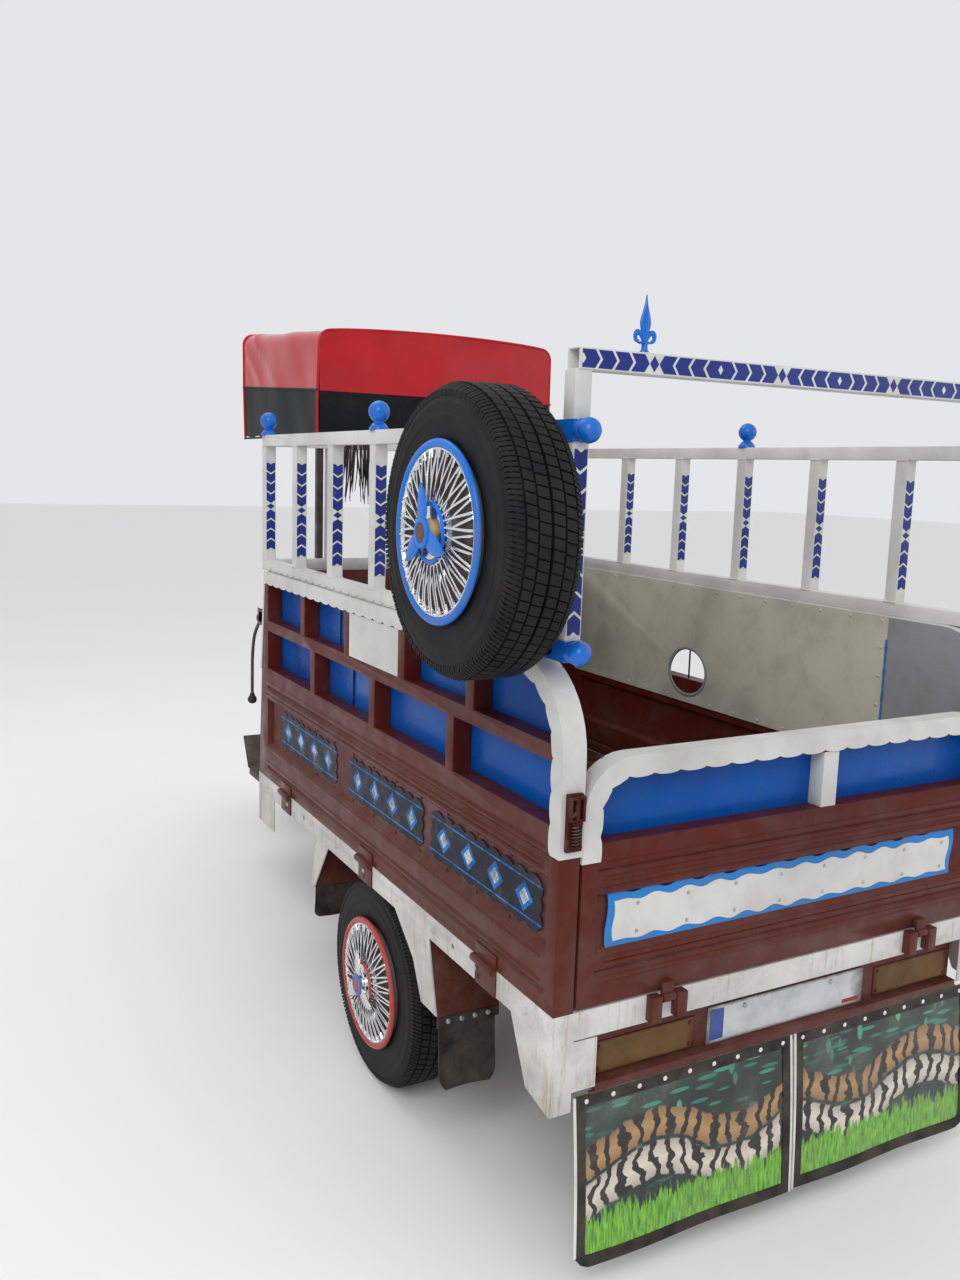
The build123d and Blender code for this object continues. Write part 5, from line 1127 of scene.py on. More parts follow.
def band_panels():
    """Three dark painted panels with scalloped edges in each side gate's sunk band."""
    band = GATE_BOTTOM + 0.115, GATE_BOTTOM + 0.277
    middle, half = sum(band) / 2, 0.050
    z = (middle - half, middle + half)
    mesh = bmesh.new()
    for side in SIDES:
        for a, b in ((0.085, 0.575), (0.635, 1.105), (1.215, 1.700)):
            x = a * ALONG, b * ALONG
            start = len(mesh.faces)
            outline = waved_outline(x, z, 0.052, 3, 10, even_lobes)
            add_prism(mesh, outline, "y", side * (BAND_FLOOR + 0.0004), side * (BAND_FLOOR + 0.0024))
            set_uv(mesh, faces_since(mesh, start), shares_of(x, z, lambda p: (p.x, p.z)))
    piece("band_panels", mesh, "panel", angle=30)
    rows = []
    for side in SIDES:
        for h in (band[0] + 0.014, band[1] - 0.014):
            start = (0.06, side * (BAND_FLOOR + 0.0002), h)
            step = ((BED_LENGTH - 0.16) / 12, 0, 0)
            rows.append((dome(0.0045, 0.003, outward(side)), "maroon", 13, start, step))
    rows_piece("band_rivets", rows)


def tape_box(mesh, low, high, along, v_length, first=0.0):
    """A thin box of tape that faces back; V runs along one axis, U from -1 to 1 across it."""
    start, cross = len(mesh.faces), 3 - along
    add_box(mesh, *zip(low, high))

    def uv(p):
        across = 2 * (p[cross] - low[cross]) / (high[cross] - low[cross]) - 1
        return across, (p[along] - low[along]) / v_length + first

    set_uv(mesh, faces_since(mesh, start), uv)


def tapes():
    """Chevron tape on the rear faces of the posts and of the rear arch."""
    mesh = bmesh.new()
    height = RAILING_HIGH - RAILING_LOW
    for side in SIDES:
        for i in range(POSTS):
            x, y = FIRST_POST + POST_STEP * i - POST / 2, side * POST_Y
            ends = [RAILING_LOW + height * share for share in ((0.11, 0.885) if i == 0 else (0.16, 0.80))]
            low = (x - 0.0012, y - POST / 2 + 0.0015, ends[0])
            tape_box(mesh, low, (x + 0.0002, y + POST / 2 - 0.0015, ends[1]), 2, ends[1] - ends[0])
    arch_low, arch_high = node_box("rear_arch")
    reach, repeats = arch_high.y - 0.012, 0.32
    low = (arch_low.x - 0.0012, -reach, arch_high.z - 0.0385)
    high = (arch_low.x + 0.0002, reach, arch_high.z - 0.0015)
    tape_box(mesh, low, high, 1, repeats, 0.5 - (reach + 0.465) / repeats)
    piece("chevron_tape", mesh, "tape", angle=25)


def ball_profile(radius, flare, length):
    """A flared cap that carries a ball, from its foot up; length is to the ball's middle."""
    ball = ((-0.92, 0.42), (-0.70, 0.714), (-0.35, 0.937), (0, 1))
    ball += ((0.35, 0.937), (0.70, 0.714), (0.92, 0.392))
    foot = [(0.0, flare), (0.004, flare), (0.010, flare * 0.86), (0.018, flare * 0.60)]
    foot.append((length - radius * 0.98, flare * 0.46))
    return foot + [(length + radius * a, radius * r) for a, r in ball] + [(length + radius, 0.0008)]


def spear(mesh, x, y, foot, height):
    """A fleur spear: foot, stem, leaf blade and two side lobes that curl down."""
    blade = ((0.0, 0.095), (0.045, 0.095), (0.06, 0.057), (0.17, 0.057), (0.26, 0.066), (0.36, 0.085))
    blade += ((0.45, 0.112), (0.53, 0.124), (0.62, 0.106), (0.72, 0.074), (0.82, 0.043), (0.92, 0.016))
    rings = []
    for share, width in blade + ((1.0, 0.002),):
        deep, wide, z = 0.0085 * (1 - 0.75 * share), width * height, foot + share * height
        rings.append([(x + deep * round_point(t, 1.6)[1], y + wide * math.cos(t), z) for t in turns(16)])
    add_rings(mesh, rings)
    lobe = ((0.03, 0.17), (0.06, 0.27), (0.115, 0.345), (0.175, 0.355), (0.205, 0.30))
    lobe += ((0.195, 0.225), (0.150, 0.205))
    for side in SIDES:
        points = smooth_path([(x, y + side * a * height, foot + b * height) for a, b in lobe], 5)
        last = len(points) - 1
        radii = [height * (0.030 + 0.022 * math.sin(math.pi * k / last) ** 2) for k in range(last + 1)]
        add_tube(mesh, points, radii, 8, flat=0.7)
        add_ball(mesh, points[-1], height * 0.034, 10)
    collar = (foot + 0.165 * height, foot + 0.20 * height)
    add_box(mesh, (x - 0.0065, x + 0.0065), (y - 0.10 * height, y + 0.10 * height), collar)


def finial_set():
    """Blue balls on flared caps, rail-end sleeves with balls, and spears on the arch."""
    mesh = bmesh.new()
    sleeve, reach = (0.029, FIRST_POST + POST / 2 + 0.03), POST / 2 + 0.0022
    for side in SIDES:
        y = side * POST_Y
        for x in (FIRST_POST + 3 * POST_STEP, LAST_POST):
            add_lathe(mesh, ball_profile(0.028, 0.026, 0.047), (x, y, RAILING_HIGH), "z", 28)
        for z in (RAILING_LOW + POST / 2, RAILING_HIGH - POST / 2):
            add_box(mesh, sleeve, (y - reach, y + reach), (z - reach, z + reach))
            profile = [(-a, r) for a, r in ball_profile(0.024, 0.022, 0.021)]
            add_lathe(mesh, profile, (sleeve[0], y, z), "x", 28)
        spear(mesh, FIRST_POST, side * (HALF - 0.175), node_box("rear_arch")[1].z, 0.107)
    piece("finial_set", mesh, "blue_plastic", "chassis", ("finials",), 0.0012, 40, 1)


def spring_latches():
    """Slotted latch plates with an open coil spring and a handle, at both rear corners."""
    low, high = node_box("latches")
    plates, springs = bmesh.new(), bmesh.new()
    back, middle, half = low.x, (low.z + high.z) / 2, 0.0175
    slot, depth = (middle + 0.004, middle + 0.054), (back + 0.003, back + 0.013)
    for side in SIDES:
        y = side * (HALF - 0.024)
        add_box(plates, (back + 0.012, back + 0.0215), (y - half, y + half), (low.z + 0.002, high.z - 0.002))
        for a in (-half, half - 0.006):
            add_box(plates, depth, (y + a, y + a + 0.006), slot)
        for z in (slot[0], slot[1] - 0.006):
            add_box(plates, depth, (y - half + 0.005, y + half - 0.005), (z, z + 0.006))
        for z in (middle - 0.0015, middle - 0.048):
            add_box(plates, (back + 0.001, back + 0.012), (y - 0.011, y + 0.011), (z, z + 0.005))
        add_tube(plates, [(back + 0.006, y, middle + z) for z in (-0.052, 0.050)], 0.0048, 10)
        handle = ((0.006, 0, 0.026), (0.0035, 0.006, 0.022), (0.0045, 0.016, 0.016))
        handle = [(back + dx, y + side * dy, middle + dz) for dx, dy, dz in handle]
        add_tube(plates, smooth_path(handle), 0.0042, 8)
        coil, steps, each = [], 77, 14  # five and a half turns
        for i in range(steps + 1):
            c, s = round_point(2 * math.pi * i / each)
            coil.append((back + 0.0068 + 0.0058 * c, y + 0.0095 * s, middle - 0.041 + 0.037 * i / steps))
        add_tube(springs, coil, 0.0017, 6)
    # the latch plates take the darker maroon, which paints shade on them
    parts = [part("plates", plates, "maroon_inside", 0.0008, 1), part("coils", springs, "dark_steel")]
    joined("spring_latches", parts, replaces=("latches",), angle=40)


def lever():
    """The front corner's locking lever: a latch box with a bent rod and a black ball."""
    low, high = node_box("corner_lever")
    pivot = Vector((low.x + 0.062, (low.y + high.y) / 2 + 0.002, high.z - 0.040))
    end = Vector((high.x - 0.016, pivot.y, low.z + 0.016))
    box, rod, knob = bmesh.new(), bmesh.new(), bmesh.new()
    add_box(box, (low.x, low.x + 0.066), (HALF - 0.004, high.y), (high.z - 0.060, high.z - 0.004))
    add_box(box, (low.x + 0.004, low.x + 0.050), (low.y, high.y), (high.z - 0.050, high.z - 0.014))
    add_lathe(box, [(-0.016, 0.012), (0.016, 0.012)], pivot, "y", 20)
    bends = ((0, 0), (0.043, -0.030), (0.088, -0.078), (0.108, -0.140), (high.x - 0.017 - pivot.x, -0.205))
    points = [pivot + Vector((x, 0, z)) for x, z in bends] + [end]
    add_tube(rod, smooth_path(points, 6), 0.0056, 12)
    profile = [(0.022, 0.008), (0.014, 0.0095), (0.012, 0.0115), (0.006, 0.0150), (0, 0.0162)]
    profile += [(-0.006, 0.0150), (-0.011, 0.0118), (-0.0155, 0.0008)]
    add_lathe(knob, profile, end, "z", 24)
    parts = [part("latch", box, "maroon", 0.0015), part("rod", rod, "dark_steel"), part("ball", knob, "grip")]
    joined("lever", parts, replaces=("corner_lever",), angle=40)


def opened_sheet(mesh, x, z, near, far):
    """A lining sheet with a rounded opening, and the rolled ring round it."""
    centre = Vector((1.165 * ALONG, z[0] + 0.105))
    angles = turns(48, 0.5)
    angles += [math.atan2(q - centre.y, p - centre.x) % (2 * math.pi) for p, q in rectangle(x, z)]
    hole, edge = [], []
    for c, s in map(round_point, sorted(angles)):
        to_x = ((x[1] if c > 0 else x[0]) - centre.x) / c if abs(c) > 1e-6 else math.inf
        to_z = ((z[1] if s > 0 else z[0]) - centre.y) / s if abs(s) > 1e-6 else math.inf
        edge.append((centre.x + min(to_x, to_z) * c, centre.y + min(to_x, to_z) * s))
        hole.append((centre.x + 0.093 * c, centre.y + 0.078 * s))
    rings = ((edge, near), (edge, far), (hole, far), (hole, near))
    add_rings(mesh, [[(p, y, q) for p, q in outline] for outline, y in rings], along=True)
    rows = []
    for c, s in map(round_point, turns(48)):
        away = Vector((0.0945 * c, 0, 0.0795 * s))
        point, out = Vector((centre.x, far, centre.y)) + away, away.normalized() * 0.006
        rows.append([point + out * math.cos(t) + Vector((0, 0.0028 * math.sin(t), 0)) for t in turns(8)])
    ring = bmesh.new()
    add_rings(ring, rows, along=True)
    piece("opening_ring", ring, "grey_sheet", angle=60)


def linings():
    """Riveted cream sheets inside the side gates, one with an opening, and sealed grey sheets behind."""
    low, high = node_box("gate_linings")
    x, z = (low.x, high.x), (low.z, high.z - 0.001)
    sheets, greys, seals = bmesh.new(), bmesh.new(), bmesh.new()
    for side in SIDES:
        near, far = side * (high.y - 0.0002), side * (high.y - 0.0025)
        if side > 0:
            add_box(sheets, x, (near, far), z)
        else:
            opened_sheet(sheets, x, z, near, far)
        curve = GATE_ROUND - 0.014
        outline = [(0.016, low.z), (0.016, high.z - GATE_ROUND)]
        outline += arc(0.016 + curve, high.z - 0.002 - curve, curve, 180, 90, 9, 1)
        add_prism(greys, outline + [(low.x, high.z - 0.002), (low.x, low.z)], "y", near, far)
        rows, crest = [], far - side * 0.0022
        for i in range(28):
            h = z[0] + (z[1] - 0.06 - z[0]) * i / 27
            wide = 0.005 + 0.0018 * math.sin(i * 2.3) + 0.0012 * math.sin(i * 5.1)
            section = ((-wide, near), (-wide * 0.5, crest), (wide * 0.5, crest), (wide, near))
            rows.append([(low.x + dx, y, h) for dx, y in section])
        add_rings(seals, rows)
    piece("lining_sheets", sheets, "cream", "chassis", ("gate_linings",), 0.0004, 40, 1)
    piece("grey_sheets", greys, "grey_sheet", "chassis", (), 0.0004, 40, 1)
    piece("sealant_lines", seals, "sealant", angle=60)
    rows = []
    along, column = ((high.x - low.x - 0.04) / 13, 0, 0), (0, 0, 0.079)
    for side in SIDES:
        for material, count, x, z, step in (
            ("cream", 14, low.x + 0.02, 0.012, along),
            ("cream", 14, low.x + 0.02, high.z - low.z - 0.013, along),
            ("cream", 4, low.x + 0.018, 0.075, column),
            ("cream", 4, high.x - 0.018, 0.075, column),
            ("grey_sheet", 6, 0.07, 0.02, (0, 0, 0.055)),
        ):
            start = (x, side * (high.y - 0.0025), low.z + z)
            rows.append((dome(0.0052, 0.0028, outward(-side), 8), material, count, start, step))
    rows_piece("lining_rivets", rows)


def bed_fasteners():
    """Bolts along the perimeter rail, screws on the skirt plates and tie plates over the sheets' seams."""
    rows = []
    middle, top = node_centre("bed_frame").z, node_box("skirt_plates")[1].z
    for side in SIDES:
        start, step = (0.10, side * HALF, middle), ((BED_LENGTH - 0.2) / 8, 0, 0)
        rows.append((nut(0.0065, 0.005, side), "white_rusty", 9, start, step))
        for x, step in ((0.030, 0.055), (BED_LENGTH - 0.145, 0.06)):
            start = (x, side * (HALF - 0.0002), top - 0.016)
            rows.append((dome(0.006, 0.0032, outward(side)), "white_rusty", 3, start, (step, 0, 0)))
    rows_piece("bed_bolts", rows)
    mesh = bmesh.new()
    for side in SIDES:
        y = side * (INNER + 0.0005), side * (INNER + 0.0042)
        for x, sill, head in zip((1.165, 1.27), WINDOW_SILLS, WINDOW_HEADS):
            add_box(mesh, (x - 0.003, x + 0.003), y, (sill + 0.002, head - 0.002))
    piece("sheet_seams", mesh, "navy", "chassis", (), 0.0006, 40, 1)


def hinge_sets():
    """Rolled knuckles, pins and bolted straps on the tailgate's and the side gates' hinges."""
    dressed_copy("gate_hinges", "maroon", rounding=0.0012)
    dressed_copy("tailgate_hinge_leaves", "maroon", "tailgate", 0.0012)
    pin_x, pin_z = -0.013, 0.610
    mesh = bmesh.new()
    for side in SIDES:
        y = side * (node_box("tailgate_hinge_leaves")[1].y - 0.015)
        for end in SIDES:
            profile = [(0, 0.0070), (end * 0.003, 0.0070), (end * 0.005, 0.0045)]
            add_lathe(mesh, profile, (pin_x, y + end * 0.0265, pin_z), "y", 14)
    piece("hinge_pins", mesh, "dark_steel")
    rows = []
    foot = node_box("gate_hinges")[0].z + 0.016
    for side in SIDES:
        for x in (0.30, 0.95, 1.61):
            start = (x * ALONG, side * (HALF + 0.001), foot)
            rows.append((nut(0.006, 0.004, side), "dark_steel", 2, start, (0, 0, 0.026)))
    rows_piece("strap_bolts", rows)


def board_plates():
    """Blank plates on the light board: two of brass, a number plate with a blue band, and screws."""
    face, foot = 0.0260, node_box("light_board")[0].z + 0.022
    for name, y, z, material in (
        ("brass_plate_left", (0.272, 0.532), (foot, foot + 0.072), "brass_plate"),
        ("brass_plate_right", (-0.532, -0.272), (foot, foot + 0.072), "brass_plate"),
        ("number_plate", (-0.235, 0.235), (foot - 0.004, foot + 0.082), "number_plate"),
    ):
        mesh = bmesh.new()
        rings = []
        for rise, inset in ((0, 0), (0.0022, 0), (0.0030, 0.002), (0.0030, 0.0055), (0.0020, 0.0075)):
            outline = rectangle((y[0] + inset, y[1] - inset), (z[0] + inset, z[1] - inset))
            rings.append([(face - rise, p, q) for p, q in outline])
        add_rings(mesh, rings)
        set_uv(mesh, mesh.faces, shares_of(y, z, lambda p: (p.y, p.z)))
        piece(name, mesh, material, angle=30)
    for name, y, top, material in (
        ("plate_blue_band", (0.190, 0.226), 0.074, "plate_band"),
        ("plate_red_strip", (-0.226, -0.172), 0.013, "plate_red"),
    ):
        mesh = bmesh.new()
        add_box(mesh, (face - 0.0034, face - 0.0018), y, (foot + 0.004, foot + top))
        piece(name, mesh, material, "chassis", (), 0.0003, 40, 1)
    rows = []
    for y in (0.13, -0.13):
        start = (face - 0.0028, y, foot + 0.066)
        rows.append((dome(0.006, 0.003, "-x"), "steel", 1, start, (0, 0, 0)))
    for y in (0.284, -0.520):
        for rise in (0.012, 0.060):
            start = (face - 0.0028, y, foot + rise)
            rows.append((dome(0.0042, 0.0024, "-x"), "brass_plate", 2, start, (0, 0.236, 0)))
    rows_piece("plate_screws", rows)


def rear_flap_pair():
    """Printed vinyl flaps with black borders, white piping and screws along the top."""
    low, high = node_box("rear_flaps")
    top, inner, outer = high.z - 0.001, 0.005, high.y
    length, width, slot = top - low.z, 0.026, "flap_vinyl"
    columns, rows = 36, 28
    across, down = range(columns + 1), range(rows + 1)
    for side, label in LABELS.items():

        def place(i, j, back=0.0):
            """A point of the flap at a column and a row; its lower outer corner is rounded off."""
            share, drop = i / columns, j / rows
            edge = 0.030 * (max(0, share - 0.93) / 0.07) ** 2.2
            lean = (0.0285 + 0.0025 * math.sin(share * 9.4 + side)) * drop + 0.004 * math.sin(math.pi * drop)
            y = inner + (outer - inner) * share
            return Vector((0.0035 - lean - back, side * y, top - (length - edge) * drop))

        mesh = bmesh.new()
        layer = mesh.loops.layers.uv.verify()
        grids = []
        for back in (0.0, -0.003):
            grid = [[mesh.verts.new(place(i, j, back)) for j in down] for i in across]
            grids.append(grid)
            for i in across[:-1]:
                for j in down[:-1]:
                    corners = ((i, j), (i + 1, j), (i + 1, j + 1), (i, j + 1))
                    face = mesh.faces.new([grid[a][b] for a, b in corners])
                    for loop, (a, b) in zip(face.loops, corners):
                        u = a / columns + 0.37 if side > 0 else 1 - a / columns + 1.61
                        loop[layer].uv = (u, 1 - b / rows)
        edge = [(0, j) for j in down] + [(i, rows) for i in across[1:]]
        edge += [(columns, j) for j in down[-2::-1]] + [(i, 0) for i in across[-2:0:-1]]
        front, rear = grids
        for (a, b), (c, d) in zip(edge, edge[1:] + edge[:1]):
            mesh.faces.new([front[a][b], front[c][d], rear[c][d], rear[a][b]])
        replaces = ("rear_flaps",) if side > 0 else ()
        flap = piece(f"mud_flap_{label}", mesh, "flap_print", replaces=replaces, angle=60)
        border, skin = bmesh.new(), Vector((0.0022, 0, 0))
        for line, inward in (
            ([(0, k) for k in down], (0, side * width, 0)),
            ([(columns, k) for k in down], (0, -side * width, 0)),
            ([(k, 0) for k in across], (-0.002, 0, -width)),
            ([(k, rows) for k in across], (0.0016, 0, width)),
        ):
            pairs = [(place(i, j), place(i, j) + Vector(inward)) for i, j in line]
            add_rings(border, [[a, a - skin, b - skin, b] for a, b in pairs])
        hem = piece(f"flap_border_{label}", border, "black_rubber", angle=50)
        piping = bmesh.new()
        for column, shift in ((0, 0.0015), (columns, -0.0015)):
            points = [place(column, k) + Vector((-0.0015, side * shift, 0)) for k in down]
            add_tube(piping, points, 0.0032, 8)
        pipes = piece(f"flap_piping_{label}", piping, "piping", angle=60)
    mesh = bmesh.new()
    add_box(mesh, (0.0015, 0.012), (0.04 - outer, outer - 0.04), (top - 0.012, high.z + 0.001))
    piece("flap_strip", mesh, "chassis", "chassis", (), 0.001, 40, 1)
    step = (0, (outer - 0.060) / 8, 0)
    starts = [(0.0018, y, top - 0.014) for y in (0.030, 0.03 - outer)]
    rows = [(dome(0.0062, 0.0032, "-x"), "piping", 9, start, step) for start in starts]
    rows_piece("flap_screws", rows)


def wheel_guards():
    """Bent rubber flaps and bead-edged sheet guards behind and ahead of the rear wheels."""
    dressed_copy("mudguards", "maroon", rounding=0.0010)
    low, high = node_box("wheel_flaps")
    inner, outer = HALF - 0.160, high.y
    replaces = ("wheel_flaps",)
    for side, label in LABELS.items():
        for x, top, foot, back, tag in (
            (low.x + 0.002, 0.372, low.z, -1, "rear"),
            (high.x - 0.002, 0.400, 0.290, 1, "front"),
        ):
            rows = []
            for j in range(15):
                drop, row = j / 14, []
                trim = 0.016 * max(0, (drop - 0.82) / 0.18) ** 2
                for i in range(15):
                    y = inner + trim + (outer - inner - 2 * trim) * i / 14
                    bend = 0.0045 * drop * math.sin(i / 14 * 5.0 + j * 0.13) + 0.010 * drop * drop
                    row.append((x + back * bend, side * y, top - (top - foot) * drop))
                rows.append(row)
            mesh = bmesh.new()
            add_rings(mesh, rows, around=False)
            obj = soften(part(f"wheel_flap_{tag}_{label}", mesh, "black_rubber"), 0.004, False, 0)
            settle(obj, "chassis", replaces, 50)
            replaces = ()
    rows = []
    for side in SIDES:
        start = (low.x - 0.0008, side * (inner + 0.02), 0.362)
        rows.append((dome(0.007, 0.004, "-x"), "steel", 4, start, (0, side * 0.036, 0)))
    rows_piece("guard_screws", rows)


# Canopy and driver's place

BAND_RISE = 0.052  # of the black band from the rear to the front
SHEET = 0.0022  # thickness of the vinyl
PROUD = 0.0045  # how far the vinyl stands off the CAD cover


def canopy_band(x):
    """The black band's height on the canopy's sides, which rises from the rear to the front."""
    low, high = node_box("canopy_cover")
    return settings().band_height + BAND_RISE * (x - low.x) / (high.x - low.x)


def canopy_section(x):
    """The canopy's outline across the machine at a place along it, from the left foot over the roof."""
    low, high = node_box("canopy_cover")
    half, shoulder, crown = high.y, 0.040, 0.016
    eave = high.z - 0.060 * (high.x - x) / (high.x - low.x) - crown
    band, turn = low.z + canopy_band(x), eave - shoulder
    left = [Vector((half, low.z + (band - low.z) * i / 7)) for i in range(7)]
    left += [Vector((half, band + (turn - band) * i / 7)) for i in range(8)]
    left += arc(half - shoulder, turn, shoulder, 0, 90, 7, 1)
    span = half - shoulder
    across = [span - 2 * span * i / 20 for i in range(1, 20)]
    roof = [Vector((y, eave + crown * (1 - (y / span) ** 2) ** 0.8)) for y in across]
    return left + roof + [Vector((-p.x, p.y)) for p in reversed(left)]


def fold(x, y, z):
    """Slack in stretched vinyl: shallow waves between its supports."""
    wave = math.sin(x * 11.0 + z * 7.0 + math.sin(y * 7.0) * 1.3)
    return 0.0030 * wave + 0.0010 * math.sin(x * 29.0 - z * 17.0 + y * 11.0)


def creases(x, z):
    """Sharp folds on the canopy's sides, from its front upper corner down to the foot of its rear edge."""
    low, high = node_box("canopy_cover")
    down, back = high.z - 0.05 - z, high.x - x
    total = 0.0
    for slope, start, width, deep in (
        (0.74, 0.00, 0.017, 0.0060),
        (0.60, -0.085, 0.012, 0.0048),
        (0.98, 0.075, 0.014, 0.0036),
    ):
        off = (down - slope * back - start) / math.hypot(1, slope) / width
        total += deep * math.exp(-(off**2)) * math.exp(-((off + 1) ** 2) * 0.1)
    return total * min(1.0, max(0.0, z - low.z - canopy_band(x)) / 0.03) * min(1.0, max(0.0, back) / 0.05)


def vinyl_sheet(name, mesh, materials, band=None, replaces=()):
    """A softened sheet of the canopy, black below its band, with its area before softening."""
    area = sum(face.calc_area() for face in mesh.faces)
    obj = new_object(name, mesh, materials)
    foot = node_box("canopy_cover")[0].z
    for face in obj.data.polygons:
        if band and face.center.z - foot < band(face.center.x - ORIGIN.x):
            face.material_index = 1
    return settle(soften(obj, SHEET), "chassis", replaces, 70), area


def canopy_cover(low, high):
    """One sheet over both sides and the roof, its hems and its seams."""
    length, columns, flat = high.x - low.x, 66, 0.0
    places = [low.x + length * i / columns for i in range(columns + 1)]
    mesh, rings = bmesh.new(), []
    for x in places:
        section = canopy_section(x)
        flat += sum((b - a).length for a, b in zip(section, section[1:])) / len(places)
        ring = []
        for before, p, after in zip(section[:1] + section, section, section[1:] + section[-1:]):
            ahead = (after - before).normalized()
            height = p.y - low.z
            shift = PROUD + fold(x, p.x, p.y) * (1.0 if height < 0.30 else 0.75)
            if abs(p.x) > 0.9 * high.y:
                shift += creases(x, p.y)
            hem = 0.010 * math.sin(x * 21 + (1 if p.x > 0 else 2)) * max(0, 1 - height / 0.10)
            q = p + Vector((ahead.y, -ahead.x)) * shift
            ring.append((x, q.x, q.y + abs(hem)))
        rings.append(ring)
    add_rings(mesh, rings, around=False)
    cover, _ = vinyl_sheet("canopy_sheet", mesh, ["canopy", "canopy_black"], canopy_band, ("canopy_cover",))
    beads = bmesh.new()
    for side in SIDES:
        for rise, reach in ((canopy_band, 0.0042), (lambda x: 0.0, 0.0038)):
            points = [(x, high.y, low.z + rise(x) + 0.002) for x in places]
            points = [(x, side * (y + fold(x, y, z) + 0.0055), z) for x, y, z in points]
            add_tube(beads, points, reach, 8, 1)
    for x in (low.x + 0.004, high.x - 0.004):
        points = []
        for p in canopy_section(x):
            out = math.copysign(PROUD + fold(x, p.x, p.y), p.x)
            points.append((x, p.x + out, p.y + (PROUD if p.y > low.z + 0.3 else 0)))
        add_tube(beads, points, 0.0048, 8)
    seams = piece("canopy_seams", beads, ["canopy", "canopy_black"], angle=70)


def canopy_rear(low, high):
    """The rear wall, pulled in between its edges, with a black fringe."""
    section = canopy_section(low.x + 0.004)
    half, rows = len(section) // 2, 16
    mesh, strips = bmesh.new(), []
    for a, b in zip(section[: half + 1], section[::-1]):
        strip = []
        for j in range(rows + 1):
            y = a.x + (b.x - a.x) * j / rows
            pull = 0.0085 * math.sin(math.pi * j / rows) * math.sin(math.pi * min(1, (a.y - low.z) / 0.33))
            strip.append((low.x + 0.002 - pull - 0.525 * fold(y * 1.3, a.y, y), y, a.y))
        strips.append(strip)
    add_rings(mesh, strips, around=False)
    bmesh.ops.remove_doubles(mesh, verts=mesh.verts, dist=1e-5)
    materials = ["canopy", "canopy_black"]
    back, area = vinyl_sheet("canopy_rear_wall", mesh, materials, lambda x: canopy_band(low.x))
    strands = []
    for count, y, step, seed in ((54, 0.215, 0.0028, 3), (26, -0.33, 0.0045, 5)):
        unit = bmesh.new()
        strand = [(0, 0, 0), (-0.002, 0.002, -0.07), (0.001, -0.001, -0.15), (-0.001, 0.003, -0.24)]
        add_tube(unit, strand, [0.0026, 0.0032, 0.0028, 0.0012], 5)
        start = (low.x - 0.004, y, low.z + 0.012)
        strands.append(row_of(unit, "fringe", count, start, (0, step, 0), (0.10, 0.08, 1.5), 0.45, seed))
    fringe = joined("canopy_fringe", strands, angle=60)
    width, tall = 2 * high.y, canopy_section(low.x)[half].y - low.z
    min(area, width * tall)


def canopy_valance(low, high):
    """The valance that hangs from the canopy's front edge."""
    over = [p for p in canopy_section(high.x - 0.004) if p.y > low.z + 0.20]
    tall = 0.190
    lowest = max(p.y for p in over) - tall
    mesh, strips = bmesh.new(), []
    for k, p in enumerate(over):
        strip = []
        foot = min(lowest + 0.012 * abs(math.sin(k * 0.9)), p.y - 0.004)
        for share in (j / 6 for j in range(7)):
            z = p.y + (foot - p.y) * share
            bulge = 0.006 * math.sin(math.pi * share) + 0.5 * fold(p.x * 1.7, z, p.x) * share
            strip.append((high.x - 0.002 + bulge, p.x * (1 - 0.004 * share), z))
        strips.append(strip)
    add_rings(mesh, strips, around=False)
    valance, area = vinyl_sheet("canopy_valance", mesh, "canopy")
    wide = max(p.x for p in over) - min(p.x for p in over)
    min(area, wide * tall)


def canopy():
    """One stretched sheet over roof and sides, a rear wall, a valance, black bands and a fringe."""
    for make in (canopy_cover, canopy_rear, canopy_valance):
        make(*node_box("canopy_cover"))
    dressed_copy("canopy_frame", "dark_steel", "chassis", 0.0012, 40, 1)


def padded_block(node, panels, crown):
    """A crowned cushion with pinched seams between its panels and piping round its edge."""
    low, high = node_box(node)
    size, middle, soft = high - low, (low + high) / 2, 0.030
    lying = size.z < size.x
    long, wide, thick = (size.x, size.y, size.z) if lying else (size.z, size.y, size.x)

    def place(u, v, w):
        return middle + Vector((u, v, w) if lying else (w, v, u))

    def swell(value, limit):
        """One inside the cushion's edge, falling round to zero at it."""
        share = max(0.0, 1 - max(0.0, abs(value) - (limit - soft)) / soft)
        return math.sqrt(max(0.0, 1 - (1 - share) ** 2))

    seams = [(k / panels - 0.5) * wide for k in range(1, panels)]
    rows = []
    for u in ((i / 26 - 0.5) * long for i in range(27)):
        row = []
        for v in ((j / 44 - 0.5) * wide for j in range(45)):
            pinch = max(math.exp(-(((v - seam) / 0.011) ** 2)) for seam in seams)
            full = swell(u, long / 2) * swell(v, wide / 2)
            arch = crown * math.cos(math.pi * u / long) * math.cos(math.pi * v / wide)
            rise = thick * 0.5 * full - crown + arch - pinch * 0.009 * full
            rise += 0.0012 * math.sin(u * 40 + v * 13) * full
            row.append((u, v, max(rise, 0.0)))
        rows.append(row)
    under = 0.82 if lying else 0.9
    mesh = bmesh.new()
    add_rings(mesh, [[place(*p) for p in row] for row in rows], around=False)
    below = [[place(u, v, -min(w * under, thick / 2)) for u, v, w in row] for row in rows]
    add_rings(mesh, below, around=False)
    obj = soften(new_object(node + "_pad", mesh, "seat", merge=1e-5))
    settle(obj, "chassis", (node,), 75)
    pipes, edge = bmesh.new(), [round_point(turn, 0.22) for turn in turns(64)]
    edge = [place(c * (long / 2 - 0.0015), s * (wide / 2 - 0.0015), 0.0) for c, s in edge]
    add_tube(pipes, edge + edge[:1], 0.0038, 8)
    piece(node + "_pad_piping", pipes, "seat", angle=60)


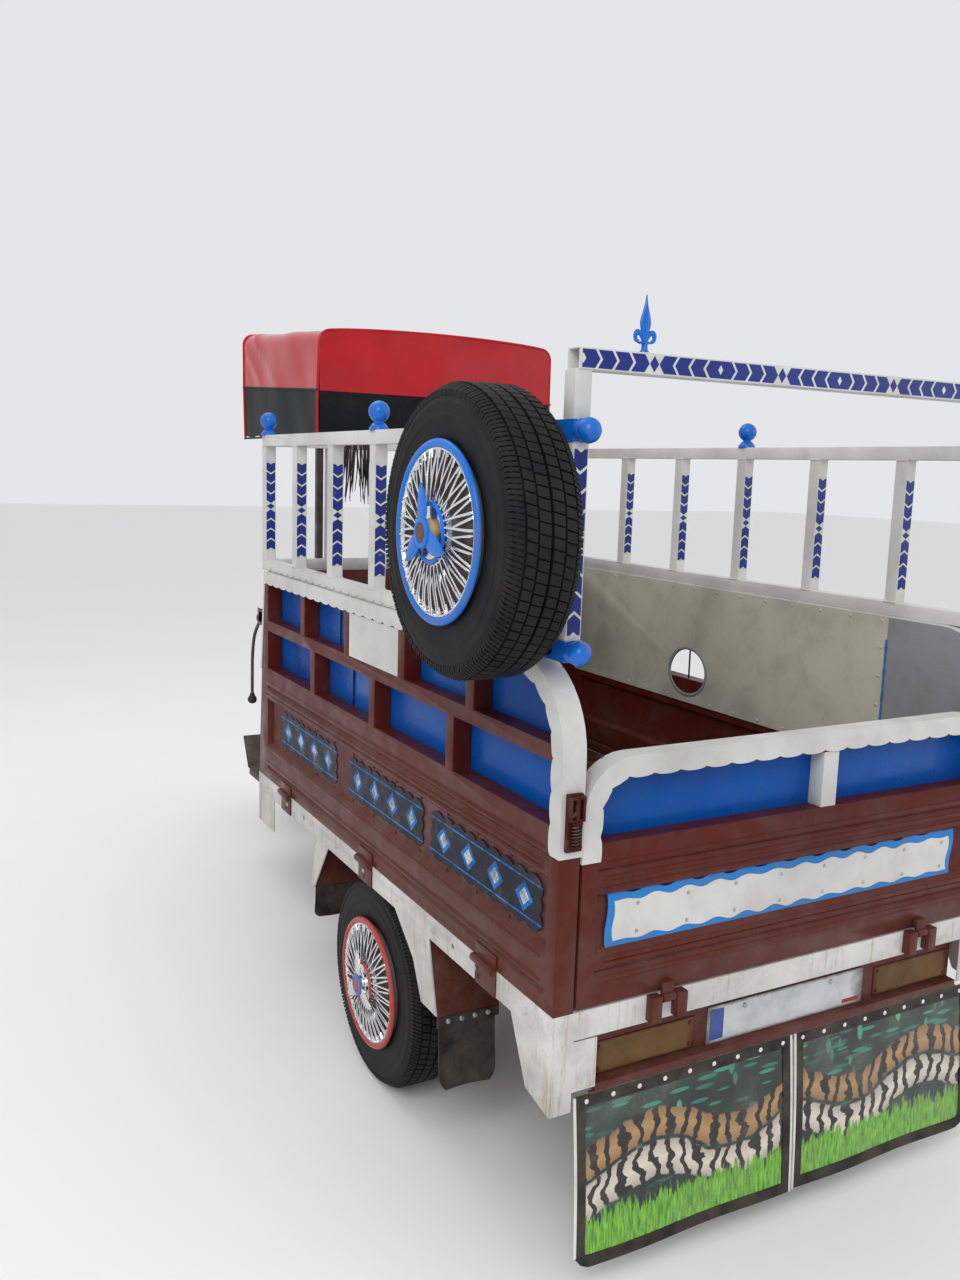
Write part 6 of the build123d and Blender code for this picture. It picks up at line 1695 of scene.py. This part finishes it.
def seats():
    """The padded cushion and backrest on their base."""
    padded_block("seat_cushion", 5, 0.010)
    padded_block("seat_back", 5, 0.007)
    dressed_copy("seat_base", "chassis", rounding=0.002)


def fuel_tank():
    """A rounded saddle tank with a seam flange and a cap, over its CAD outline."""
    low, high = node_box("fuel_tank")
    long, tall = high.x - low.x, 0.189
    top, middle = low.z + tall, low.z + tall * 0.36
    rings = []
    for t in (i / 26 for i in range(27)):
        ends = (1 - abs(2 * t - 1) ** 5.0) ** (1 / 2.6) if 0 < t < 1 else 0.02
        half = high.y * (0.78 + 0.22 * math.sin(math.pi * min(1, 0.15 + t * 0.75))) * ends
        rise = (0.90 + 0.10 * math.sin(math.pi * t)) * ends
        ring = []
        for c, s in (round_point(turn, 2 / 3.2) for turn in turns(32)):
            y, z = half * c, middle + (top - middle if s > 0 else middle - low.z) * rise * s
            if s < 0 and abs(y) < 0.045:
                z += 0.055 * (1 - abs(y) / 0.045) * ends
            ring.append((low.x + long * t, y, z))
        rings.append(ring)
    shell, cap, flange = bmesh.new(), bmesh.new(), bmesh.new()
    add_rings(shell, rings)
    profile = [(top - 0.006, 0.040), (top + 0.004, 0.040), (top + 0.006, 0.034), (top + 0.012, 0.034)]
    profile += [(high.z - 0.002, 0.030), (high.z, 0.024), (high.z, 0.001)]
    add_lathe(cap, profile, (low.x + long * 0.62, 0, 0), "z", 36)
    for side in SIDES:
        edge = [(ring[0][0], side * (max(p[1] for p in ring) + 0.0005), middle) for ring in rings[1:-1]]
        add_tube(flange, edge, 0.0035, 6)
    parts = [soften(part("shell", shell, "tank")), part("cap", cap, "chrome"), part("flange", flange, "tank")]
    joined("fuel_tank_shell", parts, replaces=("fuel_tank",), angle=50)


STEER_LEAN = math.radians(27)
STEER_TRAIL = 0.045  # of the axle ahead of the steering axis
LEG_Y = 0.105


def steer_point(ahead, side, up):
    """A point in the steering's own frame, its origin on the steering axis at the axle's height."""
    c, s = math.cos(STEER_LEAN), math.sin(STEER_LEAN)
    origin = node_centre("front_tyre") - Vector((c, 0, s)) * STEER_TRAIL
    return origin + Vector((c, 0, s)) * ahead + Vector((0, side, 0)) + Vector((-s, 0, c)) * up


def fork_fittings():
    """Ribbed boots on the fork's legs, and the bolts of its clamps."""
    boots, bolts = bmesh.new(), bmesh.new()
    ribs = [(0.0, 0.022)]
    for i in range(13):
        at = 0.010 + 0.205 * i / 13
        ribs += [(at, 0.0265), (at + 0.0052, 0.0325), (at + 0.0105, 0.0325), (at + 0.0145, 0.0265)]
    ribs.append((0.232, 0.022))
    for side in SIDES:
        leg = STEER_TRAIL, side * LEG_Y
        lathe_along(boots, steer_point(*leg, 0.325), steer_point(*leg, 0.560), ribs)
        for up in (0.587, 0.793):
            ends = [steer_point(STEER_TRAIL + ahead, side * LEG_Y, up) for ahead in (0.027, 0.0405)]
            lathe_along(bolts, *ends, [(0, 0.0075), (0.010, 0.0075), (0.012, 0.005)], 6)
        profile = [(0, 0.017), (0.006, 0.017), (0.008, 0.012), (0.0135, 0.012)]
        lathe_along(bolts, steer_point(*leg, 0.802), steer_point(*leg, 0.830), profile, 6)
    profile = [(0, 0.022), (0.008, 0.022), (0.010, 0.014), (0.014, 0.012)]
    lathe_along(bolts, steer_point(0, 0, 0.802), steer_point(0, 0, 0.85), profile, 6)
    piece("fork_boots", boots, "black_rubber", "steering", angle=45)
    piece("fork_bolts", bolts, "chrome", "steering", angle=40)


def headlamp():
    """The lamp's turned shell and its ribbed lens."""
    low, high = node_box("headlamp")
    start = Vector((low.x + 0.002, steer_point(0, 0, 0).y, (low.z + high.z) / 2))
    long = high.x - start.x
    rim = ((0.030, 0.084), (0.028, 0.0875), (0.010, 0.0875), (0.004, 0.083), (0.004, 0.078), (0.010, 0.076))
    bowl = [(0.0, 0.004), (0.004, 0.024), (0.018, 0.048), (0.042, 0.070), (0.075, 0.081)]
    pane = ((0.011, 0.077), (0.007, 0.074), (0.003, 0.060), (0.0008, 0.034), (0.0002, 0.002))
    parts = []
    for material, segments, foot, front in (("chrome", 44, bowl, rim), ("lens", 40, [], pane)):
        mesh = bmesh.new()
        profile = foot + [(long - back, radius) for back, radius in front]
        lathe_along(mesh, start, start + Vector((1, 0, 0)), profile, segments)
        parts.append(part("lamp", mesh, material))
    joined("headlamp_shell", parts, "steering", ("headlamp",), 40)


def bar_ends():
    """Ribbed grips on the bars and the levers ahead of them."""
    grips, levers = bmesh.new(), bmesh.new()
    low, high = node_box("grips")
    for side in SIDES:
        inner = Vector((high.x - 0.016, side * 0.254, high.z - 0.019))
        outer = Vector((low.x + 0.014, side * (high.y - 0.001), low.z + 0.0195))
        long, ahead = (outer - inner).length, (outer - inner).normalized()
        profile = [(0, 0.0155), (0.002, 0.0195), (0.007, 0.0195), (0.009, 0.0158)]
        for i in range(12):
            at = 0.012 + (long - 0.022) * i / 12
            profile += [(at, 0.0150), (at + 0.0015, 0.0165), (at + 0.0055, 0.0165), (at + 0.0070, 0.0150)]
        profile += [(long - 0.007, 0.0178), (long - 0.002, 0.0178), (long, 0.013)]
        lathe_along(grips, inner, outer, profile, 22)
        forward = Vector((ahead.y * side, -ahead.x * side, 0)).normalized()
        root = inner - ahead * 0.020
        lathe_along(levers, root - ahead * 0.010, root + ahead * 0.012, [(0, 0.0165), (0.022, 0.0165)], 20)
        bend = ((0.016, 0), (0.032, 0.010), (0.040, 0.045), (0.036, 0.085), (0.032, 0.120))
        bend = [root + forward * f + ahead * a for f, a in bend]
        add_tube(levers, smooth_path(bend, 5), 0.0048, 8, flat=0.7)
        add_ball(levers, bend[-1], 0.0066, 12)
    piece("ribbed_grips", grips, "grip", "steering", ("grips",), angle=40)
    piece("hand_levers", levers, "steel", "steering", angle=45)


def front_end():
    """Fork with boots and bolts, mudguard, headlamp with a ribbed lens, bars, grips and levers."""
    for node, material, rounding, angle in (
        ("fork", "steel", 0.0015, 40),
        ("front_fender", "tank", 0.0012, 40),
        ("handlebar", "chrome", 0.0008, 45),
    ):
        dressed_copy(node, material, "steering", rounding, angle, 1)
    fork_fittings()
    headlamp()
    bar_ends()


# Running gear


def engine():
    """Crankcase, finned cylinder, head, covers with screws, carburettor and kick shaft."""
    low, high = node_box("engine")
    long, wide, tall = high - low
    middle_y = (low.y + high.y) / 2

    def at(x, y, z):
        return Vector((low.x + long * x, middle_y + wide * y, low.z + tall * z))

    case, covers, fin, barrel, cleaner, kick = (bmesh.new() for _ in range(6))
    outline = ((0.0, 0.14), (0.06, 0.04), (0.30, 0.0), (0.86, 0.0), (1.0, 0.10), (1.0, 0.36))
    outline += ((0.88, 0.47), (0.40, 0.50), (0.20, 0.46), (0.02, 0.36))
    points = [(low.x + long * x, low.z + tall * z) for x, z in outline]
    add_prism(case, points, "y", middle_y - wide * 0.30, middle_y + wide * 0.30)
    screws, cover = [], at(0.66, 0, 0.23)
    for side in SIDES:
        for centre, radius, deep in ((cover, 0.074, 0.46), (at(0.26, 0, 0.26), 0.050, 0.42)):
            face, reach = wide * 0.30, wide * deep
            profile = [(face - 0.002, radius), (face + 0.010, radius), (reach - 0.012, radius * 0.93)]
            profile += [(reach - 0.004, radius * 0.80), (reach, radius * 0.60), (reach, 0.001)]
            add_lathe(covers, [(side * along, r) for along, r in profile], centre, "y", 40)
        unit = raised(dome(0.0042, 0.003, outward(side)), 0.067)
        place = (cover.x, side * (wide * 0.30 + 0.0095), cover.z)
        screws.append(ring_of("screws", unit, "steel", 8, place))
    outline = [round_point(turn, 0.45) for turn in turns(40)]
    outline = [(long * 0.235 * c, wide * 0.35 * s) for c, s in outline]
    add_prism(fin, outline, "z", 0, 0.0028)
    fins = row_of(fin, "alloy", 15, at(0.62, 0, 0.515), (0, 0, tall * 0.40 / 15))
    add_lathe(barrel, [(0, 0.043), (tall * 0.46, 0.043)], at(0.62, 0, 0.46), "z", 28)
    base = at(0.62, 0, 0)
    for share_x, share_y, foot, head in ((0.98, 0.90, 0.90, 0.97), (0.70, 0.62, 0.965, 1.0)):
        points = [(base.x + x * 0.96 * share_x, base.y + y * 0.96 * share_y) for x, y in outline]
        add_prism(barrel, points, "z", low.z + tall * foot, low.z + tall * head)
    profile = [(-0.052, 0.020), (-0.022, 0.020), (-0.020, 0.026), (0.030, 0.026), (0.036, 0.014)]
    add_lathe(barrel, profile, at(0.24, 0, 0.72), "x", 22)
    add_lathe(barrel, [(-0.045, 0.020), (0.034, 0.020)], at(0.22, 0, 0.72), "z", 20)
    profile = [(wide * a, r) for a, r in ((-0.26, 0.030), (-0.25, 0.034), (0.25, 0.034), (0.26, 0.030))]
    add_lathe(cleaner, profile, at(0.11, 0.0, 0.62), "y", 28)
    bends = ((0, 0, 0), (0.0, wide * 0.05, 0.01), (-0.02, wide * 0.06, 0.06), (-0.03, wide * 0.06, 0.11))
    add_tube(kick, smooth_path([at(0.30, 0.42, 0.20) + Vector(bend) for bend in bends], 5), 0.0062, 10)
    parts = [
        part("crankcase", case, "alloy", 0.010, 3, 20),
        part("covers", covers, "alloy", 0.002, 2, 30),
        fins,
        part("cylinder", barrel, "alloy", 0.0015, 2, 30),
        part("cleaner", cleaner, "chassis", 0.002, 2, 30),
        part("kick_lever", kick, "steel"),
    ]
    joined("engine_unit", parts + screws, replaces=("engine",), angle=35)


def spring_bolts():
    """U-bolts with nuts and plates that hold the leaf springs to the axle."""
    axle = node_centre("rear_tyre_left")
    low, high = node_box("leaf_springs")
    mesh = bmesh.new()
    for side in SIDES:
        y = side * (high.y - 0.03)
        for dx in (-0.034, 0.034):
            for dy in (-0.040, 0.040):
                foot = Vector((axle.x + dx, y + dy, low.z - 0.016))
                up = Vector((0, 0, 1))
                add_tube(mesh, [foot, foot + up * 0.086], 0.0055, 8)
                lathe_along(mesh, foot + up * 0.002, foot + up * 0.02, [(0, 0.0095), (0.009, 0.0095)], 6)
        add_box(mesh, (axle.x - 0.048, axle.x + 0.048), (y - 0.048, y + 0.048), (low.z - 0.006, low.z))
    piece("spring_bolts", mesh, "dark_steel", "chassis", (), 0.0008, 40, 1)


def exhaust_shield():
    """A curved shield on the exhaust and the clamps at its ends."""
    y, z = -0.250, 0.422
    first = math.degrees(0.4) - 60
    section = arc(y, z, 0.0505, first, first + 120, 10) + arc(y, z, 0.0522, first + 120, first, 10)
    mesh = bmesh.new()
    add_rings(mesh, [[(1.56 + 0.38 * i / 12, *p) for p in section] for i in range(13)])
    for x in (1.545, 1.965):
        add_lathe(mesh, [(-0.008, 0.0475), (0.008, 0.0475)], (x, y, z), "x", 36)
    piece("exhaust_shield", mesh, "steel", angle=40)


def footboard_tread():
    """Raised lozenges in rows on the footboards, each row turned the other way."""
    x, top = node_box("footboards")[0].x + 0.03, 0.4002
    rows = []
    for side in SIDES:
        for k in range(9):
            turn, shift = (0.7, 0.0125) if k % 2 else (-0.7, 0)
            c, s = math.cos(turn), math.sin(turn)
            outline = ((-0.011, 0), (0, 0.0032), (0.011, 0), (0, -0.0032))
            outline = [(x * c - y * s, x * s + y * c) for x, y in outline]
            unit = bmesh.new()
            add_rings(unit, [[(x * r, y * r, z) for x, y in outline] for r, z in ((1, 0), (0.6, 0.0016))])
            start = (x + shift, side * (0.212 + 0.0275 * k), top)
            seed = len(rows) + 1
            rows.append((unit, "iron", 20, start, (0.030, 0, 0), (0, 0, 0.02), 0.05, seed))
    rows_piece("footboard_tread", rows)


def running_gear():
    """Axle, springs with U-bolts, propeller shaft, exhaust with a shield, footboards and frame."""
    for node, material, rounding, angle in (
        ("rear_axle", "iron", 0.002, 40),
        ("leaf_springs", "iron", 0.0008, 35),
        ("prop_shaft", "steel", 0.0012, 40),
        ("exhaust", "hot_steel", 0.0015, 45),
        ("footboards", "iron", 0.0012, 40),
        ("chassis_frame", "chassis", 0.0018, 40),
        ("spare_bracket", "chassis", 0.0015, 40),
    ):
        dressed_copy(node, material, "chassis", rounding, angle, 1)
    spring_bolts()
    exhaust_shield()
    footboard_tread()


def bed_shell():
    """The bed's sheets, rails, gates, railings and arch from their CAD copies, edges rounded."""
    for node, material, rounding in (
        ("bed_frame", "white_rusty", 0.0022),
        # the bed floor takes the darker maroon, which paints shade in the bed
        ("bed_floor", "maroon_inside", 0.0008),
        ("skirt_plates", "white_rusty", 0.0010),
        ("side_gate_left", "maroon", 0.0020),
        ("side_gate_right", "maroon", 0.0020),
        ("gate_sheets", "blue_sheet", 0.0006),
        ("headboard", "maroon", 0.0020),
        ("side_railing_left", "white", 0.0022),
        ("side_railing_right", "white", 0.0022),
        ("front_railing", "white", 0.0022),
        ("rear_arch", "white", 0.0022),
        ("light_board", "maroon", 0.0012),
        ("tailgate", "maroon", 0.0020),
        ("tailgate_sheet", "blue_sheet", 0.0006),
        ("tailgate_stanchion", "white", 0.0012),
    ):
        dressed_copy(node, material, "tailgate" if node.startswith("tailgate") else "chassis", rounding)
    weld, reach = bmesh.new(), POST / 2 + 0.0004
    for side in SIDES:
        for i in range(POSTS):
            x, y = FIRST_POST + POST_STEP * i, side * POST_Y
            corners = rectangle((x - reach, x + reach), (y - reach, y + reach))
            for z in (RAILING_LOW + POST, RAILING_HIGH - POST):
                path = []
                for (ax, ay), (bx, by) in zip(corners, corners[1:] + corners[:1]):
                    for t in (k / 6 for k in range(6)):
                        wobble = 0.0005 * math.sin(13 * t + i + side)
                        path.append((ax + (bx - ax) * t, ay + (by - ay) * t, z + wobble))
                add_tube(weld, path + [(*corners[0], z)], 0.0019, 6)
    piece("railing_welds", weld, "white", angle=60)


def corner_boxes():
    """The rust-streaked boxes at the rear corners, between the rail and the skirt."""
    top = node_box("skirt_plates")[1].z
    mesh = bmesh.new()
    for side in SIDES:
        y = side * (HALF - 0.108), side * (HALF - 0.0005)
        add_box(mesh, (-0.0015, 0.002), y, (top - 0.110, top - 0.003))
    piece("corner_boxes", mesh, "white_rusty", "chassis", (), 0.0006, 40, 1)


# Stage


def stage():
    """Pale floor, soft lamps, a pale world for the camera and the photograph's camera."""
    scene = bpy.context.scene
    mesh = bmesh.new()
    mesh.faces.new([mesh.verts.new((x, y, 0)) for x, y in rectangle((-40, 40), (-40, 40))])
    floor = link_object("studio_floor", mesh, [finish("studio_floor")])
    aim_at = Vector((-0.7, -0.1, 0.9))
    for name, place, size, power in (
        ("key_lamp", (-5.2, 4.0, 5.0), 4.0, 170),
        ("fill_lamp", (-4.5, -5.0, 3.2), 4.5, 30),
        ("top_lamp", (1.5, 1.0, 6.0), 4.0, 60),
    ):
        lamp = bpy.data.lights.new(name, "AREA")
        lamp.shape, lamp.size, lamp.energy = "DISK", size, power
        obj = bpy.data.objects.new(name, lamp)
        scene.collection.objects.link(obj)
        obj.location = place
        obj.rotation_euler = (aim_at - Vector(place)).to_track_quat("-Z", "Y").to_euler()
    scene.world = bpy.data.worlds.new("studio")
    scene.world.use_nodes = True
    g = Nodes(scene.world.node_tree)
    g.tree.nodes.clear()
    rays = g.node("ShaderNodeLightPath", output=("Is Camera Ray", "Is Glossy Ray", "Is Transmission Ray"))
    seen = g.math("MAXIMUM", g.math("MAXIMUM", rays[0], rays[1]), rays[2])
    soft = g.node("ShaderNodeBackground", {"Color": (0.99, 0.99, 1.0), "Strength": 0.78})
    pale = g.node("ShaderNodeBackground", {"Color": (0.78, 0.79, 0.80), "Strength": 1.0})
    mixed = g.node("ShaderNodeMixShader", {0: seen, 1: soft, 2: pale})
    g.set(g.tree.nodes.new("ShaderNodeOutputWorld").inputs[0], mixed)
    lens = bpy.data.cameras.new("camera")
    lens.sensor_width, lens.lens, lens.clip_end = 36, 30.593, 100
    camera = bpy.data.objects.new("camera", lens)
    right = Vector((-0.47478, -0.87961, 0.02935))
    up = Vector((0.14858, -0.04724, 0.98777))
    ahead = Vector((0.86747, -0.47334, -0.15312))
    turn = Matrix((right, up, -ahead)).transposed().to_4x4()
    camera.matrix_world = Matrix.Translation((-3.35125, 1.65148, 1.66579)) @ turn
    scene.collection.objects.link(camera)
    scene.camera = camera
    scene.view_settings.view_transform = "Standard"


# Add-on


def length_property(name, description, default, least, most):
    limits = {"default": default, "min": least, "max": most}
    return FloatProperty(name=name, description=description, unit="LENGTH", **limits)


def colour_property(name, description, *default):
    limits = {"default": default, "min": 0, "max": 1}
    return FloatVectorProperty(name=name, description=description, subtype="COLOR", size=3, **limits)


class TricycleSettings(bpy.types.PropertyGroup):
    """The sizes and colours that a user may change before the pieces are made."""

    trim_width: length_property(
        "Trim width", "Width of the white edge trims down to their notches", 0.030, 0.015, 0.040
    )
    scallop_depth: length_property(
        "Scallop depth", "Reach of the trims' round lobes", 0.008, 0.001, 0.015
    )
    scallop_pitch: length_property(
        "Scallop pitch", "Length of one lobe along the side gates", 0.064, 0.030, 0.120
    )
    band_height: length_property(
        "Black band height", "Height of the canopy's black band at its rear", 0.150, 0.050, 0.220
    )
    body_colour: colour_property("Gate colour", "Paint of the pressed gates", 0.092, 0.012, 0.0065)
    trim_colour: colour_property("Trim colour", "Enamel of rails and trims", 0.66, 0.66, 0.64)
    sheet_colour: colour_property(
        "Window sheet colour", "Sheet behind the gates' tubes", 0.0, 0.085, 0.40
    )
    finial_colour: colour_property("Finial colour", "Moulded balls and spears", 0.003, 0.135, 0.56)
    canopy_colour: colour_property("Canopy colour", "Vinyl of the canopy", 0.50, 0.007, 0.014)
    tread_blocks: IntProperty(
        name="Tread blocks", description="Blocks round each tyre", default=84, min=30, max=110
    )


def op(work):
    """An operator class that runs one group of pieces and takes its texts from the group's function."""

    def execute(self, context):
        work()
        return {"FINISHED"}

    name = work.__name__
    body = {"bl_idname": "tricycle." + name, "bl_label": name.replace("_", " ").capitalize()}
    body.update(bl_options={"REGISTER"}, __doc__=work.__doc__, execute=execute)
    return type("TRICYCLE_OT_" + name, (bpy.types.Operator,), body)


STEPS = (
    stage, bed_shell, corner_boxes, bed_trims, recess_plates, pressed_beads, band_panels, tapes, finial_set,
    spring_latches, lever, linings, bed_fasteners, hinge_sets, board_plates, rear_flap_pair, wheel_guards,
    wheels, rims, hubcaps, canopy, seats, fuel_tank, front_end, engine, running_gear,
)
OPERATORS = [op(work) for work in STEPS]


class TRICYCLE_PT_panel(bpy.types.Panel):
    """Lists the settings and every step."""

    bl_label = "Cargo Motor Tricycle"
    bl_idname = "TRICYCLE_PT_panel"
    bl_space_type = "VIEW_3D"
    bl_region_type = "UI"
    bl_category = "Tricycle"

    def draw(self, context):
        for name in TricycleSettings.__annotations__:
            self.layout.prop(context.scene.tricycle, name)
        for work in STEPS:
            self.layout.operator("tricycle." + work.__name__)


CLASSES = [TricycleSettings, *OPERATORS, TRICYCLE_PT_panel]


def register():
    for cls in CLASSES:
        bpy.utils.register_class(cls)
    bpy.types.Scene.tricycle = PointerProperty(type=TricycleSettings)


def unregister():
    del bpy.types.Scene.tricycle
    for cls in reversed(CLASSES):
        bpy.utils.unregister_class(cls)


def main():
    register()
    for work in STEPS:
        getattr(bpy.ops.tricycle, work.__name__)()


if __name__ == "__main__":
    main()
